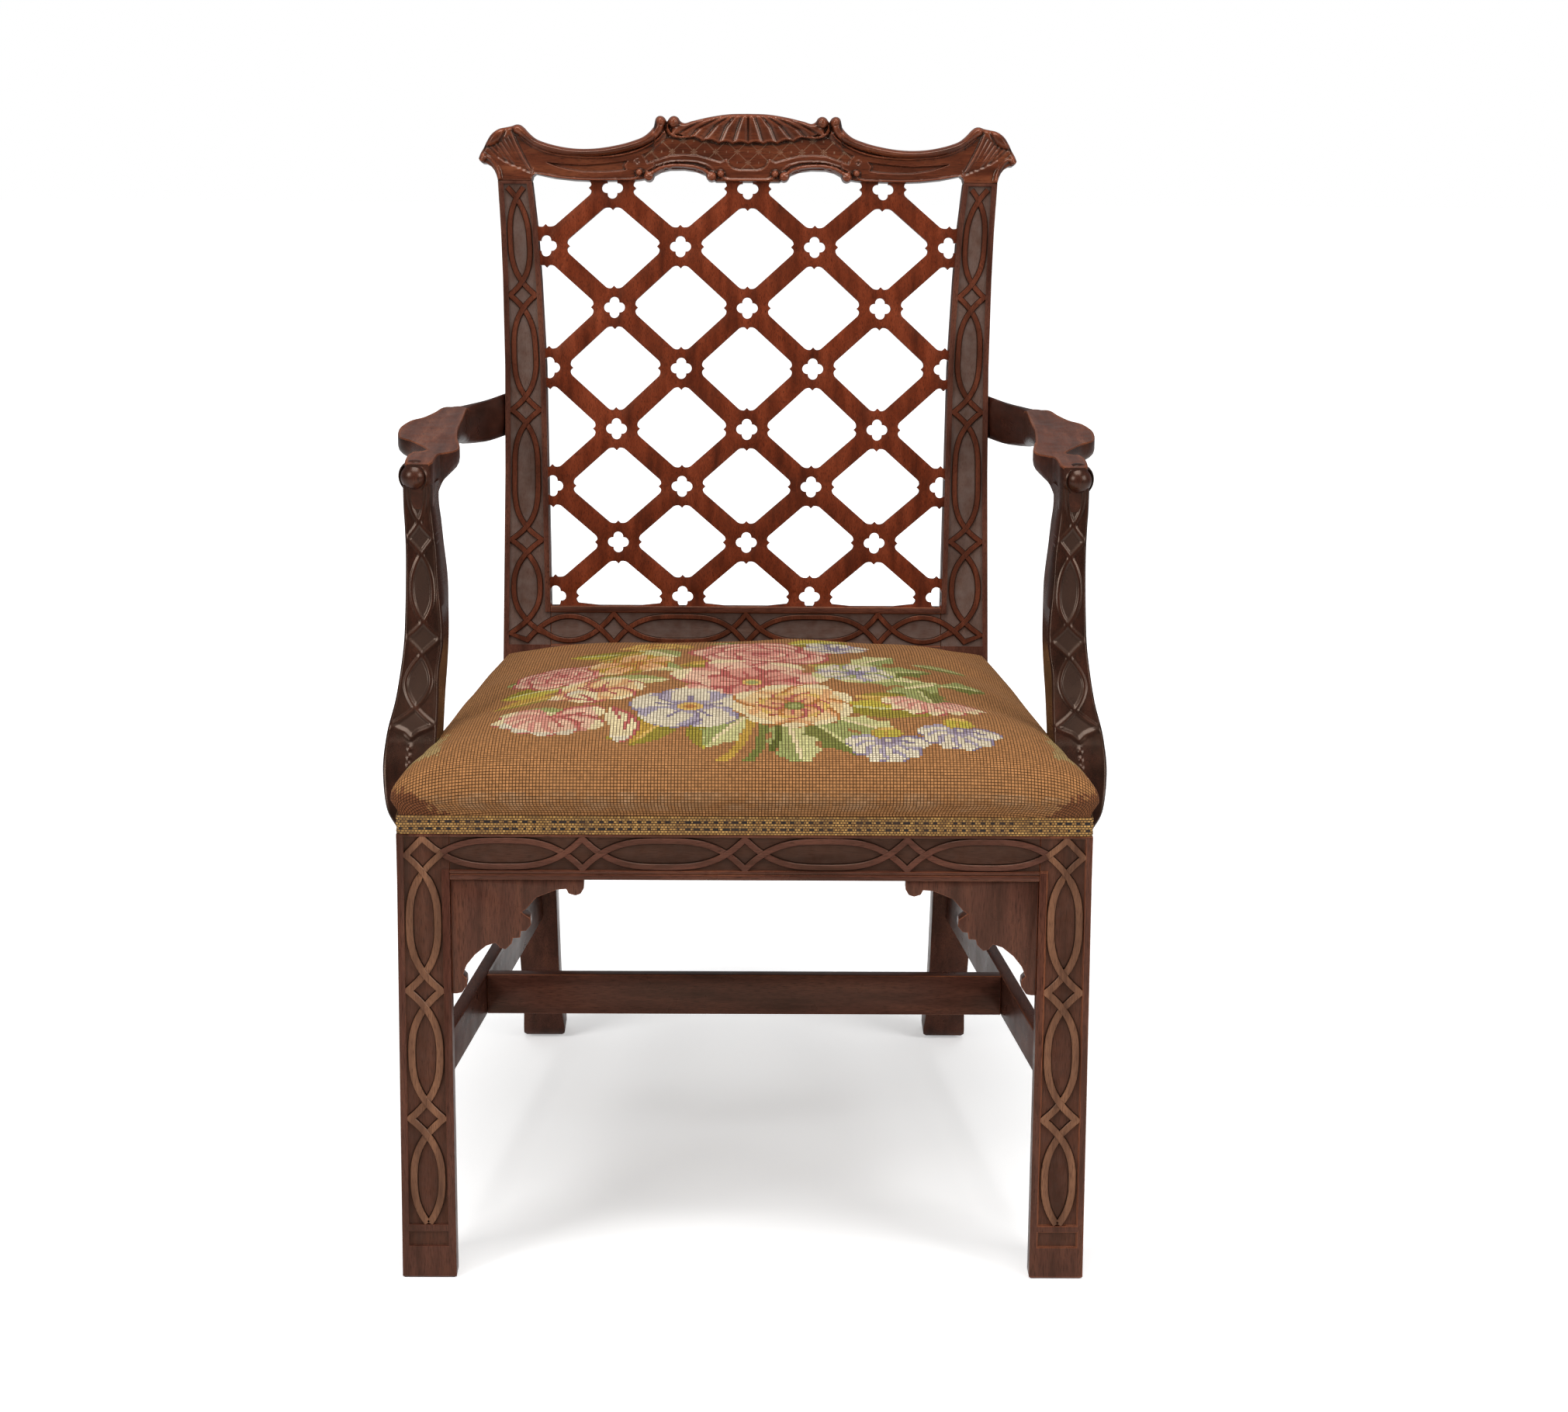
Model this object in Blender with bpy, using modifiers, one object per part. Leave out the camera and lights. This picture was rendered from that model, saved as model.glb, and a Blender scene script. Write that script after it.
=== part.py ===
"""Open armchair in mahogany: pierced lattice back, carved crest, shaped arms and an over-stuffed needlepoint seat.

The chair faces -Y and stands on z = 0, with the middle of its outline at x = 0 and y = 0.
Lengths are in metres. Left is -X and right is +X, as seen by someone who stands in front of it.
"""
import math

import bmesh
import bpy
from mathutils import Vector

# Clearances and cuts
GAP = 0.0003
ROOT = 0.004
OVERRUN = 0.010

# Outline of the whole chair
OVERALL_DEPTH = 0.690
FRONT_WIDTH = 0.630
REAR_WIDTH = 0.509

# Front legs
LEG_SIZE = 0.050
LEG_OUTER_BORDER = 0.0063
LEG_INNER_BORDER = 0.0069
LEG_FRET_BOTTOM = 0.0530
FOOT_PANEL_BOTTOM = 0.0318
FOOT_PANEL_TOP = 0.0465
LEG_TAPER = 0.003
LEG_CHAMFER_WIDTH = 0.0165
LEG_CHAMFER_DEPTH = 0.030
LEG_CHAMFER_STOP = 0.004
FOOT_CHAMFER = 0.002
FRET_DEPTH = 0.0025

# Seat rails
RAIL_BOTTOM = 0.3865
RAIL_TOP = 0.4525
RAIL_THICK = 0.028
RAIL_FRET_RISE = 0.0085
RAIL_FRET_HEIGHT = 0.0315
RAIL_LINE_RISE = 0.0055
RAIL_LINE_DEPTH = 0.0012
RAIL_TENON_THICK = 0.010
RAIL_TENON_SHOULDER = 0.009
RAIL_TENON = 0.018
BACK_RAIL_SETBACK = 0.005

# Back: a raked plane that holds the posts' faces, the lattice, the lower rail and the crest
BACK_RAKE = math.radians(9.27)
REAR_SPLAY = 0.135
POST_INNER_SHARE = 0.806
POST_DEPTH_SEAT = 0.0455
POST_DEPTH_TOP = 0.030
POST_HEIGHT = 0.501
POST_FRET_DROP = 0.003
POST_BORDER = 0.0055
CREST_TENON = 0.020
CREST_TENON_WIDTH = 0.018

# Rear legs, below the seat
HEEL_DEPTH = 0.043
HEEL_HALF_WIDTH = 0.0225
ANKLE_DEPTH = 0.041
FOOT_FLARE_HEIGHT = 0.014
FOOT_ROUND = 0.003
REAR_LEG_INSET = 0.0133
REAR_LEG_WIDTH = 0.039

# Glides under the rear feet
GLIDE_HEIGHT = 0.0035
GLIDE_RADIUS = 0.0080
GLIDE_FLAT_RADIUS = 0.0050
GLIDE_NAIL_RADIUS = 0.0012
GLIDE_NAIL_LENGTH = 0.011

# Lower back rail
LOWER_RAIL_BOTTOM = 0.006
LOWER_RAIL_TOP = 0.060
LOWER_RAIL_DEPTH = 0.026
LOWER_FRET_BOTTOM = 0.0192
LOWER_FRET_TOP = 0.0535
LOWER_TENON_THICK = 0.008

# Lattice
LATTICE_THICK = 0.011
LATTICE_SETBACK = 0.006
LATTICE_BOTTOM_TONGUE = 0.004
LATTICE_SIDE_TONGUE = 0.004
LATTICE_TOP_TONGUE = 0.016
LATTICE_FIRST_RISE = 0.0099
LATTICE_LAST_DROP = 0.0065
LATTICE_PITCH_SHARES = (0.325, 0.314)
LATTICE_BAR = 0.0205
NODE_REACH = 0.0202
NODE_CORNER_SIDE = 0.0056
NODE_START_SIDE = 0.0105
NODE_CUSP = 0.0032
QUATREFOIL_LOBE = 0.0062
QUATREFOIL_OFFSET = 0.0065
QUATREFOIL_STEPS = 4
HIDDEN = 0.0005
LATTICE_ROW_SHARES = (-0.132, 0.0, 0.134, 0.272, 0.413, 0.562, 0.710, 0.859, 1.0, 1.141)
LATTICE_BOARDS = 6

# Crest rail
CREST_EAR = 0.0219
CREST_DEPTH = 0.028
CREST_ARCH_RISE = 0.0121
CREST_RISE = 0.0705
CREST_ROLL = 0.0075
CREST_ROLL_HEIGHT = 0.014

# Stretchers
STRETCHER_BOTTOM = 0.1585
STRETCHER_HEIGHT = 0.041
STRETCHER_THICK = 0.013
STRETCHER_TENON = 0.014
STRETCHER_TENON_THICK = 0.006
STRETCHER_SHOULDER = 0.005
CROSS_STRETCHER_SHARE = 0.476
CROSS_TENON = 0.007

# Front brackets
BRACKET_WIDTH = 0.120
BRACKET_HEIGHT = 0.109
BRACKET_THICK = 0.016
BRACKET_SETBACK = 0.003

# Arms and their supports
ARM_DROP = 0.0085
ARM_HEIGHT = 0.0501
ARM_TENON = 0.013
ARM_TENON_HEIGHT = 0.024
ARM_TENON_THICK = 0.012
ARM_KNOB_RADIUS = 0.0135
SUPPORT_TOP = 0.6925
SUPPORT_BOTTOM = 0.4025
SUPPORT_DOWEL_RADIUS = 0.0045
SUPPORT_DOWEL_LENGTH = 0.018

# Upholstery
WEB_WIDTH = 0.050
WEB_THICK = 0.0012
WEB_LANDING = 0.012
WEB_LONG_STRAPS = 4
WEB_CROSS_STRAPS = 3
CLOTH_THICK = 0.0010
COVER_THICK = 0.0016
COVER_LAP = 0.0238
BRAID_HEIGHT = 0.0175
BRAID_THICK = 0.0018
REBATE = 0.0035
SEAT_BULGE = 0.0116
SEAT_SIDE_RISE = 0.0075
SEAT_FRONT_RISE = 0.0405
SEAT_BACK_RISE = 0.0150
SEAT_CROWN = 0.0430
SEAT_ROLL = 0.010
SEAT_DRAW = 0.003
SEAT_CORNER_BULGE = 0.0105
NOTCH_CLEARANCE = 0.0015

# Screws
SCREW_LENGTH = 0.034
SCREW_RADIUS = 0.0022
SCREW_HEAD_RADIUS = 0.0044
SCREW_HEAD_DEPTH = 0.0028
SCREW_TIP = 0.0005
SCREW_SIDES = 12
BLOCK_SCREW_SINK = 0.004
BLOCK_REACH = 0.050
BLOCK_SIDE_REACH = 0.040
BLOCK_RISE = 0.008
BLOCK_DROP = 0.010

# Places worked out from the sizes above
FRONT_Y = -OVERALL_DEPTH / 2 + SEAT_BULGE + GAP + COVER_THICK - REBATE
HEEL_Y = OVERALL_DEPTH / 2
BACK_FRONT_Y = HEEL_Y - REAR_SPLAY
LEG_BACK_Y = FRONT_Y + LEG_SIZE
LEG_OUTER_X = FRONT_WIDTH / 2
LEG_TOP_X = LEG_OUTER_X - LEG_TAPER
LEG_INNER_X = LEG_OUTER_X - LEG_SIZE
REAR_OUTER_X = REAR_WIDTH / 2
REAR_INNER_X = REAR_OUTER_X * POST_INNER_SHARE
BACK_UP = Vector((0.0, math.sin(BACK_RAKE), math.cos(BACK_RAKE)))
BACK_OUT = Vector((0.0, -math.cos(BACK_RAKE), math.sin(BACK_RAKE)))
BACK_BASE = Vector((0.0, BACK_FRONT_Y, RAIL_TOP))
RAIL_FRET_BOTTOM = RAIL_BOTTOM + RAIL_FRET_RISE
RAIL_FRET_TOP = RAIL_FRET_BOTTOM + RAIL_FRET_HEIGHT
RAIL_LINE_HEIGHT = RAIL_BOTTOM + RAIL_LINE_RISE
COVER_HEM = RAIL_TOP - COVER_LAP
BLOCK_BOTTOM = RAIL_BOTTOM + BLOCK_RISE
BLOCK_TOP = RAIL_TOP - BLOCK_DROP
CREST_LOW = POST_HEIGHT
CREST_ARCH_TOP = CREST_LOW + CREST_ARCH_RISE
LATTICE_TOP = CREST_LOW + LATTICE_TOP_TONGUE
LATTICE_FIRST_ROW = LOWER_RAIL_TOP + LATTICE_FIRST_RISE
LATTICE_LAST_ROW = POST_HEIGHT - LATTICE_LAST_DROP
LATTICE_HEIGHT = LATTICE_LAST_ROW - LATTICE_FIRST_ROW
REAR_LEG_OUTER_FLOOR = REAR_OUTER_X - REAR_LEG_INSET
REAR_LEG_INNER_FLOOR = REAR_LEG_OUTER_FLOOR - REAR_LEG_WIDTH
ARM_BOTTOM = SUPPORT_TOP - ARM_DROP
STRETCHER_TOP = STRETCHER_BOTTOM + STRETCHER_HEIGHT
SIDE_SLOPE = (LEG_TOP_X - REAR_OUTER_X) / (BACK_FRONT_Y - LEG_BACK_Y)

SIDES = (("left", -1.0), ("right", 1.0))

for old in list(bpy.data.objects):
    bpy.data.objects.remove(old, do_unlink=True)

chair = bpy.data.collections.new("open_armchair")
cutters = bpy.data.collections.new("cutters")
bpy.context.scene.collection.children.link(chair)
bpy.context.scene.collection.children.link(cutters)


def finish(name, colour, roughness, metallic=0.0):
    """A Principled material with one colour, roughness and metallic value."""
    mat = bpy.data.materials.new(name)
    mat.use_nodes = True
    shader = mat.node_tree.nodes["Principled BSDF"]
    shader.inputs["Base Color"].default_value = (*colour, 1.0)
    shader.inputs["Roughness"].default_value = roughness
    shader.inputs["Metallic"].default_value = metallic
    mat.diffuse_color = (*colour, 1.0)
    return mat


MAHOGANY = finish("mahogany", (0.075, 0.018, 0.009), 0.34)
LATTICE_WOOD = finish("lattice_mahogany", (0.120, 0.028, 0.012), 0.38)
BEECH = finish("beech_block", (0.310, 0.170, 0.080), 0.62)
NEEDLEPOINT = finish("needlepoint_wool", (0.150, 0.070, 0.024), 0.92)
BRAID = finish("gold_braid", (0.260, 0.150, 0.045), 0.80)
STUFFING = finish("horsehair", (0.045, 0.032, 0.022), 0.95)
WEBBING = finish("jute_webbing", (0.330, 0.230, 0.120), 0.90)
HESSIAN = finish("hessian", (0.360, 0.260, 0.140), 0.93)
STEEL = finish("screw_steel", (0.300, 0.280, 0.260), 0.42, 1.0)
GLIDE = finish("glide_metal", (0.060, 0.055, 0.050), 0.45, 1.0)


def keep(name, mesh, mat, cutter=False):
    """Puts a mesh in the scene as a part of the chair, or as a cutter."""
    mesh.name = name
    obj = bpy.data.objects.new(name, mesh)
    if cutter:
        cutters.objects.link(obj)
        obj.hide_render = True
        obj.display_type = "WIRE"
    else:
        chair.objects.link(obj)
    if mat:
        mesh.materials.clear()
        mesh.materials.append(mat)
    return obj


def keep_bmesh(name, bm, mat, cutter=False):
    bm.normal_update()
    bmesh.ops.recalc_face_normals(bm, faces=bm.faces)
    mesh = bpy.data.meshes.new(name)
    bm.to_mesh(mesh)
    bm.free()
    return keep(name, mesh, mat, cutter)


def block(name, place, mat=None, cutter=False):
    """A six-sided solid: place gives a corner for each triple of signs of a cube."""
    bm = bmesh.new()
    bmesh.ops.create_cube(bm, size=2.0)
    for vert in bm.verts:
        signs = [1 if c > 0 else -1 for c in vert.co]
        vert.co = Vector(place(*signs))
    return keep_bmesh(name, bm, mat, cutter)


def pick(sign, low, high):
    return high if sign > 0 else low


def box(name, low, high, mat=None, cutter=False):
    return block(name, lambda *signs: [pick(s, a, b) for s, a, b in zip(signs, low, high)], mat, cutter)


def bar(name, start, end, half_u, half_v, mat=None, cutter=False):
    """A straight bar from start to end, with two half sizes given as vectors."""
    return block(name, lambda x, y, z: pick(z, start, end) + half_u * x + half_v * y, mat, cutter)


def loft(name, rings, mat=None, cutter=False):
    """A closed skin over a row of rings that have the same number of points."""
    bm = bmesh.new()
    rows = [[bm.verts.new(p) for p in ring] for ring in rings]
    count = len(rows[0])
    for near, far in zip(rows, rows[1:]):
        for i in range(count):
            j = (i + 1) % count
            bm.faces.new((near[i], near[j], far[j], far[i]))
    bm.faces.new(rows[0])
    bm.faces.new(rows[-1])
    return keep_bmesh(name, bm, mat, cutter)


def prism(name, outlines, low, high, mat=None, cutter=False, turn=None):
    """Flat outlines in X and Y, filled and given a thickness from low to high along Z."""
    curve = bpy.data.curves.new(name, "CURVE")
    curve.dimensions = "2D"
    curve.fill_mode = "BOTH"
    curve.extrude = (high - low) / 2
    for outline in outlines:
        spline = curve.splines.new("POLY")
        spline.points.add(len(outline) - 1)
        spline.use_cyclic_u = True
        for point, (x, y) in zip(spline.points, outline):
            point.co = (x, y, 0.0, 1.0)
    guide = bpy.data.objects.new(name, curve)
    chair.objects.link(guide)
    bpy.context.view_layer.update()
    graph = bpy.context.evaluated_depsgraph_get()
    mesh = bpy.data.meshes.new_from_object(guide.evaluated_get(graph))
    bpy.data.objects.remove(guide)
    bm = bmesh.new()
    bm.from_mesh(mesh)
    bpy.data.meshes.remove(mesh)
    bmesh.ops.remove_doubles(bm, verts=bm.verts, dist=0.00001)
    for vert in bm.verts:
        vert.co.z += (low + high) / 2
        if turn:
            vert.co = turn(*vert.co)
    return keep_bmesh(name, bm, mat, cutter)


def combine(target, other, operation):
    """A live Boolean on target; other is only a guide."""
    mod = target.modifiers.new(other.name, "BOOLEAN")
    mod.operation = operation
    mod.solver = "EXACT"
    mod.object = other


def cut(target, *others):
    for other in others:
        combine(target, other, "DIFFERENCE")


def grown(vector):
    return vector + vector.normalized() * GAP


def tenon(member, host, start, reach, half_u, half_v):
    """A tongue on the member and its slot in the host; start is on the member's shoulder."""
    inward = reach.normalized()
    tongue = bar(f"{member.name}_tongue", start - inward * ROOT, start + reach, half_u, half_v, None, True)
    combine(member, tongue, "UNION")
    slot_end = start + reach + inward * GAP
    slot = bar(f"{host.name}_slot", start - inward * ROOT, slot_end, grown(half_u), grown(half_v), None, True)
    cut(host, slot)


def turned(name, profile, place, towards, mat=None, cutter=False, sides=SCREW_SIDES):
    """A turned solid: profile holds (radius, height) from top to bottom, and its foot points towards a direction."""
    place = Vector(place)
    axis = -towards.normalized()
    u = axis.orthogonal().normalized()
    v = axis.cross(u)
    turns = [2 * math.pi * i / sides for i in range(sides)]
    rings = [[place + axis * height + (u * math.cos(t) + v * math.sin(t)) * radius for t in turns] for radius, height in profile]
    return loft(name, rings, mat, cutter)


def screw_profile(length, room, mouth):
    """From the head's flat top to the point; room is added all round, and mouth opens the top of a hole."""
    head = SCREW_HEAD_RADIUS + room
    shank = SCREW_RADIUS + room
    top = [(head, mouth)] if mouth else []
    return top + [(head, 0.0), (shank, -SCREW_HEAD_DEPTH), (shank, -length + SCREW_HEAD_DEPTH), (SCREW_TIP + room, -length - room)]


def screw(name, place, towards, hosts, length=SCREW_LENGTH):
    """A countersunk wood screw, with its hole cut in every piece that it passes through."""
    turned(name, screw_profile(length, 0.0, 0.0), place, towards, STEEL)
    hole = turned(f"{name}_hole", screw_profile(length, GAP, OVERRUN), place, towards, None, True)
    for host in hosts:
        cut(host, hole)


def back_point(x, up, out):
    """A point of the raked back: up along the posts from the seat rail's top, out to the front."""
    return BACK_BASE + Vector((x, 0.0, 0.0)) + BACK_UP * up + BACK_OUT * out


def along(table, at):
    """Reads a table of (place, value) by straight lines between its rows."""
    for (a, low), (b, high) in zip(table, table[1:]):
        if at <= b:
            return low + (high - low) * (at - a) / (b - a)
    return table[-1][1]


def side_x(y, inset=0.0):
    """The outer face of a side rail, which runs in towards the back; inset is measured across the rail."""
    return LEG_TOP_X - SIDE_SLOPE * (y - LEG_BACK_Y) - inset * math.hypot(1.0, SIDE_SLOPE)


def foot_x(y):
    """The bottom of a rebate that takes the thickness of the cover, so that the braid lies flush with the frame."""
    return side_x(max(y, LEG_BACK_Y), REBATE)


# Rear posts: one timber from the floor to the crest

# The posts' edges, as shares of the width over the posts, at shares of their height above the seat
POST_OUTER_SHARES = ((0.0, 1.0), (0.1, 0.998), (0.4, 0.990), (0.62, 0.990), (0.80, 0.998), (0.90, 1.006), (1.0, 1.018))
POST_INNER_SHARES = ((0.0, POST_INNER_SHARE), (0.12, POST_INNER_SHARE), (0.35, 0.816), (0.62, 0.824), (0.78, 0.840), (0.90, 0.857), (1.0, 0.880))
POST_STATION_SHARES = (0.0, 0.12, 0.25, 0.40, 0.62, 0.72, 0.80, 0.90, 1.0)

# The rear leg's sweep: how far its front face stands behind the seat's back line, at shares of the rail's height
LEG_SWEEP = REAR_SPLAY - HEEL_DEPTH
LEG_SWEEP_SHARES = ((0.0, 1.0), (0.118, 0.82), (0.26, 0.62), (0.406, 0.455), (0.513, 0.345), (0.70, 0.175), (0.85, 0.06))


def post_outer(up):
    return REAR_OUTER_X * along(POST_OUTER_SHARES, up / POST_HEIGHT)


def post_inner(up):
    return REAR_OUTER_X * along(POST_INNER_SHARES, up / POST_HEIGHT)


def post_depth(up):
    return POST_DEPTH_SEAT + (POST_DEPTH_TOP - POST_DEPTH_SEAT) * up / POST_HEIGHT


def leg_front(z):
    """The front face of a rear leg under the seat."""
    share = z / RAIL_BOTTOM
    return BACK_FRONT_Y + LEG_SWEEP * along((*LEG_SWEEP_SHARES, (1.0, 0.0)), share)


def post_rings(side):
    rings = []

    def level(z, inner, outer, front, back):
        corners = ((outer, front), (inner, front), (inner, back), (outer, back))
        rings.append([Vector((side * x, y, z)) for x, y in corners])

    foot = GLIDE_HEIGHT + GAP
    toe_inner = (REAR_LEG_INNER_FLOOR + REAR_LEG_OUTER_FLOOR) / 2 - HEEL_HALF_WIDTH
    toe_outer = toe_inner + 2 * HEEL_HALF_WIDTH
    toe_front = HEEL_Y - HEEL_DEPTH
    level(foot, toe_inner + FOOT_ROUND, toe_outer - FOOT_ROUND, toe_front + FOOT_ROUND, HEEL_Y - FOOT_ROUND)
    level(foot + FOOT_ROUND, toe_inner, toe_outer, toe_front, HEEL_Y)
    level(FOOT_FLARE_HEIGHT, toe_inner, toe_outer, toe_front - FOOT_ROUND, HEEL_Y - FOOT_ROUND)
    heights = [share * RAIL_BOTTOM for share, _ in LEG_SWEEP_SHARES[1:]]
    heights[2:4] = [STRETCHER_BOTTOM, STRETCHER_TOP]
    for z in heights:
        share = z / RAIL_BOTTOM
        inner = REAR_LEG_INNER_FLOOR + (REAR_INNER_X - REAR_LEG_INNER_FLOOR) * share
        outer = REAR_LEG_OUTER_FLOOR + (REAR_OUTER_X - REAR_LEG_OUTER_FLOOR) * share
        depth = ANKLE_DEPTH + (POST_DEPTH_SEAT - ANKLE_DEPTH) * share
        front = leg_front(z)
        level(z, inner, outer, front, front + depth)
    seat_back = BACK_FRONT_Y + POST_DEPTH_SEAT
    level(RAIL_BOTTOM, REAR_INNER_X, REAR_OUTER_X, BACK_FRONT_Y, seat_back)
    level(RAIL_TOP - OVERRUN, REAR_INNER_X, REAR_OUTER_X, BACK_FRONT_Y, seat_back)
    for share in POST_STATION_SHARES:
        up = share * POST_HEIGHT
        corners = ((post_outer(up), 0.0), (post_inner(up), 0.0), (post_inner(up), -post_depth(up)), (post_outer(up), -post_depth(up)))
        rings.append([back_point(side * x, up, out) for x, out in corners])
    return rings


posts = {name: loft(f"back_post_{name}", post_rings(side), MAHOGANY) for name, side in SIDES}

# Front legs: a slight taper outside, and a stopped chamfer down the inner back corner
def leg_outer(z):
    return LEG_OUTER_X - LEG_TAPER * min(z / RAIL_BOTTOM, 1.0)


legs = {}
for name, side in SIDES:
    rings = []
    for z in (0.0, RAIL_BOTTOM, RAIL_TOP):
        corners = ((leg_outer(z), FRONT_Y), (LEG_INNER_X, FRONT_Y), (LEG_INNER_X, LEG_BACK_Y), (leg_outer(z), LEG_BACK_Y))
        rings.append([Vector((side * x, y, z)) for x, y in corners])
    leg = loft(f"front_leg_{name}", rings, MAHOGANY)
    soften = leg.modifiers.new("foot_chamfer", "BEVEL")
    soften.width = FOOT_CHAMFER
    soften.segments = 1
    soften.limit_method = "VGROUP"
    group = leg.vertex_groups.new(name="foot")
    group.add([v.index for v in leg.data.vertices if v.co.z < FOOT_CHAMFER], 1.0, "REPLACE")
    soften.vertex_group = "foot"
    legs[name] = leg
    chamfer = [(LEG_INNER_X, LEG_BACK_Y - LEG_CHAMFER_DEPTH), (LEG_INNER_X + LEG_CHAMFER_WIDTH, LEG_BACK_Y),
               (LEG_INNER_X + LEG_CHAMFER_WIDTH, LEG_BACK_Y + OVERRUN), (LEG_INNER_X - OVERRUN, LEG_BACK_Y + OVERRUN),
               (LEG_INNER_X - OVERRUN, LEG_BACK_Y - LEG_CHAMFER_DEPTH)]
    cut(leg, prism(f"leg_chamfer_{name}", [[(side * x, y) for x, y in chamfer]], -OVERRUN, RAIL_BOTTOM - LEG_CHAMFER_STOP, None, True))


def front_pocket(name, x_low, x_high, z_low, z_high, depth):
    """A shallow sunk panel in the front faces of the legs and the front rail."""
    return box(name, (x_low, FRONT_Y - OVERRUN, z_low), (x_high, FRONT_Y + depth, z_high), None, True)


def mirrored(side, near, far):
    return sorted((side * near, side * far))


for name, side in SIDES:
    to_rail = mirrored(side, LEG_INNER_X - OVERRUN, LEG_INNER_X + LEG_INNER_BORDER + ROOT)
    cut(legs[name], front_pocket(f"leg_fret_turn_{name}", *to_rail, RAIL_FRET_BOTTOM, RAIL_FRET_TOP, FRET_DEPTH))
    for label, low, high in (("leg_fret", LEG_FRET_BOTTOM, RAIL_FRET_TOP), ("foot_panel", FOOT_PANEL_BOTTOM, FOOT_PANEL_TOP)):

        def sunk_corner(x, y, z, side=side, low=low, high=high):
            place_z = pick(z, low, high)
            place_x = pick(x, LEG_INNER_X + LEG_INNER_BORDER, leg_outer(place_z) - LEG_OUTER_BORDER)
            return (side * place_x, pick(y, FRONT_Y - OVERRUN, FRONT_Y + FRET_DEPTH), place_z)

        cut(legs[name], block(f"{label}_{name}", sunk_corner, None, True))

# Front rail, flush with the legs, with a sunk fret and a scratched line under it
rail_end = LEG_INNER_X - GAP
front_rail = box("front_rail", (-rail_end, FRONT_Y, RAIL_BOTTOM), (rail_end, FRONT_Y + RAIL_THICK, RAIL_TOP), MAHOGANY)
cut(front_rail, front_pocket("rail_fret", -LEG_OUTER_X, LEG_OUTER_X, RAIL_FRET_BOTTOM, RAIL_FRET_TOP, FRET_DEPTH),
    front_pocket("rail_line", -LEG_OUTER_X, LEG_OUTER_X, RAIL_LINE_HEIGHT - RAIL_LINE_DEPTH / 2, RAIL_LINE_HEIGHT + RAIL_LINE_DEPTH / 2,
                 RAIL_LINE_DEPTH))
RAIL_MIDDLE_Z = (RAIL_BOTTOM + RAIL_TOP) / 2
TENON_UP = Vector((0.0, 0.0, (RAIL_TOP - RAIL_BOTTOM) / 2 - RAIL_TENON_SHOULDER))
for name, side in SIDES:
    tenon(front_rail, legs[name], Vector((side * rail_end, FRONT_Y + RAIL_THICK / 2, RAIL_MIDDLE_Z)), Vector((side * RAIL_TENON, 0.0, 0.0)),
          Vector((0.0, RAIL_TENON_THICK / 2, 0.0)), TENON_UP)

# Side rails run in towards the back, flush with the outer faces of legs and posts
side_rails = {}
for name, side in SIDES:
    ends = (LEG_BACK_Y + GAP, BACK_FRONT_Y - GAP)

    def corner(x, y, z, side=side, ends=ends):
        place_y = pick(y, *ends)
        return (side * side_x(place_y, pick(x, RAIL_THICK, 0.0)), place_y, pick(z, RAIL_BOTTOM, RAIL_TOP))

    rail = block(f"side_rail_{name}", corner, MAHOGANY)
    side_rails[name] = rail
    for place_y, towards, host in ((ends[0], -1.0, legs[name]), (ends[1], 1.0, posts[name])):
        start = Vector((side * side_x(place_y, RAIL_THICK / 2), place_y, RAIL_MIDDLE_Z))
        tenon(rail, host, start, Vector((0.0, towards * RAIL_TENON, 0.0)), Vector((RAIL_TENON_THICK / 2, 0.0, 0.0)), TENON_UP)

# Rebates along the tops of the legs and rails, which take the thickness of the cover
front_rebate = box("front_rebate", (-FRONT_WIDTH, FRONT_Y - OVERRUN, COVER_HEM), (FRONT_WIDTH, FRONT_Y + REBATE, RAIL_TOP + OVERRUN), None, True)
cut(front_rail, front_rebate)
for name, side in SIDES:

    def rebate_corner(x, y, z, side=side):
        place_y = pick(y, LEG_BACK_Y, BACK_FRONT_Y + OVERRUN)
        return (side * side_x(place_y, pick(x, REBATE, -OVERRUN)), place_y, pick(z, COVER_HEM, RAIL_TOP + OVERRUN))

    cut(side_rails[name], block(f"side_rebate_{name}", rebate_corner, None, True))
    leg_side = mirrored(side, foot_x(LEG_BACK_Y), FRONT_WIDTH)
    cut(legs[name], front_rebate, box(f"leg_rebate_{name}", (leg_side[0], FRONT_Y - OVERRUN, COVER_HEM), (leg_side[1], LEG_BACK_Y + OVERRUN, RAIL_TOP + OVERRUN),
                                      None, True))

# Back seat rail between the posts
back_rail_front = BACK_FRONT_Y + BACK_RAIL_SETBACK
back_rail_end = REAR_INNER_X - GAP
back_rail = box("back_seat_rail", (-back_rail_end, back_rail_front, RAIL_BOTTOM),
                (back_rail_end, back_rail_front + RAIL_THICK, RAIL_TOP - GAP), MAHOGANY)
for name, side in SIDES:
    start = Vector((side * back_rail_end, back_rail_front + RAIL_THICK * 0.65, RAIL_MIDDLE_Z))
    tenon(back_rail, posts[name], start, Vector((side * RAIL_TENON, 0.0, 0.0)), Vector((0.0, RAIL_TENON_THICK / 2, 0.0)), TENON_UP)

# Lower back rail, flush with the posts' faces
lower_end = post_inner((LOWER_RAIL_BOTTOM + LOWER_RAIL_TOP) / 2) - GAP


def back_block(name, x_half, up_low, up_high, out_low, out_high, mat=None, cutter=False):
    return block(name, lambda x, y, z: back_point(x * x_half, pick(y, up_low, up_high), pick(z, out_low, out_high)), mat, cutter)


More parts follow.
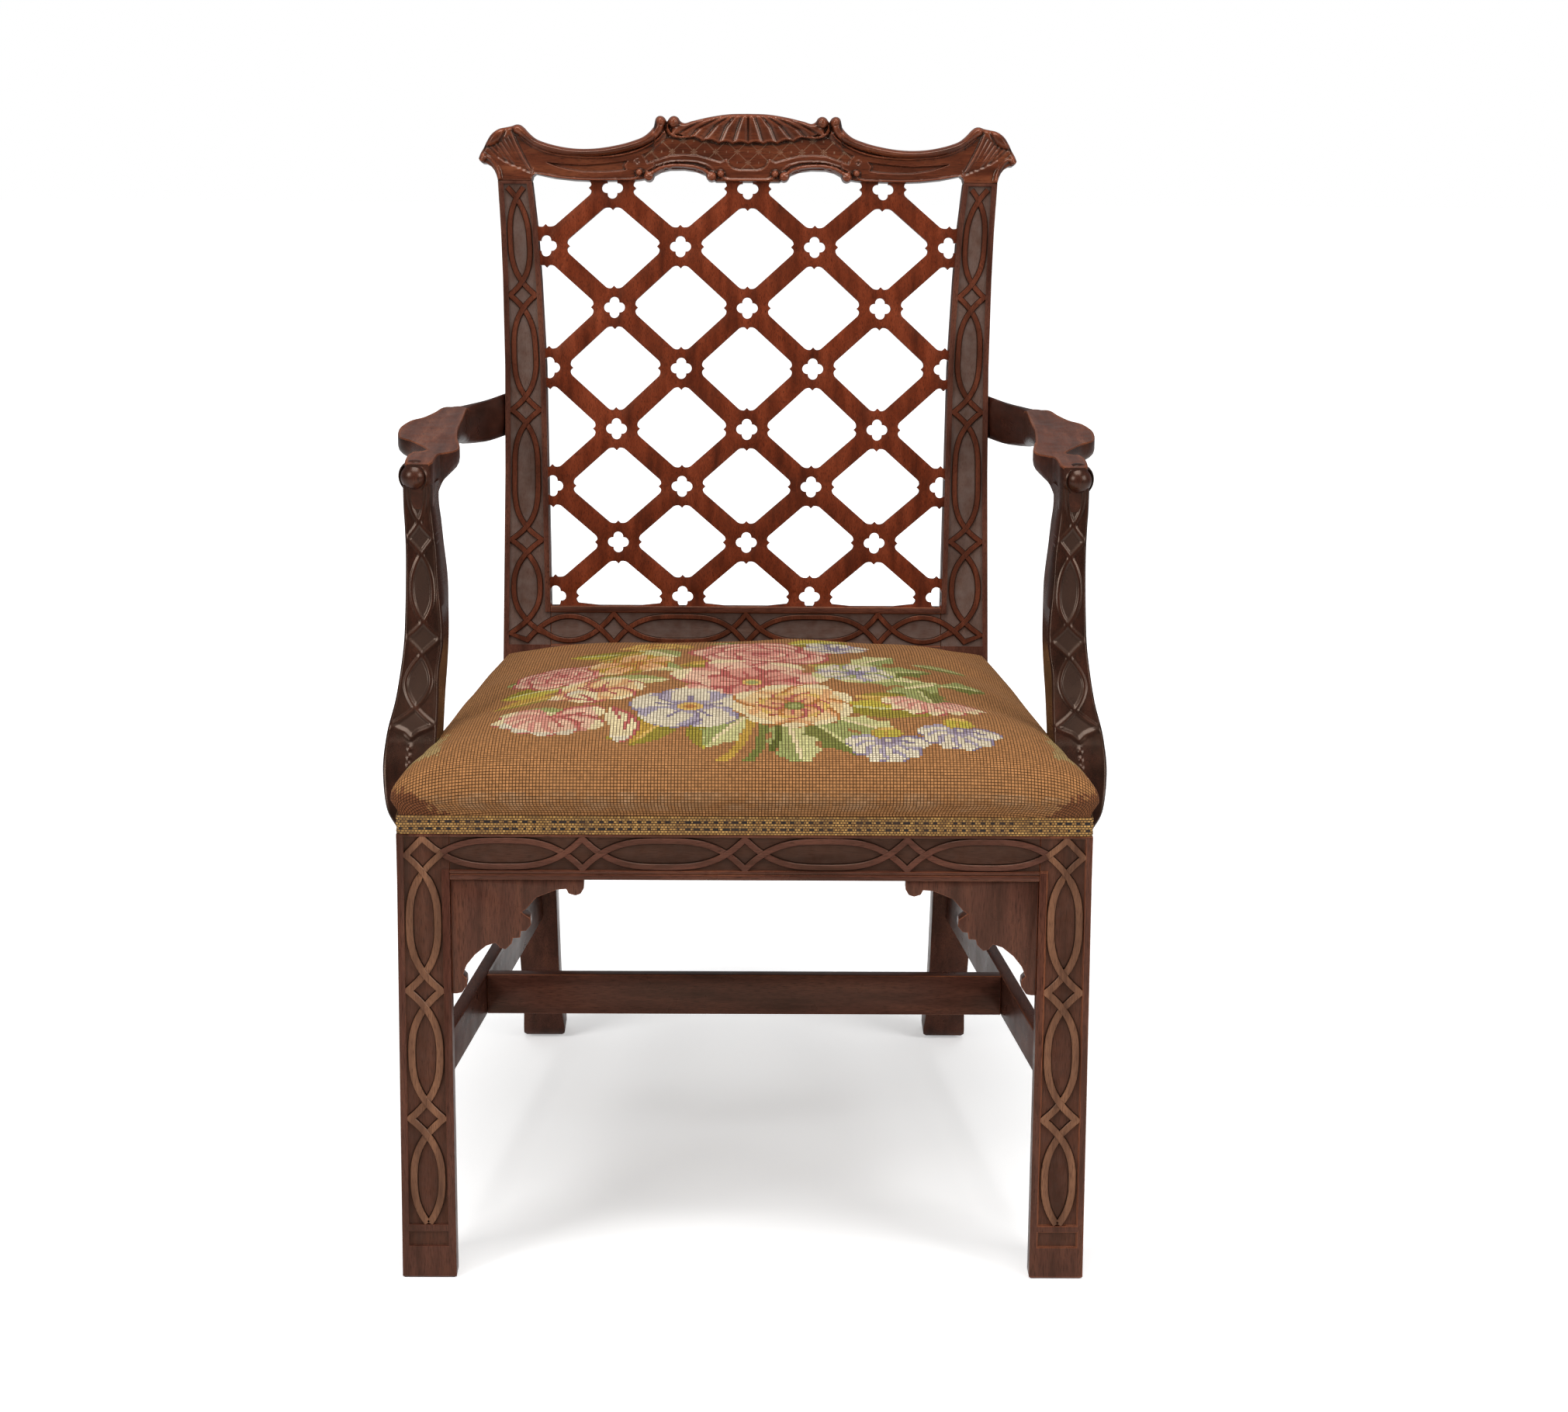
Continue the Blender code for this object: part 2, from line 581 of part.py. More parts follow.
lower_rail = back_block("lower_back_rail", lower_end, LOWER_RAIL_BOTTOM, LOWER_RAIL_TOP, -LOWER_RAIL_DEPTH, 0.0, MAHOGANY)
LOWER_MIDDLE = (LOWER_RAIL_BOTTOM + LOWER_RAIL_TOP) / 2
for name, side in SIDES:
    start = back_point(side * lower_end, LOWER_MIDDLE, -LOWER_RAIL_DEPTH / 2)
    tenon(lower_rail, posts[name], start, Vector((side * RAIL_TENON, 0.0, 0.0)), BACK_OUT * (LOWER_TENON_THICK / 2),
          BACK_UP * ((LOWER_RAIL_TOP - LOWER_RAIL_BOTTOM) / 2 - RAIL_TENON_SHOULDER))
cut(lower_rail, back_block("lower_fret", REAR_OUTER_X, LOWER_FRET_BOTTOM, LOWER_FRET_TOP, -FRET_DEPTH, OVERRUN, None, True))

# Sunk frets on the posts' front faces, which follow the posts' curved edges
for name, side in SIDES:
    stations = [LOWER_FRET_BOTTOM] + [share * POST_HEIGHT for share in POST_STATION_SHARES[1:-1]] + [POST_HEIGHT - POST_FRET_DROP]
    rings = []
    for up in stations:
        inner = post_inner(up) + POST_BORDER
        outer = post_outer(up) - POST_BORDER
        rings.append([back_point(side * x, up, out) for x, out in ((outer, OVERRUN), (inner, OVERRUN), (inner, -FRET_DEPTH), (outer, -FRET_DEPTH))])
    cut(posts[name], loft(f"post_fret_{name}", rings, None, True))
    turn_x = mirrored(side, lower_end - OVERRUN, lower_end + GAP + POST_BORDER + ROOT)

    def turn_corner(x, y, z, turn_x=turn_x):
        return back_point(pick(x, *turn_x), pick(y, LOWER_FRET_BOTTOM, LOWER_FRET_TOP), pick(z, -FRET_DEPTH, OVERRUN))

    cut(posts[name], block(f"post_fret_turn_{name}", turn_corner, None, True))

# Crest rail: a loft along the chair's width, whose section has a rolled top
CREST_TOP_SHARES = ((0.0, 1.0), (0.085, 0.965), (0.167, 0.922), (0.221, 0.872), (0.246, 0.936), (0.274, 0.943), (0.295, 0.908),
                    (0.320, 0.922), (0.345, 0.900), (0.360, 0.780), (0.384, 0.667), (0.420, 0.589), (0.463, 0.525), (0.516, 0.496),
                    (0.587, 0.472), (0.658, 0.489), (0.730, 0.539), (0.783, 0.610), (0.818, 0.709), (0.854, 0.794), (0.883, 0.790),
                    (0.918, 0.752), (0.950, 0.681), (0.979, 0.525), (1.0, 0.411))
CREST_LOW_SHARES = ((0.0, 0.000), (0.071, 0.021), (0.121, 0.035), (0.142, 0.099), (0.185, 0.163), (0.238, 0.172), (0.285, 0.142),
                    (0.327, 0.085), (0.352, 0.021), (0.384, 0.036), (0.523, 0.028), (0.605, 0.036), (0.676, 0.057), (0.765, 0.102))
EAR_LOW_SHARES = ((0.926, 0.128), (0.966, 0.255), (1.0, 0.320))


CREST_HALF_WIDTH = post_outer(POST_HEIGHT) + CREST_EAR


def crest_top(share):
    return CREST_LOW + CREST_RISE * along(CREST_TOP_SHARES, share)


def crest_rings():
    inner_share = (post_inner(POST_HEIGHT) - GAP) / CREST_HALF_WIDTH
    outer_share = (post_outer(POST_HEIGHT) + GAP) / CREST_HALF_WIDTH
    lows = [*CREST_LOW_SHARES, (inner_share - 0.005, 0.102), (inner_share, 0.0), (outer_share, 0.0), *EAR_LOW_SHARES]
    shares = sorted({s for s, _ in CREST_TOP_SHARES} | {s for s, _ in lows})
    rings = []
    for share in [-s for s in reversed(shares[1:])] + shares:
        x = share * CREST_HALF_WIDTH
        top = crest_top(abs(share))
        low = CREST_LOW + GAP + CREST_RISE * along(lows, abs(share))
        roll = min(CREST_ROLL_HEIGHT, (top - low) * 0.6)
        section = ((0.0, low), (0.0, top - roll), (CREST_ROLL, top - roll * 0.75), (CREST_ROLL, top - roll * 0.3), (0.0, top),
                   (-CREST_DEPTH * 0.75, top), (-CREST_DEPTH, top - roll * 0.5), (-CREST_DEPTH, low))
        rings.append([back_point(x, up, out) for out, up in section])
    return rings


crest = loft("crest_rail", crest_rings(), MAHOGANY)
for name, side in SIDES:
    middle_x = side * (post_inner(POST_HEIGHT) + post_outer(POST_HEIGHT)) / 2
    start = back_point(middle_x, POST_HEIGHT, -POST_DEPTH_TOP / 2)
    tenon(posts[name], crest, start, BACK_UP * CREST_TENON, Vector((CREST_TENON_WIDTH / 2, 0.0, 0.0)), BACK_OUT * (LOWER_TENON_THICK / 2))


# Lattice: six boards, glued edge to edge on the lines of the quatrefoils and housed in grooves all round
def lattice_up(row):
    return LATTICE_FIRST_ROW + LATTICE_HEIGHT * LATTICE_ROW_SHARES[row + 1]


def lattice_x(column, up):
    share = (up - LATTICE_FIRST_ROW) / LATTICE_HEIGHT
    low, high = REAR_INNER_X * LATTICE_PITCH_SHARES[0], post_inner(POST_HEIGHT) * LATTICE_PITCH_SHARES[1]
    return column * (low + (high - low) * share)


def lattice_node(row, column):
    up = lattice_up(row)
    return Vector((lattice_x(column, up), up))


def in_sight(point):
    """Keeps an opening's point out of the tongues that the grooves hide."""
    up = min(max(point.y, LOWER_RAIL_TOP - HIDDEN), CREST_ARCH_TOP + HIDDEN)
    limit = post_inner(up) + HIDDEN
    return (min(max(point.x, -limit), limit), up)


def hole_outline(row, column):
    """One diamond opening: four straight sides, and at each end two scallops and a cusp."""
    ends = [lattice_node(row, column + 1), lattice_node(row + 1, column), lattice_node(row, column - 1), lattice_node(row - 1, column)]
    middle = lattice_node(row, column)
    outline = []
    for i, node in enumerate(ends):
        towards = (middle - node).normalized()
        across = Vector((-towards.y, towards.x))
        half = []
        for neighbour in (ends[i - 1], ends[(i + 1) % 4]):
            edge = (neighbour - node).normalized()
            inward = Vector((-edge.y, edge.x))
            if inward.dot(towards) < 0:
                inward = -inward
            outward = across * math.copysign(1.0, edge.dot(across))
            run = (NODE_START_SIDE - inward.dot(outward) * LATTICE_BAR / 2) / edge.dot(outward)
            half.append((node + inward * (LATTICE_BAR / 2) + edge * run, node + towards * NODE_REACH + outward * NODE_CORNER_SIDE))
        cusp = node + towards * (NODE_REACH + NODE_CUSP)
        outline += [half[0][0], half[0][1], cusp, half[1][1], half[1][0]]
    return [in_sight(p) for p in outline]


def quatrefoil_outline(row, column):
    node = lattice_node(row, column)
    outline = []
    for quarter in range(4):
        centre_angle = quarter * math.pi / 2
        for step in range(QUATREFOIL_STEPS):
            angle = centre_angle + math.pi * (step / QUATREFOIL_STEPS - 0.5) * 1.03
            x = node.x + QUATREFOIL_OFFSET * math.cos(centre_angle) + QUATREFOIL_LOBE * math.cos(angle)
            y = node.y + QUATREFOIL_OFFSET * math.sin(centre_angle) + QUATREFOIL_LOBE * math.sin(angle)
            outline.append(in_sight(Vector((x, y))))
    return outline


def panel_outline(room):
    """The lattice panel's edge in its grooves."""
    low = LOWER_RAIL_TOP - LATTICE_BOTTOM_TONGUE - room
    high = LATTICE_TOP + room
    low_x = post_inner(low) + LATTICE_SIDE_TONGUE + room
    high_x = post_inner(POST_HEIGHT) + LATTICE_SIDE_TONGUE / 2 + room
    return [(-low_x, low), (low_x, low), (high_x, high), (-high_x, high)]


lattice_front = -LATTICE_SETBACK
lattice_back = -LATTICE_SETBACK - LATTICE_THICK
groove = prism("lattice_groove", [panel_outline(GAP)], lattice_back - GAP, lattice_front + GAP, None, True, back_point)
cut(posts["left"], groove)
cut(posts["right"], groove)
cut(lower_rail, groove)
cut(crest, groove)

openings = []
for row in range(8):
    for column in range(-3, 4):
        if (row + column) % 2:
            openings.append(quatrefoil_outline(row, column))
        else:
            openings.append(hole_outline(row, column))
holes = prism("lattice_holes", openings, lattice_back - OVERRUN, lattice_front + OVERRUN, None, True, back_point)
for number in range(LATTICE_BOARDS):
    column = number - LATTICE_BOARDS // 2
    outline = panel_outline(0.0)
    low, high = outline[0][1], outline[2][1]
    left = [lattice_x(column, up) + GAP / 2 for up in (low, high)]
    right = [lattice_x(column + 1, up) - GAP / 2 for up in (low, high)]
    if number == 0:
        left = [outline[0][0], outline[3][0]]
    if number == LATTICE_BOARDS - 1:
        right = [outline[1][0], outline[2][0]]
    strip = [(left[0], low), (right[0], low), (right[1], high), (left[1], high)]
    board = prism(f"lattice_board_{number + 1}", [strip], lattice_back, lattice_front, LATTICE_WOOD, False, back_point)
    cut(board, holes)

# Stretchers
side_stretchers = {}
STRETCHER_MIDDLE = (STRETCHER_BOTTOM + STRETCHER_TOP) / 2
front_x = (LEG_INNER_X + LEG_OUTER_X) / 2
rear_share = STRETCHER_MIDDLE / RAIL_BOTTOM
rear_x = ((REAR_LEG_INNER_FLOOR + REAR_LEG_OUTER_FLOOR) / 2) * (1 - rear_share) + ((REAR_INNER_X + REAR_OUTER_X) / 2) * rear_share


def stretcher_x(y):
    return front_x + (rear_x - front_x) * (y - LEG_BACK_Y) / (leg_front(STRETCHER_MIDDLE) - LEG_BACK_Y)


for name, side in SIDES:

    def stretcher_corner(x, y, z, side=side):
        height = pick(z, STRETCHER_BOTTOM, STRETCHER_TOP)
        place_y = leg_front(height) - GAP if y > 0 else LEG_BACK_Y + GAP
        return (side * (stretcher_x(place_y) + x * STRETCHER_THICK / 2), place_y, height)

    stretcher = block(f"side_stretcher_{name}", stretcher_corner, MAHOGANY)
    side_stretchers[name] = stretcher
    half_up = Vector((0.0, 0.0, STRETCHER_HEIGHT / 2 - STRETCHER_SHOULDER))
    half_across = Vector((STRETCHER_TENON_THICK / 2, 0.0, 0.0))
    front_start = Vector((side * stretcher_x(LEG_BACK_Y), LEG_BACK_Y + GAP, STRETCHER_MIDDLE))
    tenon(stretcher, legs[name], front_start, Vector((0.0, -STRETCHER_TENON, 0.0)), half_across, half_up)
    rear_y = leg_front(STRETCHER_BOTTOM)
    rear_start = Vector((side * stretcher_x(rear_y), rear_y - ROOT, STRETCHER_MIDDLE))
    tenon(stretcher, posts[name], rear_start, Vector((0.0, STRETCHER_TENON, 0.0)), half_across, half_up)


cross_y = LEG_BACK_Y + (BACK_FRONT_Y - LEG_BACK_Y) * CROSS_STRETCHER_SHARE


def cross_corner(x, y, z):
    place_y = cross_y + y * STRETCHER_THICK / 2
    return (x * (stretcher_x(place_y) - STRETCHER_THICK / 2 - GAP), place_y, pick(z, STRETCHER_BOTTOM, STRETCHER_TOP))


cross = block("cross_stretcher", cross_corner, MAHOGANY)
for name, side in SIDES:
    start = Vector((side * (stretcher_x(cross_y) - STRETCHER_THICK / 2 - GAP), cross_y, STRETCHER_MIDDLE))
    tenon(cross, side_stretchers[name], start, Vector((side * CROSS_TENON, 0.0, 0.0)), Vector((0.0, STRETCHER_TENON_THICK / 2, 0.0)), half_up)

# Front corner brackets: a fretted outline with hooks and a stepped middle
BRACKET_SHARES = ((0.0, 0.0), (1.0, 0.0), (1.0, 0.080), (0.975, 0.128), (0.935, 0.142), (0.885, 0.125), (0.868, 0.086), (0.797, 0.092),
                  (0.708, 0.132), (0.645, 0.160), (0.566, 0.260), (0.531, 0.288), (0.597, 0.341), (0.602, 0.398), (0.563, 0.450),
                  (0.526, 0.453), (0.519, 0.510), (0.464, 0.514), (0.455, 0.558), (0.408, 0.612), (0.365, 0.599), (0.333, 0.554),
                  (0.262, 0.582), (0.177, 0.659), (0.113, 0.749), (0.083, 0.834), (0.112, 0.868), (0.114, 0.926), (0.075, 0.990),
                  (0.035, 1.0), (0.0, 1.0))
for name, side in SIDES:
    top = RAIL_BOTTOM - GAP
    edge = LEG_INNER_X - GAP
    outline = [(side * (edge - share_x * BRACKET_WIDTH), top - share_z * BRACKET_HEIGHT) for share_x, share_z in BRACKET_SHARES]
    bracket_y = FRONT_Y + BRACKET_SETBACK

    def stand_up(x, y, z, bracket_y=bracket_y):
        return Vector((x, bracket_y + z, y))

    prism(f"front_bracket_{name}", [outline], 0.0, BRACKET_THICK, MAHOGANY, False, stand_up)

# Arms: each row is the inner edge's and the outer edge's place across and along, then the top, the underside and the rim
# Across runs from the post's side to the support's outer edge, along from the post to the support's front, and the
# heights are shares of the arm's height; the rim is the share of a section where its sides turn under
ARM_STATION_SHARES = (
    (0.000, 0.000, 0.000, -0.071, 0.88, 0.00, 0.10),
    (0.182, 0.096, 0.330, 0.077, 0.91, 0.04, 0.10),
    (0.338, 0.176, 0.533, 0.152, 0.94, 0.11, 0.12),
    (0.431, 0.243, 0.720, 0.212, 0.96, 0.19, 0.20),
    (0.466, 0.300, 0.875, 0.292, 0.98, 0.29, 0.30),
    (0.461, 0.363, 0.939, 0.349, 0.99, 0.37, 0.40),
    (0.453, 0.430, 1.061, 0.419, 1.00, 0.45, 0.45),
    (0.450, 0.489, 1.280, 0.487, 1.00, 0.51, 0.50),
    (0.453, 0.560, 1.354, 0.569, 1.00, 0.53, 0.52),
    (0.421, 0.647, 1.329, 0.641, 1.00, 0.53, 0.52),
    (0.354, 0.725, 1.069, 0.712, 1.00, 0.51, 0.52),
    (0.305, 0.782, 0.891, 0.790, 0.99, 0.47, 0.55),
    (0.385, 0.819, 0.858, 0.816, 0.98, 0.43, 0.50),
    (0.509, 0.856, 0.930, 0.849, 1.00, 0.37, 0.30),
    (0.587, 0.893, 1.039, 0.878, 1.04, 0.13, 0.12),
    (0.626, 0.942, 1.117, 0.935, 1.08, 0.07, 0.10),
    (0.681, 0.996, 1.101, 0.996, 1.05, 0.21, 0.30),
)
ARM_SECTION_SHARES = ((-0.35, 0.97), (0.35, 0.97), (0.92, 1.0), (1.0, 0.93))
ARM_KNOB_SHARES = (0.969, 0.972, 0.84)
ARM_JOINT_HALF = 0.0145
ARM_JOINT_SHARE = 0.44


def arm_section(rim):
    """One arm section: across from -1 inside to 1 outside, and up from 0 to 1."""
    half = [*ARM_SECTION_SHARES[2:], (1.0, rim), (0.75, rim * 0.35), (0.3, 0.0)]
    return [ARM_SECTION_SHARES[1], *half, *[(-u, v) for u, v in reversed(half)], ARM_SECTION_SHARES[0]]


# Arm supports: each row is a height, then the outer, front inner and back inner edges, the front and the depth, as shares
SUPPORT_SPREAD = 0.0556
SUPPORT_STRADDLE = 0.0365
SUPPORT_SETBACK = 0.0172
SUPPORT_SWEEP = 0.116
SUPPORT_DEPTH = 0.056
SUPPORT_FRONT_Y = LEG_BACK_Y + SUPPORT_SETBACK
SUPPORT_INNER_X = side_x(SUPPORT_FRONT_Y) - SUPPORT_STRADDLE
SUPPORT_SHARES = (
    (0.000, 0.67, 0.150, 0.180, 0.00, 0.84),
    (0.035, 0.76, 0.150, 0.180, 0.01, 0.86),
    (0.103, 0.94, 0.150, 0.183, 0.05, 0.90),
    (0.215, 1.01, 0.150, 0.183, 0.18, 0.92),
    (0.303, 0.975, 0.140, 0.174, 0.32, 0.90),
    (0.414, 0.842, 0.135, 0.153, 0.49, 0.84),
    (0.483, 0.790, 0.140, 0.130, 0.59, 0.80),
    (0.586, 0.735, 0.083, 0.112, 0.70, 0.77),
    (0.665, 0.724, 0.110, 0.120, 0.77, 0.76),
    (0.748, 0.721, 0.158, 0.138, 0.84, 0.76),
    (0.862, 0.727, 0.200, 0.209, 0.92, 0.74),
    (0.931, 0.745, 0.260, 0.260, 0.965, 0.73),
    (1.000, 0.773, 0.320, 0.313, 1.00, 0.71),
)
SUPPORT_FRONT_SOFT = 0.0018
SUPPORT_BACK_SOFT = 0.0075
SUPPORT_BACK_SLANT = 0.004


def support_rings(side, room=0.0, reach=0.0):
    """The support's sections; room grows them to a clearance, and reach opens them outwards."""
    rings = []
    for up, outer, front_inner, inner, sweep, depth in SUPPORT_SHARES:
        z = SUPPORT_BOTTOM + up * (SUPPORT_TOP - SUPPORT_BOTTOM)
        x_out = SUPPORT_INNER_X + outer * SUPPORT_SPREAD + reach
        x_front = SUPPORT_INNER_X + front_inner * SUPPORT_SPREAD - room
        x_in = SUPPORT_INNER_X + inner * SUPPORT_SPREAD - room
        y_front = SUPPORT_FRONT_Y + sweep * SUPPORT_SWEEP - room
        y_back = SUPPORT_FRONT_Y + sweep * SUPPORT_SWEEP + depth * SUPPORT_DEPTH + room
        x_back = x_out - SUPPORT_BACK_SLANT
        corners = ((x_out - SUPPORT_FRONT_SOFT, y_front), (x_front + SUPPORT_FRONT_SOFT, y_front), (x_front, y_front + SUPPORT_FRONT_SOFT),
                   (x_in, y_back - SUPPORT_BACK_SOFT * 2), (x_in, y_back - SUPPORT_BACK_SOFT), (x_in + SUPPORT_BACK_SOFT, y_back),
                   (x_back - SUPPORT_BACK_SOFT, y_back), (x_back, y_back - SUPPORT_BACK_SOFT), (x_out, y_front + SUPPORT_FRONT_SOFT))
        middle = (y_front + y_back) / 2
        rings.append([Vector((side * (x - SIDE_SLOPE * (y - middle)), y, z)) for x, y in corners])
    return rings


arm_joint_up = (ARM_BOTTOM + ARM_JOINT_SHARE * ARM_HEIGHT - RAIL_TOP) / BACK_UP.z
joint_x = post_outer(arm_joint_up) + GAP
joint_front = back_point(0.0, arm_joint_up, -post_depth(arm_joint_up) / 2).y - ARM_JOINT_HALF
arm_span = SUPPORT_INNER_X + SUPPORT_SHARES[-1][1] * SUPPORT_SPREAD - joint_x
arm_reach = joint_front - SUPPORT_FRONT_Y - SUPPORT_SWEEP


def arm_place(across, along_share, up=0.0):
    return Vector((joint_x + across * arm_span, joint_front - along_share * arm_reach, ARM_BOTTOM + up * ARM_HEIGHT))


def arm_rings(side):
    rings = []
    for inner_x, inner_y, outer_x, outer_y, top, low, rim in ARM_STATION_SHARES:
        inner, outer = arm_place(inner_x, inner_y, low), arm_place(outer_x, outer_y, low)
        rise = Vector((0.0, 0.0, (top - low) * ARM_HEIGHT))
        ring = [inner.lerp(outer, (u + 1) / 2) + rise * v for u, v in arm_section(rim)]
        rings.append([Vector((side * p.x, p.y, p.z)) for p in ring])
    return rings


arms = {}
supports = {}
for name, side in SIDES:
    arm = loft(f"arm_{name}", arm_rings(side), MAHOGANY)
    arms[name] = arm
    knob = arm_place(*ARM_KNOB_SHARES)
    bm = bmesh.new()
    bmesh.ops.create_uvsphere(bm, u_segments=16, v_segments=8, radius=ARM_KNOB_RADIUS)
    bmesh.ops.translate(bm, verts=bm.verts, vec=(side * knob.x, knob.y, knob.z))
    combine(arm, keep_bmesh(f"arm_knob_{name}", bm, None, True), "UNION")
    support = loft(f"arm_support_{name}", support_rings(side), MAHOGANY)
    supports[name] = support
    seat_x = mirrored(side, 0.0, FRONT_WIDTH)
    seat_end = arm_place(0.0, ARM_STATION_SHARES[-4][1]).y
    cut(arm, box(f"arm_seat_{name}", (seat_x[0], joint_front - arm_reach - OVERRUN, SUPPORT_TOP - ARM_HEIGHT),
                 (seat_x[1], seat_end, SUPPORT_TOP + GAP), None, True))
    start = back_point(side * joint_x, arm_joint_up, -post_depth(arm_joint_up) / 2)
    tenon(arm, posts[name], start, Vector((-side * ARM_TENON, 0.0, 0.0)), BACK_OUT * (ARM_TENON_THICK / 2), BACK_UP * (ARM_TENON_HEIGHT / 2))
    top_row = SUPPORT_SHARES[-1]
    dowel_x = side * (SUPPORT_INNER_X + SUPPORT_SPREAD * (top_row[1] + top_row[3]) / 2)
    dowel_y = SUPPORT_FRONT_Y + SUPPORT_SWEEP + SUPPORT_DEPTH * top_row[5] / 2
    dowel_profile = [(SUPPORT_DOWEL_RADIUS, SUPPORT_DOWEL_LENGTH), (SUPPORT_DOWEL_RADIUS, -ROOT)]
    socket_profile = [(SUPPORT_DOWEL_RADIUS + GAP, SUPPORT_DOWEL_LENGTH + GAP), (SUPPORT_DOWEL_RADIUS + GAP, -ROOT)]
    down = Vector((0.0, 0.0, -1.0))
    dowel = turned(f"support_dowel_{name}", dowel_profile, (dowel_x, dowel_y, SUPPORT_TOP), down, None, True)
    combine(support, dowel, "UNION")
    cut(arm, turned(f"arm_socket_{name}", socket_profile, (dowel_x, dowel_y, SUPPORT_TOP), down, None, True))

    # The support laps over the side rail, and follows its rebate
    for label, low, high, inset in (("lap", SUPPORT_BOTTOM - OVERRUN, COVER_HEM + GAP, 0.0), ("step", COVER_HEM - OVERRUN, RAIL_TOP + GAP, REBATE)):

        def rail_room(x, y, z, side=side, low=low, high=high, inset=inset):
            place_y = pick(y, LEG_BACK_Y, BACK_FRONT_Y)
            across = pick(x, RAIL_THICK + OVERRUN * 2, inset - GAP)
            return (side * side_x(place_y, across), place_y, pick(z, low, high))

        cut(support, block(f"support_{label}_{name}", rail_room, None, True))

# Corner blocks behind the rails' joints
for name, side in SIDES:
    front_in = FRONT_Y + RAIL_THICK + GAP
    leg_in = LEG_INNER_X - GAP
    leg_behind = LEG_BACK_Y + GAP
    far_y = leg_behind + BLOCK_SIDE_REACH
    far_x = side_x(far_y, RAIL_THICK + GAP)
    near_x = leg_in - BLOCK_REACH
    front_outline = [(near_x, front_in), (leg_in, front_in), (leg_in, leg_behind), (side_x(leg_behind, RAIL_THICK + GAP), leg_behind), (far_x, far_y)]
    front_block = prism(f"corner_block_front_{name}", [[(side * x, y) for x, y in front_outline]], BLOCK_BOTTOM, BLOCK_TOP, BEECH)

    rear_in = back_rail_front - GAP
    post_in = BACK_FRONT_Y - GAP
    start_y = post_in - BLOCK_SIDE_REACH
    start_x = side_x(start_y, RAIL_THICK + GAP)
    end_x = REAR_INNER_X - BLOCK_REACH
    rear_outline = [(start_x, start_y), (side_x(post_in, RAIL_THICK + GAP), post_in), (REAR_INNER_X - GAP, post_in), (REAR_INNER_X - GAP, rear_in),
                    (end_x, rear_in)]
    rear_block = prism(f"corner_block_rear_{name}", [[(side * x, y) for x, y in rear_outline]], BLOCK_BOTTOM, BLOCK_TOP, BEECH)

    block_middle = (BLOCK_BOTTOM + BLOCK_TOP) / 2
    step = (BLOCK_TOP - BLOCK_BOTTOM) / 4
    slope = (far_y - front_in) / (far_x - near_x)
    at_x = near_x + BLOCK_REACH * 0.45
    screw(f"block_screw_front_{name}_1", (side * at_x, front_in + slope * (at_x - near_x) - BLOCK_SCREW_SINK, block_middle - step),
          Vector((0.0, -1.0, 0.0)), (front_block, front_rail))
    at_y = far_y - BLOCK_SIDE_REACH * 0.40
    screw(f"block_screw_front_{name}_2", (side * (near_x + (at_y - front_in) / slope + BLOCK_SCREW_SINK), at_y, block_middle + step),
          Vector((side, 0.0, 0.0)), (front_block, side_rails[name]))
    slope = (rear_in - start_y) / (start_x - end_x)
    at_x = end_x + BLOCK_REACH * 0.45
    screw(f"block_screw_rear_{name}_1", (side * at_x, rear_in - slope * (at_x - end_x) + BLOCK_SCREW_SINK, block_middle - step),
          Vector((0.0, 1.0, 0.0)), (rear_block, back_rail))
    at_y = start_y + BLOCK_SIDE_REACH * 0.45
    screw(f"block_screw_rear_{name}_2", (side * (end_x + (rear_in - at_y) / slope + BLOCK_SCREW_SINK), at_y, block_middle + step),
          Vector((side, 0.0, 0.0)), (rear_block, side_rails[name]))

    # Two screws hold each arm support to the side rail, and one holds each arm to its post
    support_y = SUPPORT_FRONT_Y + SUPPORT_DEPTH * 0.80
    for count, height in enumerate((RAIL_BOTTOM + (RAIL_TOP - RAIL_BOTTOM) * 0.45, RAIL_BOTTOM + (RAIL_TOP - RAIL_BOTTOM) * 0.80), 1):
        screw(f"support_screw_{name}_{count}", (side * side_x(support_y, RAIL_THICK), support_y, height), Vector((side, 0.0, 0.0)),
              (side_rails[name], supports[name]))
    tenon_middle = side * (joint_x - ARM_TENON * 0.55)
    screw(f"arm_screw_{name}", back_point(tenon_middle, arm_joint_up, -post_depth(arm_joint_up)), BACK_OUT, (posts[name], arms[name]),
          post_depth(arm_joint_up) - FRET_DEPTH * 3)

# Glides under the rear feet, each with a nail
for name, side in SIDES:
    glide_x = side * (REAR_LEG_INNER_FLOOR + REAR_LEG_OUTER_FLOOR) / 2
    glide_y = HEEL_Y - HEEL_DEPTH / 2
    nail_top = GLIDE_HEIGHT + GLIDE_NAIL_LENGTH
    profile = [(SCREW_TIP, nail_top), (GLIDE_NAIL_RADIUS, nail_top - GLIDE_NAIL_RADIUS), (GLIDE_NAIL_RADIUS, GLIDE_HEIGHT),
               (GLIDE_RADIUS, GLIDE_HEIGHT), (GLIDE_RADIUS, GLIDE_HEIGHT / 2), (GLIDE_FLAT_RADIUS, 0.0)]
    down = Vector((0.0, 0.0, -1.0))
    turned(f"rear_glide_{name}", profile, (glide_x, glide_y, 0.0), down, GLIDE, False, 16)
    nail_room = GLIDE_NAIL_RADIUS + GAP
    hole_profile = [(SCREW_TIP + GAP, nail_top + GAP), (nail_room, nail_top - GLIDE_NAIL_RADIUS), (nail_room, 0.0)]
    cut(posts[name], turned(f"glide_hole_{name}", hole_profile, (glide_x, glide_y, 0.0), down, None, True))

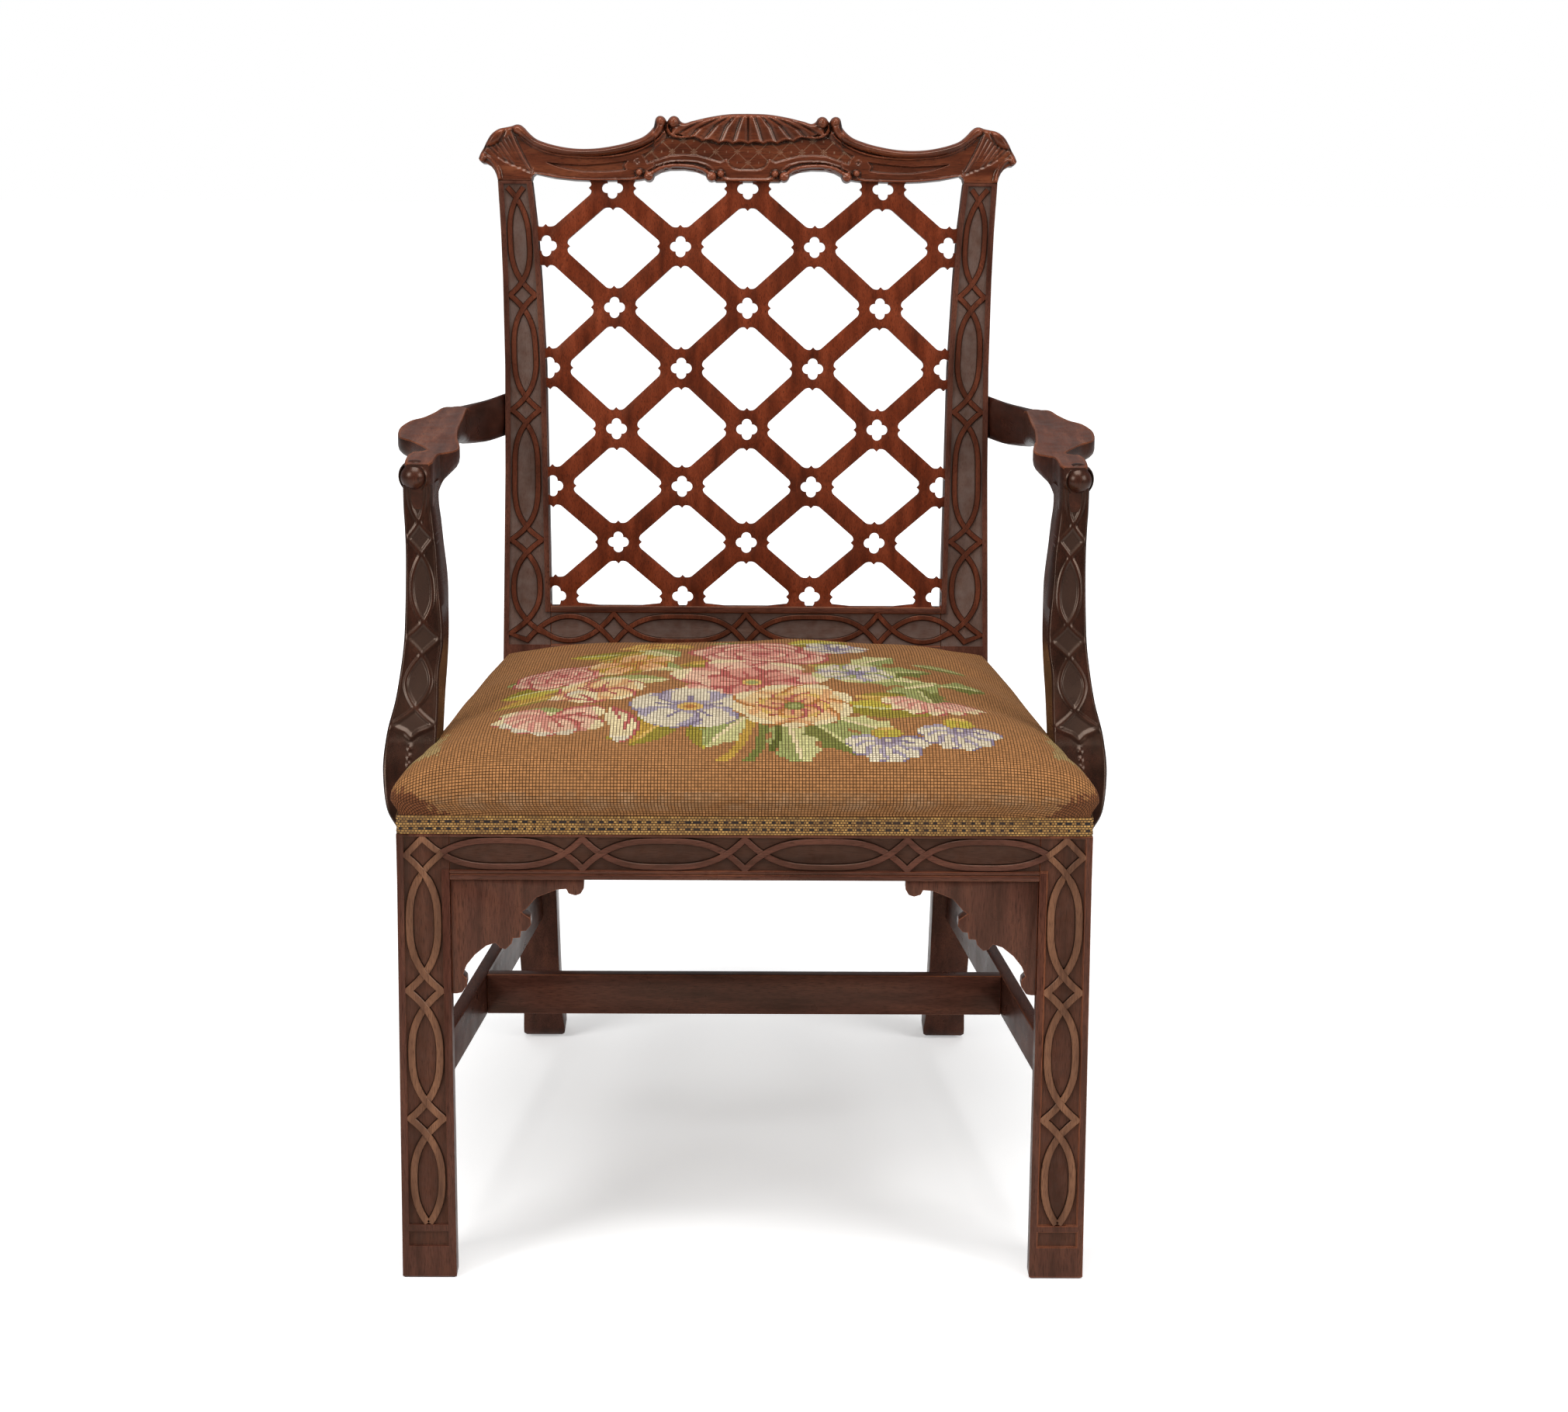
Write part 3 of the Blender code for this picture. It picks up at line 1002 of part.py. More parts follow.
# Webbing: straps run front to back, then side to side over them
web_low = RAIL_TOP + GAP
long_front = FRONT_Y + RAIL_THICK - WEB_LANDING
long_back = back_rail_front + WEB_LANDING
web_pitch = REAR_INNER_X * 2 / WEB_LONG_STRAPS * 0.92
for number in range(WEB_LONG_STRAPS):
    middle = (number - (WEB_LONG_STRAPS - 1) / 2) * web_pitch
    box(f"webbing_long_{number + 1}", (middle - WEB_WIDTH / 2, long_front, web_low), (middle + WEB_WIDTH / 2, long_back, web_low + WEB_THICK), WEBBING)
cross_low = web_low + WEB_THICK + GAP
for number in range(WEB_CROSS_STRAPS):
    middle_y = (LEG_BACK_Y + BACK_FRONT_Y) / 2 + (number - (WEB_CROSS_STRAPS - 1) / 2) * WEB_WIDTH * 2.2

    def strap_corner(x, y, z, middle_y=middle_y):
        place_y = middle_y + y * WEB_WIDTH / 2
        return (x * side_x(place_y, RAIL_THICK - WEB_LANDING), place_y, pick(z, cross_low, cross_low + WEB_THICK))

    block(f"webbing_cross_{number + 1}", strap_corner, WEBBING)

# Base cloth over the webbing
cloth_low = cross_low + WEB_THICK + GAP
cloth_top = cloth_low + CLOTH_THICK


def cloth_corner(x, y, z):
    place_y = pick(y, FRONT_Y + RAIL_THICK / 2, BACK_FRONT_Y - GAP * 3 - COVER_THICK)
    return (x * side_x(place_y, RAIL_THICK / 2), place_y, pick(z, cloth_low, cloth_top))


base_cloth = block("base_cloth", cloth_corner, HESSIAN)


# Seat: the stuffing is a closed crowned form, and the needlepoint cover is a skin over the same form
SEAT_ACROSS_SHARES = (0.0, 0.20, 0.38, 0.54, 0.68, 0.80, 0.89, 0.95, 0.985, 1.0)
SEAT_DEEP_SHARES = (0.0, 0.025, 0.07, 0.13, 0.22, 0.33, 0.45, 0.57, 0.68, 0.78, 0.87, 0.94, 0.985, 1.0)
SEAT_LEG_ROW = 2
SEAT_SQUARE_SHARES = ((0.0, 8.0), (0.12, 5.0), (0.30, 2.4), (0.60, 2.2), (1.0, 3.4))
SEAT_SIDE_POWER = 0.5
SEAT_TURN_SHARE = 0.25
SEAT_TURN_POWER = 12.0
SEAT_DOME_POWER = 0.8
SEAT_CORNER_SHARE = 0.12
# Each row of the skirt: its share of the roll and of the bulge at the front, and how far down it has come
SEAT_SKIRT_SHARES = ((0.65, 0.0, 0.12), (1.0, 0.40, 0.32), (1.0, 0.85, 0.55), (1.0, 1.0, 0.78), (1.0, 0.75, 1.0))
COVER_TUCK_SHARE = 0.35


def seat_key(place):
    return tuple(round(c / GAP) for c in place)


def seat_height(across, deep):
    """The seat's top above its side edge: a firm roll in front, and a crown that falls to the sides and the back."""
    edge = SEAT_FRONT_RISE + (SEAT_BACK_RISE - SEAT_FRONT_RISE) * deep - SEAT_SIDE_RISE
    middle = edge + SEAT_CROWN * (4 * deep * (1 - deep)) ** SEAT_DOME_POWER
    return middle * (1 - abs(across) ** along(SEAT_SQUARE_SHARES, deep)) ** SEAT_SIDE_POWER


def seat_form(room, low, hem=None):
    """The crowned top with a skirt drawn down round it; room grows the form, and hem draws the skirt on down."""
    bm = bmesh.new()
    columns = len(SEAT_ACROSS_SHARES) - 1
    rows = len(SEAT_DEEP_SHARES) - 1
    bmesh.ops.create_grid(bm, x_segments=columns * 2, y_segments=rows, size=1.0)
    back_y = BACK_FRONT_Y - GAP * 2 - COVER_THICK + room
    front_y = FRONT_Y + REBATE - room
    border = {}
    for vert in bm.verts:
        steps = round(vert.co.x * columns)
        across = math.copysign(SEAT_ACROSS_SHARES[abs(steps)], steps)
        row = round((vert.co.y + 1) / 2 * rows)
        deep = SEAT_DEEP_SHARES[row]
        y = LEG_BACK_Y if row == SEAT_LEG_ROW else front_y + SEAT_ROLL + (back_y - front_y - SEAT_ROLL) * deep
        foot = Vector((across * (foot_x(y) + room), front_y if row == 0 else y))
        bulge = SEAT_CORNER_BULGE * max(0.0, 1 - deep / SEAT_CORNER_SHARE)
        x = across * (foot_x(y) + room - SEAT_DRAW + bulge)
        vert.co = Vector((x, y, RAIL_TOP + SEAT_SIDE_RISE + seat_height(across, deep) + room))
        if vert.is_boundary:
            turn = SEAT_TURN_SHARE + (1 - SEAT_TURN_SHARE) * (1 - abs(across) ** SEAT_TURN_POWER) ** SEAT_SIDE_POWER
            border[seat_key(vert.co)] = (vert.co.copy(), foot, turn * (row == 0), row == rows)
    levels = [(roll, bulge, fall, None) for roll, bulge, fall in SEAT_SKIRT_SHARES]
    if hem is not None:
        levels += [(*levels[-1][:3], low - GAP), (1.0, COVER_TUCK_SHARE, 1.0, RAIL_TOP + GAP), (1.0, 0.0, 1.0, hem + BRAID_HEIGHT), (1.0, 0.0, 1.0, hem)]
    edges = [e for e in bm.edges if e.is_boundary]
    for number, (roll, bulge, fall, height) in enumerate(levels):
        made = bmesh.ops.extrude_edge_only(bm, edges=edges)["geom"]
        edges = [g for g in made if isinstance(g, bmesh.types.BMEdge) and g.is_boundary]
        lower = {}
        for vert in {v for e in edges for v in e.verts}:
            top, foot, turn, is_back = border[seat_key(vert.co)]
            vert.co = Vector((top.x, top.y - (roll * SEAT_ROLL + bulge * SEAT_BULGE) * turn, top.z + (low + room - top.z) * fall))
            if height is not None:
                vert.co.z = low - HIDDEN * number / len(levels) if is_back else height
            if number > len(SEAT_SKIRT_SHARES):
                vert.co.x = foot.x
                if turn:
                    vert.co.y = foot.y - bulge * SEAT_BULGE * turn
            lower[seat_key(vert.co)] = (top, foot, turn, is_back)
        border = lower
    # The same triangles in the stuffing and the cover, so that the two never touch
    bmesh.ops.triangulate(bm, faces=bm.faces[:], quad_method="FIXED", ngon_method="BEAUTY")
    return bm, [e for e in bm.edges if e.is_boundary]


def face_out(bm, centre):
    """Turns an open skin so that its outer side is the one away from the centre."""
    bm.normal_update()
    bmesh.ops.recalc_face_normals(bm, faces=bm.faces)
    if sum(f.normal.dot(f.calc_center_median() - centre) * f.calc_area() for f in bm.faces) < 0:
        bmesh.ops.reverse_faces(bm, faces=bm.faces)


def keep_skin(name, bm, mat, thick, even):
    """An open skin that is given a thickness on its outer side; even keeps that thickness at sharp corners."""
    face_out(bm, Vector((0.0, (FRONT_Y + BACK_FRONT_Y) / 2, RAIL_BOTTOM)))
    mesh = bpy.data.meshes.new(name)
    bm.to_mesh(mesh)
    bm.free()
    obj = keep(name, mesh, mat)
    skin = obj.modifiers.new("thickness", "SOLIDIFY")
    skin.thickness = thick
    skin.offset = 1.0
    skin.use_even_offset = even
    return obj


notches = [loft(f"seat_notch_{name}", support_rings(side, NOTCH_CLEARANCE, OVERRUN * 3), None, True) for name, side in SIDES]

stuffing_low = cloth_top + GAP
bm, foot_edges = seat_form(0.0, stuffing_low)
bmesh.ops.contextual_create(bm, geom=foot_edges)
stuffing = keep_bmesh("seat_stuffing", bm, STUFFING)
bm, foot_edges = seat_form(GAP, stuffing_low, COVER_HEM)
cover = keep_skin("needlepoint_cover", bm, NEEDLEPOINT, COVER_THICK, False)
for piece in (base_cloth, stuffing, cover):
    cut(piece, *notches)

# Gimp braid round the foot of the cover, broken by the arm supports
braid_off = GAP * 2 + COVER_THICK
braid_front = FRONT_Y + REBATE - braid_off
braid_break = SUPPORT_FRONT_Y + SUPPORT_DEPTH / 2


def band(name, path):
    bm = bmesh.new()
    verts = [bm.verts.new((x, y, COVER_HEM)) for x, y in path]
    edges = [bm.edges.new(pair) for pair in zip(verts, verts[1:])]
    made = bmesh.ops.extrude_edge_only(bm, edges=edges)["geom"]
    bmesh.ops.translate(bm, verts=[g for g in made if isinstance(g, bmesh.types.BMVert)], vec=(0.0, 0.0, BRAID_HEIGHT))
    obj = keep_skin(name, bm, BRAID, BRAID_THICK, True)
    cut(obj, *notches)


front_half = [(foot_x(y) + braid_off, y) for y in (braid_break, LEG_BACK_Y, braid_front)]
band("gimp_front", [(-x, y) for x, y in front_half] + front_half[::-1])
braid_end = BACK_FRONT_Y - GAP
for name, side in SIDES:
    band(f"gimp_side_{name}", [(side * (foot_x(y) + braid_off), y) for y in (braid_break, braid_end)])
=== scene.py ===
# %% [markdown]
# # An open armchair with a lattice back
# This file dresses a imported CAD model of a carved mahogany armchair. The CAD holds the sizes and the
# joints. Here each wooden member gets its carving and polish, and the seat gets its stuffed, stitched
# cover. Lengths are in metres, +X is to the right as seen from the front, the chair faces -Y, and +Z is up.

# %% Load the CAD model as a fixed frame
import math

import bmesh
import bpy
import numpy as np
from mathutils import Matrix, Vector, geometry, noise


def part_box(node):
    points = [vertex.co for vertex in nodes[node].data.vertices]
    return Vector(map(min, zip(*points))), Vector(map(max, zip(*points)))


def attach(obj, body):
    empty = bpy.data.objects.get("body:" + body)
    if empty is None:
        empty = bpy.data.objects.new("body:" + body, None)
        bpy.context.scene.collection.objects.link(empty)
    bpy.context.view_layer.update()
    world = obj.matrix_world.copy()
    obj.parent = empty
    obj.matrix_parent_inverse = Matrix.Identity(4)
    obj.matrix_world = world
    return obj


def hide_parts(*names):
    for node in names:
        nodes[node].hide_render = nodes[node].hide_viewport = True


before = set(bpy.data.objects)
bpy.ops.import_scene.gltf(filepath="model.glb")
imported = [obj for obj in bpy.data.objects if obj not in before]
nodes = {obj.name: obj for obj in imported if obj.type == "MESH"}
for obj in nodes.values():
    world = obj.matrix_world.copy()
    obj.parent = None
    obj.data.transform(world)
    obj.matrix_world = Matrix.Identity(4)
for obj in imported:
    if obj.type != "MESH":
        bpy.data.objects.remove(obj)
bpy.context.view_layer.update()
print(len(nodes), "CAD nodes")

# %% [markdown]
# The camera stands in front of the chair at a little over chest height and looks down at it with a long
# lens. The place, the tilt and the lens were found by matching the corners of the CAD model with the
# photograph.

# %% The camera
CAMERA_PLACE = Vector((0.0, -3.1944, 1.2935))
CAMERA_PITCH = math.radians(14.599)
CAMERA_YAW = math.radians(0.682)
CAMERA_ROLL = math.radians(0.42)
SENSOR_MM = 36.0
LENS_MM = 76.6


def camera_turn():
    """The camera's turn as a matrix, from its yaw, pitch and roll."""
    level = math.cos(CAMERA_PITCH)
    ahead = Vector((math.sin(CAMERA_YAW) * level, math.cos(CAMERA_YAW) * level, -math.sin(CAMERA_PITCH)))
    right = Vector((math.cos(CAMERA_YAW), -math.sin(CAMERA_YAW), 0.0))
    up = right.cross(ahead)
    leaning_right = right * math.cos(CAMERA_ROLL) + up * math.sin(CAMERA_ROLL)
    leaning_up = up * math.cos(CAMERA_ROLL) - right * math.sin(CAMERA_ROLL)
    return Matrix((leaning_right, leaning_up, -ahead)).transposed()


bpy.ops.object.camera_add(location=CAMERA_PLACE, rotation=camera_turn().to_euler())
camera = bpy.context.object
camera.data.sensor_width = SENSOR_MM
camera.data.sensor_fit = "HORIZONTAL"
camera.data.lens = LENS_MM
bpy.context.scene.camera = camera

# %% [markdown]
# Colours are written as sRGB hex values, as a paint chart gives them, and one function turns them to the
# linear values that shaders use. Small functions add the shader nodes that come back in most materials.

# %% Helpers for materials


def colour(hex_code):
    """An sRGB hex value as a linear colour."""
    parts = [int(hex_code[i:i + 2], 16) / 255 for i in (1, 3, 5)]
    return (*[p / 12.92 if p <= 0.04045 else ((p + 0.055) / 1.055) ** 2.4 for p in parts], 1.0)


def new_material(name, values=None):
    """A material and its surface node, with the values that are the same all over it."""
    material = bpy.data.materials.new(name)
    material.use_nodes = True
    surface = material.node_tree.nodes["Principled BSDF"]
    for socket, value in (values or {}).items():
        surface.inputs[socket].default_value = value
    return material, surface


def add_node(owner, kind, inputs=None, **settings):
    """Adds a shader node with its settings; an input is a value or another node's output."""
    node = owner.node_tree.nodes.new("ShaderNode" + kind)
    for name, value in settings.items():
        setattr(node, name, value)
    for socket, value in (inputs or {}).items():
        if isinstance(value, bpy.types.NodeSocket):
            owner.node_tree.links.new(value, node.inputs[socket])
        else:
            node.inputs[socket].default_value = value
    return node


def link(owner, output, node, socket):
    owner.node_tree.links.new(output, node.inputs[socket])


def object_places(material):
    return add_node(material, "TexCoord").outputs["Object"]


def cloud(material, where, scale, detail, roughness=0.5):
    """A noise pattern."""
    inputs = {"Vector": where, "Scale": scale, "Detail": detail, "Roughness": roughness}
    return add_node(material, "TexNoise", inputs).outputs["Fac"]


def spread(owner, value, low, high, start=0.0, end=1.0):
    """A value whose range from low to high is taken to the range from start to end."""
    inputs = {"Value": value, "From Min": low, "From Max": high, "To Min": start, "To Max": end}
    return add_node(owner, "MapRange", inputs).outputs["Result"]


def mixed(material, share, first, second, **settings):
    """Two colours mixed: share is how much there is of the second one."""
    inputs = {"Factor": share, "A": first, "B": second}
    return add_node(material, "Mix", inputs, data_type="RGBA", **settings).outputs["Result"]


def maths(material, operation, *values):
    return add_node(material, "Math", dict(enumerate(values)), operation=operation).outputs["Value"]


def bricks(material, where, colours, gap, softness, width, height, **settings):
    """A brick pattern with a first, a second and a gap colour."""
    inputs = {"Vector": where, "Scale": 1.0, "Mortar Size": gap, "Mortar Smooth": softness,
              "Brick Width": width, "Row Height": height}
    inputs.update(zip(("Color1", "Color2", "Mortar"), colours))
    return add_node(material, "TexBrick", inputs, **settings).outputs


def add_bump(material, surface, height, strength, distance, invert=False):
    """Small relief that only the light shows."""
    inputs = {"Height": height, "Strength": strength, "Distance": distance}
    bump = add_node(material, "Bump", inputs, invert=invert)
    link(material, bump.outputs["Normal"], surface, "Normal")


def ramp(material, share, stops):
    """A colour ramp with its stops given as place and hex value."""
    node = add_node(material, "ValToRGB", {"Fac": share})
    elements = node.color_ramp.elements
    elements[0].position, elements[0].color = stops[0][0], colour(stops[0][1])
    elements[1].position, elements[1].color = stops[-1][0], colour(stops[-1][1])
    for place, code in stops[1:-1]:
        elements.new(place).color = colour(code)
    return node.outputs["Color"]


# %% [markdown]
# ## Polished mahogany
# Old mahogany is a dark red-brown wood under a thin, worn polish. Its colour drifts in broad bands along
# the grain, and its pores show as fine dark dashes. The grain must follow each member, so the pattern is
# read from Object coordinates that a Mapping node stretches along one axis, and there is one material for
# each direction.

# %% The mahogany materials
PORE_LENGTH = 0.009
PORE_WIDTH = 0.0006
PORE_DEPTH = 0.0004
PORE_STRENGTH = 0.12
FIGURE_LENGTH = 0.120
FIGURE_WIDTH = 0.014
DUST_SCALE = 90.0
WEAR_SCALE = 35.0
GLOSS_LOSS = 0.10
GLOSS_GAIN = 0.05
GRAIN_AXES = {"x": 0, "y": 1, "z": 2}
OLD_POLISH = "#f0c09a"
DUST = "#5a4f4b"
SHINE = 0.30
COAT_ROUGHNESS = 0.22


def stretched(material, axis, length, width):
    """Object coordinates in pattern cells, which are long on one axis and narrow on the others."""
    scale = [1 / width] * 3
    scale[GRAIN_AXES[axis]] = 1 / length
    inputs = {"Vector": object_places(material), "Scale": scale}
    return add_node(material, "Mapping", inputs).outputs["Vector"]


def mahogany(name, axis, dark, middle, light, roughness, coat=0.12, dust=0.0):
    """Mahogany with its grain along one axis; dust greys the wood where nobody wipes it."""
    polish = {"Specular IOR Level": SHINE, "Specular Tint": colour(OLD_POLISH), "Coat Weight": coat}
    material, surface = new_material(name, {**polish, "Coat Roughness": COAT_ROUGHNESS})
    figure = cloud(material, stretched(material, axis, FIGURE_LENGTH, FIGURE_WIDTH), 1.0, 4.0, 0.6)
    tone = ramp(material, figure, ((0.28, dark), (0.52, middle), (0.78, light)))
    pores = cloud(material, stretched(material, axis, PORE_LENGTH, PORE_WIDTH), 1.0, 2.0)
    wood = mixed(material, spread(material, pores, 0.50, 0.72), tone, colour(dark))
    if dust:
        patches = cloud(material, object_places(material), DUST_SCALE, 3.0)
        wood = mixed(material, spread(material, patches, 0.30, 0.70, 0.0, dust), wood, colour(DUST))
    link(material, wood, surface, "Base Color")
    wear = cloud(material, object_places(material), WEAR_SCALE, 3.0)
    gloss = spread(material, wear, 0.3, 0.7, roughness - GLOSS_GAIN, roughness + GLOSS_LOSS)
    link(material, gloss, surface, "Roughness")
    add_bump(material, surface, pores, PORE_STRENGTH, PORE_DEPTH)
    return material


def mahogany_each_way(name, *values):
    """The same mahogany three times, with its grain along each axis."""
    return {axis: mahogany(f"{name}_{axis}", axis, *values) for axis in GRAIN_AXES}


# The values are the dark, middle and light tones, the roughness, the coat of polish and the dust
POLISHED = mahogany_each_way("polished_mahogany", "#2a130d", "#4a2920", "#5e3728", 0.30)
LEG_GROUND = mahogany("leg_ground_mahogany", "z", "#2c1812", "#48291f", "#583528", 0.50, 0.0, 0.10)
RAIL_GROUND = mahogany("rail_ground_mahogany", "x", "#26140f", "#3a231b", "#482c22", 0.50, 0.0, 0.10)
POST_GROUND = mahogany_each_way("dusty_mahogany", "#3a2822", "#4c3831", "#5c4840", 0.60, 0.0, 0.50)
SCUFFED = mahogany("scuffed_arm_top", "y", "#3a1b12", "#593022", "#7c4c38", 0.40, 0.1, 0.22)
RUBBED = mahogany_each_way("rubbed_mahogany", "#4a2416", "#683a26", "#844c30", 0.36)
LEG_BAND_WOOD = mahogany("leg_band_mahogany", "z", "#40261a", "#6a4733", "#865c42", 0.38, 0.15)
RAIL_BAND_WOOD = mahogany("rail_band_mahogany", "x", "#30180f", "#4e2d24", "#643c2e", 0.34, 0.1)
POST_BAND_WOOD = mahogany("post_band_mahogany", "z", "#32150b", "#4c2416", "#683624", 0.28, 0.3)
DARK_POLISH = mahogany_each_way("dark_polished_mahogany", "#1a0a06", "#331811", "#4a261a", 0.30, 0.22)
# A near-black mahogany painted on creases and recesses as shade
PAINTED_SHADE_WOOD = mahogany("painted_shade_mahogany", "z", "#120805", "#1e0e09", "#2a150e", 0.60, 0.0)
LATTICE = mahogany("lattice_mahogany", "z", "#3a1409", "#602714", "#7a3720", 0.28)
LATTICE_EDGE = mahogany("lattice_edge_mahogany", "z", "#461a0e", "#662c18", "#803c24", 0.34)
BEECH = mahogany("plain_beech", "x", "#8a6038", "#a87a4c", "#c09264", 0.65, 0.0)

# %% [markdown]
# ## Working on a copy of a CAD member
# A plain member is right already, but its edges are as sharp as a drawing. A maker takes every sharp edge
# off, and wear rubs the polish there. So a copy of the CAD mesh is merged, its flat faces are made whole,
# and a small bevel with its own, rubbed, material goes round its edges.

# %% Helpers for pieces
EDGE_WEAR = 0.0007
MERGE = 0.00001
FLAT_ANGLE = math.radians(0.4)
BEVEL_ANGLE = math.radians(32)
SMOOTH_ANGLE = math.radians(34)


def pick_only(piece):
    for other in bpy.context.selected_objects:
        other.select_set(False)
    piece.select_set(True)
    bpy.context.view_layer.objects.active = piece


def placed(name, mesh, materials=()):
    """An object at the origin for a mesh, picked for the next step."""
    piece = bpy.data.objects.new(name, mesh)
    bpy.context.scene.collection.objects.link(piece)
    for material in materials:
        mesh.materials.append(material)
    pick_only(piece)
    return piece


def new_piece(name, verts, faces, materials=()):
    mesh = bpy.data.meshes.new(name)
    mesh.from_pydata([tuple(v) for v in verts], [], faces)
    return placed(name, mesh, materials)


def edit_whole(*steps):
    """Runs mesh steps on the whole of the picked piece."""
    bpy.ops.object.mode_set(mode="EDIT")
    bpy.ops.mesh.select_all(action="SELECT")
    for step, settings in steps:
        step(**settings)
    bpy.ops.object.mode_set(mode="OBJECT")


def settle(piece, slot, *replaced):
    """The piece rides on the chair and stands for its CAD nodes, which are hidden; slot is not used."""
    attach(piece, "root")
    if replaced:
        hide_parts(*replaced)


def cleaned_copy(node, name):
    """A copy of a CAD node's mesh with its triangles joined into whole flat faces."""
    piece = placed(name, nodes[node].data.copy())
    piece.data.materials.clear()
    edit_whole((bpy.ops.mesh.remove_doubles, {"threshold": MERGE}),
               (bpy.ops.mesh.dissolve_limited, {"angle_limit": FLAT_ANGLE}))
    return piece


def eased(piece, body, edge, width=EDGE_WEAR):
    """Takes the sharp edges off a piece, with a rubbed finish on them."""
    piece.data.materials.append(body)
    piece.data.materials.append(edge)
    pick_only(piece)
    bevel = piece.modifiers.new("eased_edges", "BEVEL")
    bevel.width = width
    bevel.segments = 2
    bevel.limit_method = "ANGLE"
    bevel.angle_limit = BEVEL_ANGLE
    bevel.material = 1
    bevel.use_clamp_overlap = True
    bpy.ops.object.modifier_apply(modifier=bevel.name)
    bpy.ops.object.shade_smooth_by_angle(angle=SMOOTH_ANGLE)
    return piece


# %% The plain members
PLAIN_MEMBERS = {
    "back_seat_rail": "x", "cross_stretcher": "x", "side_rail_left": "y", "side_rail_right": "y",
    "side_stretcher_left": "y", "side_stretcher_right": "y", "front_bracket_left": "z",
    "front_bracket_right": "z",
}
for node, axis in PLAIN_MEMBERS.items():
    member = eased(cleaned_copy(node, f"polished_{node}"), POLISHED[axis], RUBBED[axis])
    settle(member, "mahogany", node)
for node in [n for n in nodes if n.startswith("corner_block")]:
    settle(eased(cleaned_copy(node, f"planed_{node}"), BEECH, BEECH), "beech_block", node)
print("plain members done")

# %% [markdown]
# ## The carved members
# The legs, the rails and the back posts carry a sunk fret: bands that weave through each other in long
# pointed ovals and small diamonds. The CAD holds the sunk ground. Here the ground gets its dull, dusty
# finish, and the bands are laid into it.

# %% Named sizes that repeat the CAD's
SIDES = (("left", -1), ("right", 1))
RAIL_TOP = 0.4525
BACK_FRONT_Y = 0.210
BACK_RAKE = math.radians(9.27)
BACK_UP = Vector((0.0, math.sin(BACK_RAKE), math.cos(BACK_RAKE)))
BACK_OUT = Vector((0.0, -math.cos(BACK_RAKE), math.sin(BACK_RAKE)))
BACK_BASE = Vector((0.0, BACK_FRONT_Y, RAIL_TOP))
FRONT_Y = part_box("front_leg_left")[0].y
LEG_BACK_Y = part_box("front_leg_left")[1].y
FRET_DEPTH = 0.0025
SAME_WAY = 0.95


def back_point(x, up, out):
    """A point of the raked back: up along the posts from the seat rail's top, out to the front."""
    return BACK_BASE + Vector((x, 0.0, 0.0)) + BACK_UP * up + BACK_OUT * out


def front_point(x, up, out):
    """A point before the flat front of the legs and the front rail."""
    return Vector((x, FRONT_Y - out, up))


def carve(node, axis, ground, outward, depth):
    """A member whose sunk faces, which lie behind its front and look the same way, have another finish."""
    member = eased(cleaned_copy(node, f"carved_{node}"), POLISHED[axis], RUBBED[axis])
    member.data.materials.append(ground)
    for face in member.data.polygons:
        if face.normal.dot(outward) > SAME_WAY and FRET_DEPTH * 0.8 < depth(face.center) < FRET_DEPTH * 2:
            face.material_index = 2
    settle(member, "mahogany", node)


for node, axis in {"front_leg_left": "z", "front_leg_right": "z", "front_rail": "x"}.items():
    ground = RAIL_GROUND if axis == "x" else LEG_GROUND
    carve(node, axis, ground, Vector((0.0, -1.0, 0.0)), lambda p: p.y - FRONT_Y)
for node, axis in {"back_post_left": "z", "back_post_right": "z", "lower_back_rail": "x"}.items():
    carve(node, axis, POST_GROUND[axis], BACK_OUT, lambda p: -(p - BACK_BASE).dot(BACK_OUT))

# %% [markdown]
# ## The fret
# Two bands weave through each other along each member. Between two diamonds, each band swings out to one
# side of a long pointed oval, crosses its partner, and comes back to a point on the border, where the next
# diamond's corner is. So one formula gives both bands: one swing for each stretch between diamonds, and its
# mirror image. Where bands cross, one rises a little and the other dips under it, as a carver cuts them.

# %% The line of a band
BAND_STEP = 0.0025


def swing(place, start, end, crossing, bulge, kink):
    """How far a band stands from the middle: -kink at both ends of a stretch, and bulge at its middle."""
    half = abs(end - start) / 2
    share = min(abs(place - (start + end) / 2) / half, 1.0)
    power = math.log(bulge / (bulge + kink)) / math.log(1 - crossing / half)
    return bulge - (bulge + kink) * share ** power


def band_line(kinks, crossing, bulge, kink, start=None, end=None):
    """Places along a member and offsets of a band whose kinks are given in order, from start to end."""
    line = []
    for first, second in zip(kinks, kinks[1:]):
        count = max(2, round(abs(second - first) / BAND_STEP))
        for k in range(count + (second == kinks[-1])):
            place = first + (second - first) * k / count
            line.append((place, swing(place, first, second, crossing, bulge, kink)))
    return [row for row in line if (start is None or row[0] >= start) and (end is None or row[0] <= end)]


# %% Curves through tables of values


def read(table, place):
    """The value that a table has at a place, on straight lines between its rows of place and value."""
    return np.interp(place, *zip(*table))


def run_lengths(rows):
    """How far each row of a table is along the line through all of them."""
    return np.concatenate([[0.0], np.cumsum(np.linalg.norm(np.diff(rows, axis=0), axis=1))])


def smooth_rows(rows, count):
    """Rows of a table read at even steps along a smooth curve through them."""
    table = np.array(rows, float)
    lengths = run_lengths(table)
    tangents = np.gradient(table, lengths, axis=0)
    result = []
    for place in np.linspace(0.0, lengths[-1], count):
        k = min(int(np.searchsorted(lengths, place, side="right")) - 1, len(lengths) - 2)
        span = lengths[k + 1] - lengths[k]
        t = (place - lengths[k]) / span
        first, second = table[k], table[k + 1]
        result.append((2 * t**3 - 3 * t**2 + 1) * first + (t**3 - 2 * t**2 + t) * span * tangents[k]
                      + (3 * t**2 - 2 * t**3) * second + (t**3 - t**2) * span * tangents[k + 1])
    return result


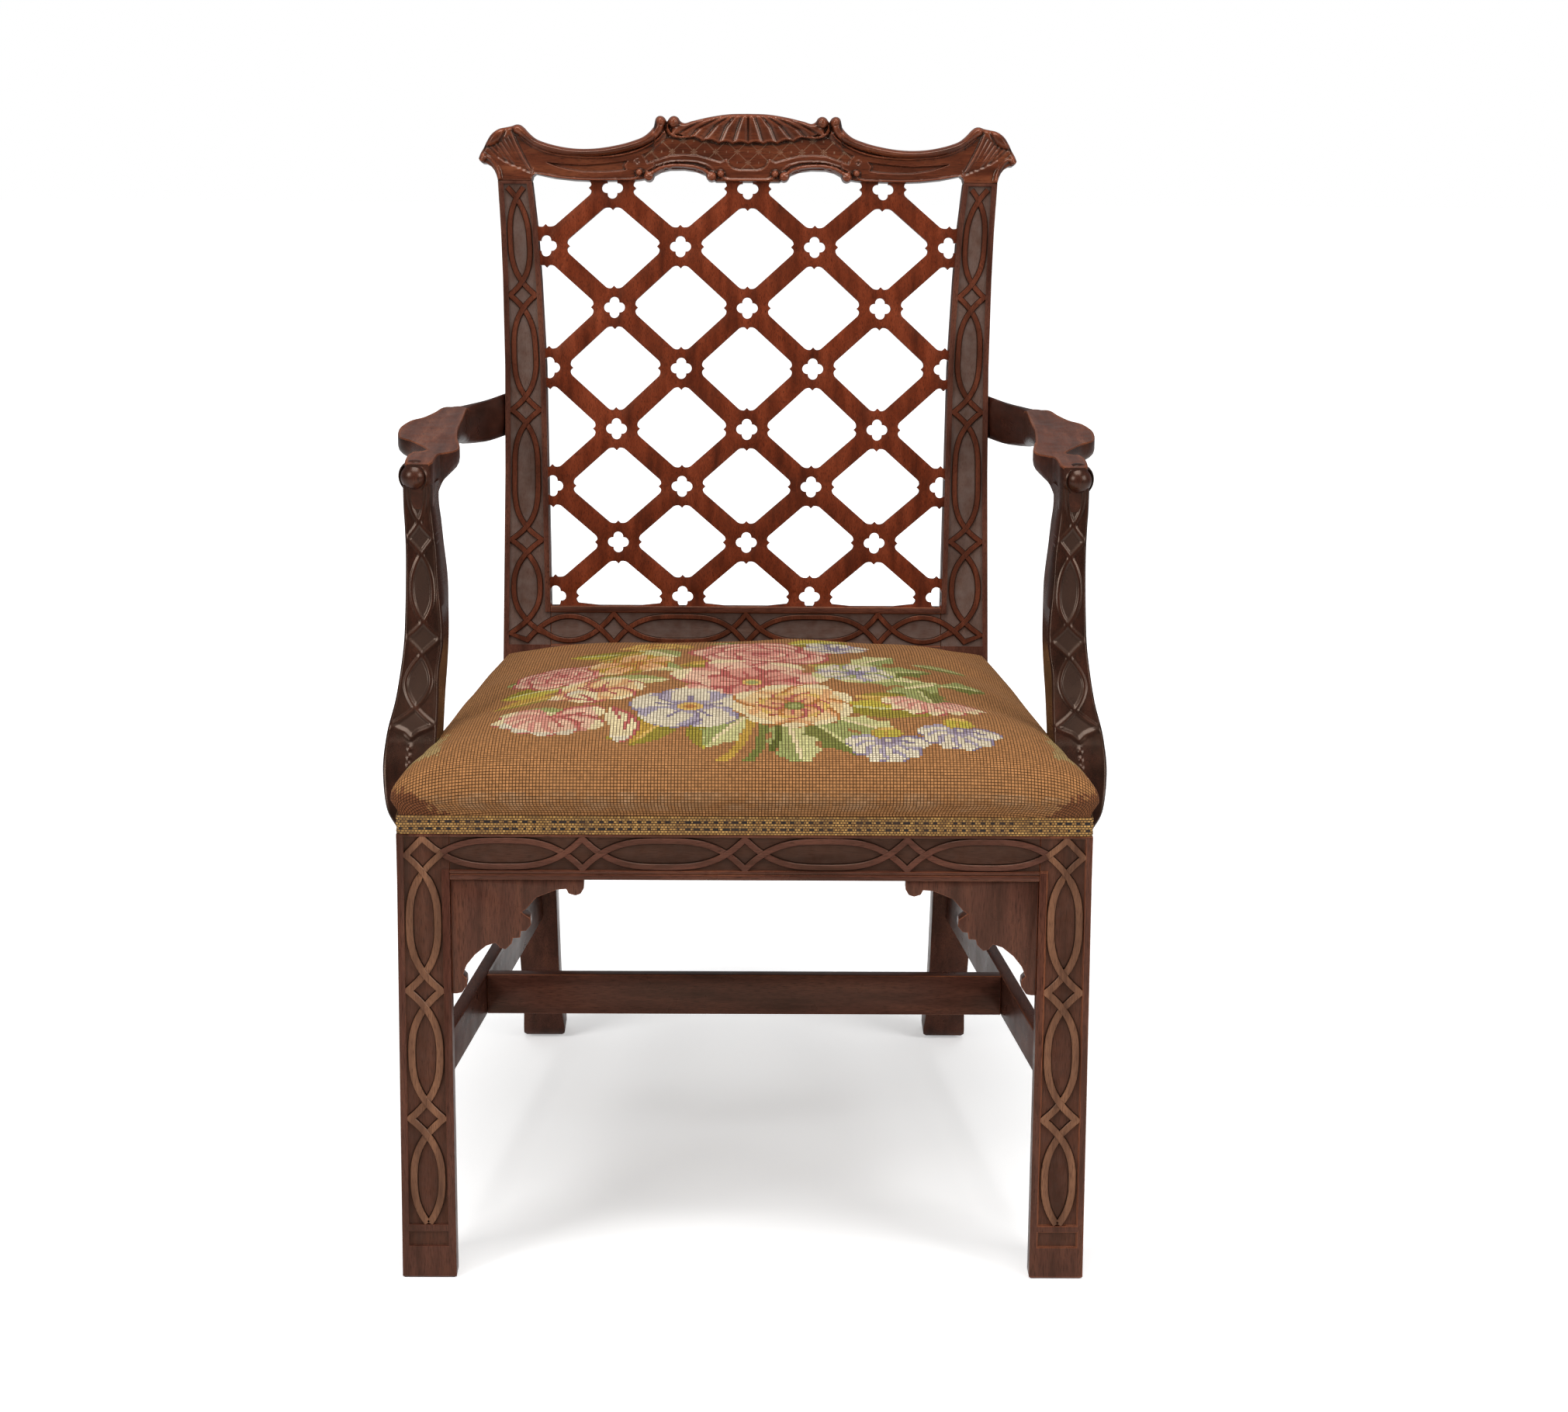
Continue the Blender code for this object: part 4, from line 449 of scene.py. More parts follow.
def loft(name, rings, materials):
    """A closed body through rings of points, with its ends closed by fans."""
    verts = [v for ring in rings for v in ring]
    size = len(rings[0])
    faces = [(r * size + i, r * size + (i + 1) % size, (r + 1) * size + (i + 1) % size, (r + 1) * size + i)
             for r in range(len(rings) - 1) for i in range(size)]
    for ring, row in ((rings[0], 0), (rings[-1], len(rings) - 1)):
        verts.append(sum((Vector(v) for v in ring), Vector()) / size)
        for i in range(size):
            faces.append((len(verts) - 1, row * size + i, row * size + (i + 1) % size))
    piece = new_piece(name, verts, faces, materials)
    edit_whole((bpy.ops.mesh.normals_make_consistent, {"inside": False}))
    bpy.ops.object.shade_smooth_by_angle(angle=SMOOTH_ANGLE)
    return piece


# %% A band of wood laid along a line
BAND_EDGE = 0.0006
CREASE_WIDTH = 0.0007
CREASE_LIFT = 0.00012
# Faces of a band's ring that take the painted shade: the crease's walls and floor and the band's sides
PAINTED_SHADE_FACES = (0, 1, 2, 6, 7, 8)
CROSSING_REACH = 0.0045
CROSSING_RISE = 0.0003
CROSSING_DIP = 0.0011
MITRE_LIMIT = 1.5
FRET_FLUSH = -0.0002
FRET_ROOT = FRET_DEPTH + EDGE_WEAR


def crossing_lift(point, overs, unders):
    lift = 0.0
    for places, amount in ((overs, CROSSING_RISE), (unders, -CROSSING_DIP)):
        for place in places:
            lift += amount * math.exp(-(math.dist(point, place) / CROSSING_REACH) ** 2)
    return lift


def inlaid_band(name, line, widths, place, materials, overs, unders):
    """A band with eased edges in a crease painted dark as shade: line is on the member's face, place lays it
    on the member.
    """
    rings = []
    crease = -FRET_DEPTH + CREASE_LIFT
    for i, point in enumerate(line):
        before, here, after = (Vector(line[min(max(k, 0), len(line) - 1)]) for k in (i - 1, i, i + 1))
        first, second = here - before, after - here
        first = first.normalized() if first.length else second.normalized()
        second = second.normalized() if second.length else first
        way = (first + second).normalized()
        across = Vector((-way.y, way.x))
        stretch = min(1 / max(across.dot(Vector((-first.y, first.x))), 0.5), MITRE_LIMIT)
        half = widths[i] / 2 * stretch
        reach = half + CREASE_WIDTH
        rise = FRET_FLUSH + crossing_lift(point, overs, unders)
        profile = [(half - BAND_EDGE, rise), (half, rise - BAND_EDGE), (half, crease)]
        profile += [(reach, crease), (reach, -FRET_ROOT)]
        ring = []
        for side, level in [(-side, level) for side, level in profile[::-1]] + profile:
            spot = here + across * side
            ring.append(place(spot.x, spot.y, level))
        rings.append(ring)
    band = loft(name, rings, [*materials, PAINTED_SHADE_WOOD])
    # The crease's walls and floor and the band's sides take the painted shade
    for i in range((len(rings) - 1) * len(rings[0])):
        if i % len(rings[0]) in PAINTED_SHADE_FACES:
            band.data.polygons[i].material_index = len(materials)
    return band


def beside(kinks, crossing):
    """The two crossings beside each kink, before and after it."""
    return [kink + step for kink in kinks for step in (-crossing, crossing)]


def lay_fret(member, lines, marks, width_at, place, materials):
    """The outer and the inner band of a fret; at the crossings in turn one rises and the other dips."""
    left, right = marks
    over, under = left[0::2] + right[1::2], left[1::2] + right[0::2]
    bands = []
    for part, line, overs, unders in (("outer", lines[0], over, under), ("inner", lines[1], under, over)):
        widths = [width_at(up) for _, up in line]
        bands.append(inlaid_band(f"{member}_fret_{part}", line, widths, place, materials, overs, unders))
    return bands


# %% The fret of the front legs and the front rail
LEG_FRET_INNER = 0.2719
LEG_FRET_OUTER = 0.3087
LEG_TAPER = 0.003
RAIL_BOTTOM = 0.3865
LEG_KINKS = (0.4087, 0.2805, 0.1570, 0.0370)
LEG_FRET_END = 0.0536
LEG_CROSSING = 0.0160
LEG_BAND = 0.0066
LEG_BULGE = 0.0128
LEG_KINK = 0.0152
RAIL_KINKS = (0.2888, 0.1456, 0.0, -0.1456, -0.2888)
RAIL_MIDDLE = 0.41075
RAIL_CROSSING = 0.0165
RAIL_BAND = 0.0056
RAIL_BULGE = 0.0122
RAIL_KINK = 0.0142


def leg_middle(z):
    return (LEG_FRET_INNER + LEG_FRET_OUTER - LEG_TAPER * min(z / RAIL_BOTTOM, 1.0)) / 2


def leg_line(side, inward):
    """A band up a leg, from the foot to the rail; inward bands have their kinks on the inner border."""
    line = band_line(LEG_KINKS[::-1], LEG_CROSSING, LEG_BULGE, LEG_KINK, start=LEG_FRET_END)
    turn = -1 if inward else 1
    return [(side * (leg_middle(z) - turn * offset), z) for z, offset in line]


def rail_line(kinks, middle, crossing, bulge, kink, turn):
    """A band along a rail from left to right; with turn -1 its kinks are at the top."""
    return [(x, middle + turn * offset) for x, offset in band_line(kinks[::-1], crossing, bulge, kink)]


def front_width(z):
    return LEG_BAND if z < RAIL_BOTTOM else RAIL_BAND


FRONT_WOODS = [LEG_BAND_WOOD, RAIL_BAND_WOOD]
FRONT_RAIL_BAND = (RAIL_KINKS, RAIL_MIDDLE, RAIL_CROSSING, RAIL_BULGE, RAIL_KINK)
corner_x = RAIL_KINKS[0]
outer_band = leg_line(-1, False) + rail_line(*FRONT_RAIL_BAND, -1) + leg_line(1, False)[::-1]
inner_rail = [(x, z) for x, z in rail_line(*FRONT_RAIL_BAND, 1) if abs(x) < corner_x - RAIL_CROSSING]
inner_band = leg_line(-1, True) + inner_rail + leg_line(1, True)[::-1]
leg_marks = [*beside((LEG_KINKS[2], LEG_KINKS[1]), LEG_CROSSING), LEG_KINKS[0] - LEG_CROSSING]
rail_marks = [corner_x - RAIL_CROSSING, *beside((RAIL_KINKS[1],), -RAIL_CROSSING), RAIL_CROSSING]
marks = [[(side * leg_middle(z), z) for z in leg_marks] + [(side * x, RAIL_MIDDLE) for x in rail_marks]
         for side in (-1, 1)]
for band in lay_fret("front", (outer_band, inner_band), marks, front_width, front_point, FRONT_WOODS):
    for polygon in band.data.polygons:
        on_rail = polygon.center.z > RAIL_BOTTOM and abs(polygon.center.x) < LEG_FRET_INNER
        if polygon.material_index == 0 and on_rail:
            polygon.material_index = 1
    settle(band, "mahogany")

# %% The fret of the back posts and the lower rail
POST_KINKS = (0.0306, 0.1290, 0.2643, 0.3833, 0.4968, 0.5400)
POST_FRET_END = 0.4955
POST_CROSSING = 0.0138
POST_BAND = 0.0050
POST_BULGE = 0.80
POST_BORDER = 0.0055
REAR_OUTER_X = 0.2545
POST_HEIGHT = 0.501
POST_OUTER_SHARES = (
    (0.0, 1.0), (0.1, 0.998), (0.4, 0.990), (0.62, 0.990), (0.80, 0.998), (0.90, 1.006), (1.0, 1.018),
)
POST_INNER_SHARES = (
    (0.0, 0.806), (0.12, 0.806), (0.35, 0.816), (0.62, 0.824), (0.78, 0.840), (0.90, 0.857), (1.0, 0.880),
)
LOWER_KINKS = (0.2320, 0.1385, 0.0, -0.1385, -0.2320)
LOWER_MIDDLE = 0.03635
LOWER_CROSSING = 0.0150
LOWER_BULGE = 0.0128
LOWER_KINK = 0.0158


def post_outer(up):
    """How far a post's outer edge stands from the middle."""
    return REAR_OUTER_X * read(POST_OUTER_SHARES, up / POST_HEIGHT)


def post_inner(up):
    """How far a post's inner edge stands from the middle."""
    return REAR_OUTER_X * read(POST_INNER_SHARES, up / POST_HEIGHT)


def post_line(side, inward):
    """A band up a post, with its swing as wide as the post's sunk field is there."""
    line = []
    for up, offset in band_line(POST_KINKS, POST_CROSSING, POST_BULGE, 1.0, end=POST_FRET_END):
        outer, inner = post_outer(up) - POST_BORDER, post_inner(up) + POST_BORDER
        half = (outer - inner) / 2 - POST_BAND * 0.28
        line.append((side * ((outer + inner) / 2 + (1 if inward else -1) * offset * half), up))
    return line


LOWER_BAND = (LOWER_KINKS, LOWER_MIDDLE, LOWER_CROSSING, LOWER_BULGE, LOWER_KINK)
outer_band = post_line(-1, False)[::-1] + rail_line(*LOWER_BAND, 1)[1:-1] + post_line(1, False)
inner_rail = [(x, up) for x, up in rail_line(*LOWER_BAND, -1) if abs(x) < LOWER_KINKS[0] - LOWER_CROSSING]
inner_band = post_line(-1, True)[::-1] + inner_rail + post_line(1, True)
post_marks = [POST_KINKS[0] + POST_CROSSING, *beside(POST_KINKS[1:5], POST_CROSSING)]
rail_marks = [LOWER_KINKS[0] - LOWER_CROSSING, *beside((LOWER_KINKS[1],), -LOWER_CROSSING), LOWER_CROSSING]
marks = [[(side * (post_outer(up) + post_inner(up)) / 2, up) for up in post_marks[::-1]]
         + [(side * x, LOWER_MIDDLE) for x in rail_marks] for side in (-1, 1)]
BACK_WOODS = [POST_BAND_WOOD]
for band in lay_fret("back", (outer_band, inner_band), marks, lambda up: POST_BAND, back_point, BACK_WOODS):
    settle(band, "mahogany")

# %% [markdown]
# ## The lattice
# Its boards are glued edge to edge, so from a step away it is one pierced panel. Each opening is a diamond
# whose ends are cut flat by the crossings, with a small cusp in the middle, and every other crossing has a
# quatrefoil.

# %% Named sizes of the lattice
LATTICE_FRONT = -0.006
LATTICE_THICK = 0.011
LATTICE_BAR = 0.0198
LATTICE_ROWS = (-0.132, 0.0, 0.134, 0.272, 0.413, 0.562, 0.710, 0.859, 1.0, 1.141)
LATTICE_FIRST = 0.0699
LATTICE_TALL = 0.4246
LATTICE_PITCH = (0.06666, 0.07032)
LATTICE_COLUMNS = 3
REACH_ACROSS = 0.0218
REACH_UP = 0.0198
CUSP_HEIGHT = 0.0027
CUSP_HALF = 0.0026
SAWN_ROUND = 0.0030
SAWN_POINTS = 7
SAWN_EDGE = 0.0004
LOBE_RADIUS = 0.0052
LOBE_OFFSET = 0.0058
LOBE_STEPS = 12
LOBE_CROSSING = (LOBE_OFFSET + math.sqrt(2 * LOBE_RADIUS ** 2 - LOBE_OFFSET ** 2)) / 2
PANEL_LOW = 0.0560
PANEL_HIGH = 0.5165
CREST_ARCH_LOW = 0.5131
RAIL_LINE = 0.060
TONGUE = 0.0035
HIDDEN = 0.0008
LEAST_OPENING = 1e-7
CLOSE_POINTS = 1e-6


def lattice_node(row, column):
    """A crossing of the lattice; rows lie further apart and columns spread as they go up."""
    share = LATTICE_ROWS[row + 1]
    pitch = LATTICE_PITCH[0] + (LATTICE_PITCH[1] - LATTICE_PITCH[0]) * share
    return Vector((column * pitch, LATTICE_FIRST + LATTICE_TALL * share))


def turn_curve(start, corner, end, shares):
    """Points of a short curve that rounds a corner."""
    return [start * (1 - t) ** 2 + corner * 2 * t * (1 - t) + end * t ** 2 for t in shares]


def rounded_corners(outline, radii):
    """Replaces each corner of a closed outline by a short curve."""
    run = []
    for i, corner in enumerate(outline):
        before, after = outline[i - 1], outline[(i + 1) % len(outline)]
        if radii[i] == 0:
            run.append(corner)
            continue
        start = corner + (before - corner).normalized() * radii[i]
        end = corner + (after - corner).normalized() * radii[i]
        run += turn_curve(start, corner, end, np.linspace(0.0, 1.0, SAWN_POINTS))
    return run


def diamond_outline(row, column):
    """A diamond between four crossings, each end of which is cut flat and has a cusp."""
    steps = ((0, 1), (1, 0), (0, -1), (-1, 0))
    ends = [lattice_node(row + up, column + along) for up, along in steps]
    outline, radii = [], []
    for i, node in enumerate(ends):
        towards = (lattice_node(row, column) - node).normalized()
        reach = REACH_ACROSS if i % 2 == 0 else REACH_UP
        corners = []
        for neighbour in (ends[i - 1], ends[(i + 1) % 4]):
            edge = (neighbour - node).normalized()
            inward = Vector((-edge.y, edge.x))
            if inward.dot(towards) < 0:
                inward = -inward
            start = node + inward * (LATTICE_BAR / 2)
            run = (reach - (start - node).dot(towards)) / edge.dot(towards)
            corners.append(start + edge * run)
        flat = node + towards * reach
        first = (corners[0] - flat).normalized()
        cusp = [flat + first * CUSP_HALF, flat + towards * CUSP_HEIGHT, flat - first * CUSP_HALF]
        outline += [corners[0], *cusp, corners[1]]
        radii += [SAWN_ROUND, CUSP_HALF / 2, 0, CUSP_HALF / 2, SAWN_ROUND]
    return rounded_corners(outline, radii)


def quatrefoil_outline(row, column):
    node = lattice_node(row, column)
    spread_angle = math.acos((LOBE_CROSSING - LOBE_OFFSET) / LOBE_RADIUS)
    outline = []
    for quarter in range(4):
        middle = quarter * math.pi / 2
        lobe = node + Vector((math.cos(middle), math.sin(middle))) * LOBE_OFFSET
        for angle in np.linspace(-spread_angle, spread_angle, LOBE_STEPS):
            outline.append(lobe + Vector((math.cos(middle + angle), math.sin(middle + angle))) * LOBE_RADIUS)
    return outline


def in_sight(point):
    """Keeps an opening's point out of the tongues that the grooves hide."""
    up = min(max(point.y, RAIL_LINE - HIDDEN), CREST_ARCH_LOW + HIDDEN)
    limit = post_inner(up) + HIDDEN
    return (min(max(point.x, -limit), limit), up)


def counterclockwise(outline):
    """A closed outline without repeated points, turned to run counterclockwise; nothing if it has no area."""
    places = [Vector(place) for place in outline]
    loop = [place for i, place in enumerate(places) if (place - places[i - 1]).length > MERGE]
    area = sum(loop[i - 1].x * place.y - place.x * loop[i - 1].y for i, place in enumerate(loop)) / 2
    if abs(area) < LEAST_OPENING:
        return []
    return loop if area > 0 else loop[::-1]


low_half, high_half = post_inner(PANEL_LOW) + TONGUE, post_inner(PANEL_HIGH) + TONGUE / 2
outlines = [
    [(-low_half, PANEL_LOW), (low_half, PANEL_LOW), (high_half, PANEL_HIGH), (-high_half, PANEL_HIGH)],
]
for row in range(len(LATTICE_ROWS) - 2):
    for column in range(-LATTICE_COLUMNS, LATTICE_COLUMNS + 1):
        shape = quatrefoil_outline(row, column) if (row + column) % 2 else diamond_outline(row, column)
        outlines.append([in_sight(place) for place in shape])

# %% The panel: triangles inside its border and outside its openings, on two sides, with walls between
loops = [loop for loop in map(counterclockwise, outlines) if loop]
corners, drawn = [], []
for loop in loops:
    drawn.append(list(range(len(corners), len(corners) + len(loop))))
    corners += loop
places, _, triangles, _, _, sources = geometry.delaunay_2d_cdt(corners, [], drawn, 1, CLOSE_POINTS)
kept = [tuple(triangle) for triangle, source in zip(triangles, sources) if list(source) == [0]]
runs = {(triangle[i - 1], triangle[i]) for triangle in kept for i in range(3)}
used = sorted({corner for triangle in kept for corner in triangle})
bm = bmesh.new()
layers = []
for out in (LATTICE_FRONT, LATTICE_FRONT - LATTICE_THICK):
    layers.append({corner: bm.verts.new(back_point(*places[corner], out)) for corner in used})
for triangle in kept:
    for layer in layers:
        bm.faces.new([layer[corner] for corner in triangle])
for start, end in sorted(runs):
    if (end, start) not in runs:
        bm.faces.new((layers[0][start], layers[0][end], layers[1][end], layers[1][start]))
bmesh.ops.recalc_face_normals(bm, faces=bm.faces)
panel = bpy.data.meshes.new("pierced_lattice")
bm.to_mesh(panel)
bm.free()
lattice = eased(placed("pierced_lattice", panel), LATTICE, LATTICE_EDGE, SAWN_EDGE)
settle(lattice, "lattice_mahogany", *[n for n in nodes if n.startswith("lattice_board")])
print("lattice faces", len(lattice.data.polygons))

# %% [markdown]
# ## The carved crest rail
# The crest is the richest carving: a ribbed shell in the middle, curled ends on each side of it, a rolled
# top moulding, a diaper ground with fine incised lines, a scroll over the little arch, and reeded ears.
# Carving is relief: over each point of the face there is one depth. So the face is a fine grid, and its
# depth is built up from a few cuts that a carver makes: a raised bead, a cut groove, a sunk or raised area
# with a crisp edge. All places are in millimetres: out from the middle of the rail, and up along the back
# from the seat rail.

# %% The outline of the crest
MM = 0.001
CREST_TOP = (
    (0, 571.4), (20, 570.8), (40, 567.8), (58, 563.6), (67, 561.6), (70, 563.2), (72.5, 567), (76.7, 568.8),
    (80.5, 567.6), (83, 564.5), (84, 562.8), (85.5, 565.5), (88, 568), (91, 568.8), (94, 568), (96, 565.5),
    (96.8, 562), (97.5, 558), (100, 554.6), (107, 548.3), (121, 542.4), (139.5, 537.7), (160, 534.8),
    (183, 535), (200, 537.8), (210, 540.5), (220, 544.6), (226.8, 550.3), (232.4, 556.2), (236, 558.6),
    (240, 559), (244.5, 557.4), (251, 556), (257.5, 554.6), (265, 549.7), (270.6, 541.4), (274.5, 533.5),
    (276.4, 530.4), (277.8, 527.6), (278.5, 525.0),
)
CREST_FOOT = (
    (0, 501.4), (33, 501.4), (34.5, 502.6), (37.5, 501.7), (40.5, 502.6), (42.5, 505), (44, 508.3),
    (52.8, 512), (66, 513.8), (81, 513.5), (90, 511.4), (97, 507.5), (98, 504.5), (100, 502.2),
    (102.5, 501.4), (105.5, 502), (107.5, 503.6), (112, 502.8), (120, 502), (160, 501.4), (180, 502.2),
    (200, 504.3), (210, 506.3), (220, 508.4), (223, 506), (223.9, 501.3), (259.2, 501.3), (260, 506),
    (262.5, 511.5), (266, 516), (271, 519), (275, 519.2), (277.3, 520.8), (278.5, 523.2),
)
CREST_REACH = 278.5
CREST_COLUMNS = 800
CREST_ROWS = 100
CREST_THICK = 28.0
TOP_ROUND = 4.5
FOOT_ROUND = 0.8
TOP_LINE_STEPS = 180
TOP_SET_BACK = 5.0
ROW_CROWDING = 0.92
grid_x = np.linspace(-CREST_REACH, CREST_REACH, CREST_COLUMNS + 1)[:, None] * np.ones(CREST_ROWS + 1)
top_line = [tuple(place) for place in smooth_rows(CREST_TOP, TOP_LINE_STEPS)]
crest_top_u = read(top_line, np.abs(grid_x[:, 0]))
crest_foot_u = read(CREST_FOOT, np.abs(grid_x[:, 0]))
row_share = np.linspace(0.0, 1.0, CREST_ROWS + 1) ** ROW_CROWDING
grid_u = crest_foot_u[:, None] + (crest_top_u - crest_foot_u)[:, None] * row_share

# %% A carver's cuts


def blurred(field, passes):
    """A field softened by taking the mean of neighbours several times."""
    soft = field.copy()
    for _ in range(passes):
        soft[1:-1] = (soft[:-2] + 2 * soft[1:-1] + soft[2:]) / 4
        soft[:, 1:-1] = (soft[:, :-2] + 2 * soft[:, 1:-1] + soft[:, 2:]) / 4
    return soft


class CarvedFace:
    """A grid over a flat face: the place and the relief of each point, and how pale or dark it is."""

    def __init__(self, across, up):
        self.across, self.up = across, up
        self.relief = np.zeros_like(across)
        self.pale = np.zeros_like(across)
        self.dark = np.zeros_like(across)

    def distance(self, line):
        """The distance of each point to a run of places."""
        nearest = np.full(self.across.shape, 1e9)
        for (x0, u0), (x1, u1) in zip(line, line[1:]):
            dx, du = x1 - x0, u1 - u0
            t = np.clip(((self.across - x0) * dx + (self.up - u0) * du) / (dx * dx + du * du), 0.0, 1.0)
            nearest = np.minimum(nearest, np.hypot(self.across - x0 - t * dx, self.up - u0 - t * du))
        return nearest

    def area(self, outline, softness=0.5):
        """1 inside a closed outline, 0 outside it, with a short slope across its edge."""
        inside = np.zeros(self.across.shape, bool)
        for (x0, u0), (x1, u1) in zip(outline, [*outline[1:], outline[0]]):
            crosses = (u0 > self.up) != (u1 > self.up)
            with np.errstate(divide="ignore", invalid="ignore"):
                meets = (x1 - x0) * (self.up - u0) / (u1 - u0) + x0
            inside ^= crosses & (self.across < meets)
        away = self.distance([*outline, outline[0]])
        return np.clip(np.where(inside, away, -away) / softness / 2 + 0.5, 0.0, 1.0)

    def set_level(self, share, level):
        self.relief = self.relief * (1 - share) + level * share

    def raise_bead(self, line, width, level):
        """A round bead along a line; level is the height of its crest."""
        half = width / 2
        away = self.distance(line)
        body = level - half * (1 - np.sqrt(np.clip(1 - (away / half) ** 2, 0.0, 1.0)))
        self.relief = np.where(away < half, np.maximum(self.relief, body), self.relief)

    def raise_band(self, line, width, level):
        """A flat band along a line, with short sloping sides."""
        share = np.clip((width / 2 - self.distance(line)) / 0.5, 0.0, 1.0)
        self.relief = np.maximum(self.relief, self.relief * (1 - share) + level * share)

    def raise_ball(self, x, u, radius, level):
        away = np.hypot(self.across - x, self.up - u) / radius
        body = level - radius * 0.7 * (1 - np.sqrt(np.clip(1 - away**2, 0.0, 1.0)))
        self.relief = np.where(away < 1, np.maximum(self.relief, body), self.relief)

    def cut_groove(self, line, width, depth):
        self.relief = self.relief - depth * np.clip(1 - (self.distance(line) / (width / 2)) ** 2, 0.0, 1.0)

    def cues(self, reach=14, strength=0.55):
        """For the material: how far each point stands above its neighbours, and the pale and dark shares."""
        stands = np.clip(0.5 + (self.relief - blurred(self.relief, reach)) * strength, 0.0, 1.0)
        return np.stack([stands, self.pale, self.dark, np.ones_like(stands)], axis=2)


def rounded_line(places, count=40):
    """A smooth curve through a few places."""
    return [tuple(row) for row in smooth_rows(places, count)]


face = CarvedFace(np.abs(grid_x), grid_u)
across = face.across

# %% The ground, the diaper and the sunk crescents
GROUND_LEVEL = 0.6
DISH_FROM = 84
DISH_REACH = 26.0
DISH_HEIGHT = 3.0
CRESCENT_LEVEL = -1.6
CRESCENT = (
    (126.5, 513.0), (135, 511.6), (150, 510.6), (170, 510.6), (188, 513.3), (200, 516.8), (208.5, 520.0),
    (192.5, 518.4), (170, 517.2), (150, 518.8), (135, 520.6), (125, 522.0), (128.5, 517.5),
)
DIAPER_LEVEL = -0.9
DIAPER = (
    (0, 513), (10, 513), (16, 514.5), (20, 518.3), (22.5, 523.8), (28.5, 521), (39.5, 524.3), (52.8, 527.7),
    (66.8, 528.5), (81, 527.4), (90, 524.5), (104.5, 519.5), (105.5, 523), (109.5, 528.4), (101, 532.5),
    (93, 538.3), (84, 548.5), (60, 552), (0, 552), (-4, 552), (-4, 513),
)
DIAPER_PITCH = 22.4
DIAPER_TALL = 22.0
DIAPER_LOW = 521.0
LINE_HALF = 0.45
LINE_DEPTH = 0.30
LINE_LEAN = 0.7
DASHES = ((0.0, 0.0, 3.2, 0.5), (0.0, 0.0, 0.5, 2.8), (0.5, 0.0, 0.5, 1.1))
DASH_DEPTH = 0.25
DASH_GAP = 1.2
face.relief += GROUND_LEVEL
edge_below = crest_top_u[:, None] - grid_u
dish = np.clip(1 - edge_below / DISH_REACH, 0.0, 1.0) ** 2 * DISH_HEIGHT
face.relief += np.where(across > DISH_FROM, dish, 0.0)
face.set_level(face.area(CRESCENT), CRESCENT_LEVEL)
face.set_level(face.area(DIAPER, 0.4), DIAPER_LEVEL)
in_diaper = face.area(DIAPER, 0.3)
for slope in (1, -1):
    phase = (across * 2 / DIAPER_PITCH + slope * (grid_u - DIAPER_LOW) * 2 / DIAPER_TALL) / 2
    away = np.abs(phase - np.round(phase)) * DIAPER_PITCH * LINE_LEAN
    line = np.clip(1 - away / LINE_HALF, 0.0, 1.0) * in_diaper
    face.relief -= LINE_DEPTH * line
    face.pale = np.maximum(face.pale, line)
for along_x, along_u, reach_x, reach_u in DASHES:
    for shift in (0.0, 0.5):
        part_x = (across / DIAPER_PITCH + along_x + shift) % 1.0
        part_u = ((grid_u - DIAPER_LOW) / DIAPER_TALL + along_u + shift) % 1.0
        near_x = np.minimum(part_x, 1 - part_x) * DIAPER_PITCH
        near_u = np.minimum(part_u, 1 - part_u) * DIAPER_TALL
        clear = (near_x > DASH_GAP) | (near_u > DASH_GAP) | (reach_u < DASH_GAP) & (reach_x < DASH_GAP)
        dash = ((near_x < reach_x) & (near_u < reach_u)) * in_diaper * clear
        face.relief -= DASH_DEPTH * dash
        face.pale = np.maximum(face.pale, dash * 0.8)

# %% The shell
SHELL_GROOVES = (
    ((0, 540), (0, 572)),
    ((16, 540), (11.5, 555), (6, 570), (5, 572)),
    ((30.5, 540.3), (23.5, 557), (12.5, 570), (11, 572)),
    ((47.5, 542.6), (34, 558.6), (16.5, 569.5), (14, 572)),
    ((61, 545.8), (52.5, 555), (41.5, 560.4), (22, 569.5), (18, 572)),
    ((75, 548.5), (64, 554.5), (50.7, 562.0), (34, 568), (26, 572)),
    ((85, 546), (76, 557), (69, 562), (60, 565), (50, 572)),
)
SHELL_HEM = (
    (0, 540), (4, 541.4), (8, 541.9), (12, 541.4), (16, 540), (20, 541.5), (23, 542), (27, 541.5),
    (30.5, 540.3), (34, 542.3), (39, 543.9), (44, 543.6), (47.5, 542.6), (51, 545), (55, 546.7),
    (58.5, 546.6), (61, 545.8), (65, 547.6), (70, 548.6), (74, 548.6), (84, 548.0),
)
SHELL_SIDE = 79.0
SHELL_LEVEL = 2.4
SHELL_SWELL = 2.2
SHELL_RISE = 26.0
RIB_HEIGHT = 3.0
hem_u = read(SHELL_HEM, across)
groove_x = [read(sorted((u, x) for x, u in line), grid_u) for line in SHELL_GROOVES]
rib = np.zeros_like(across)
for first, second in zip(groove_x, groove_x[1:]):
    share = (across - first) / np.maximum(second - first, 0.5)
    arc = np.sqrt(np.clip(np.sin(np.pi * np.clip(share, 0, 1)), 0, 1))
    rib = np.where((share >= 0) & (share < 1), arc, rib)
shell_level = SHELL_LEVEL + SHELL_SWELL * np.clip((grid_u - hem_u) / SHELL_RISE, 0.0, 1.0) + RIB_HEIGHT * rib
shell_share = np.clip((grid_u - hem_u) / 0.8 + 0.5, 0.0, 1.0) * np.clip(SHELL_SIDE - across + 0.5, 0.0, 1.0)
face.set_level(shell_share, shell_level)

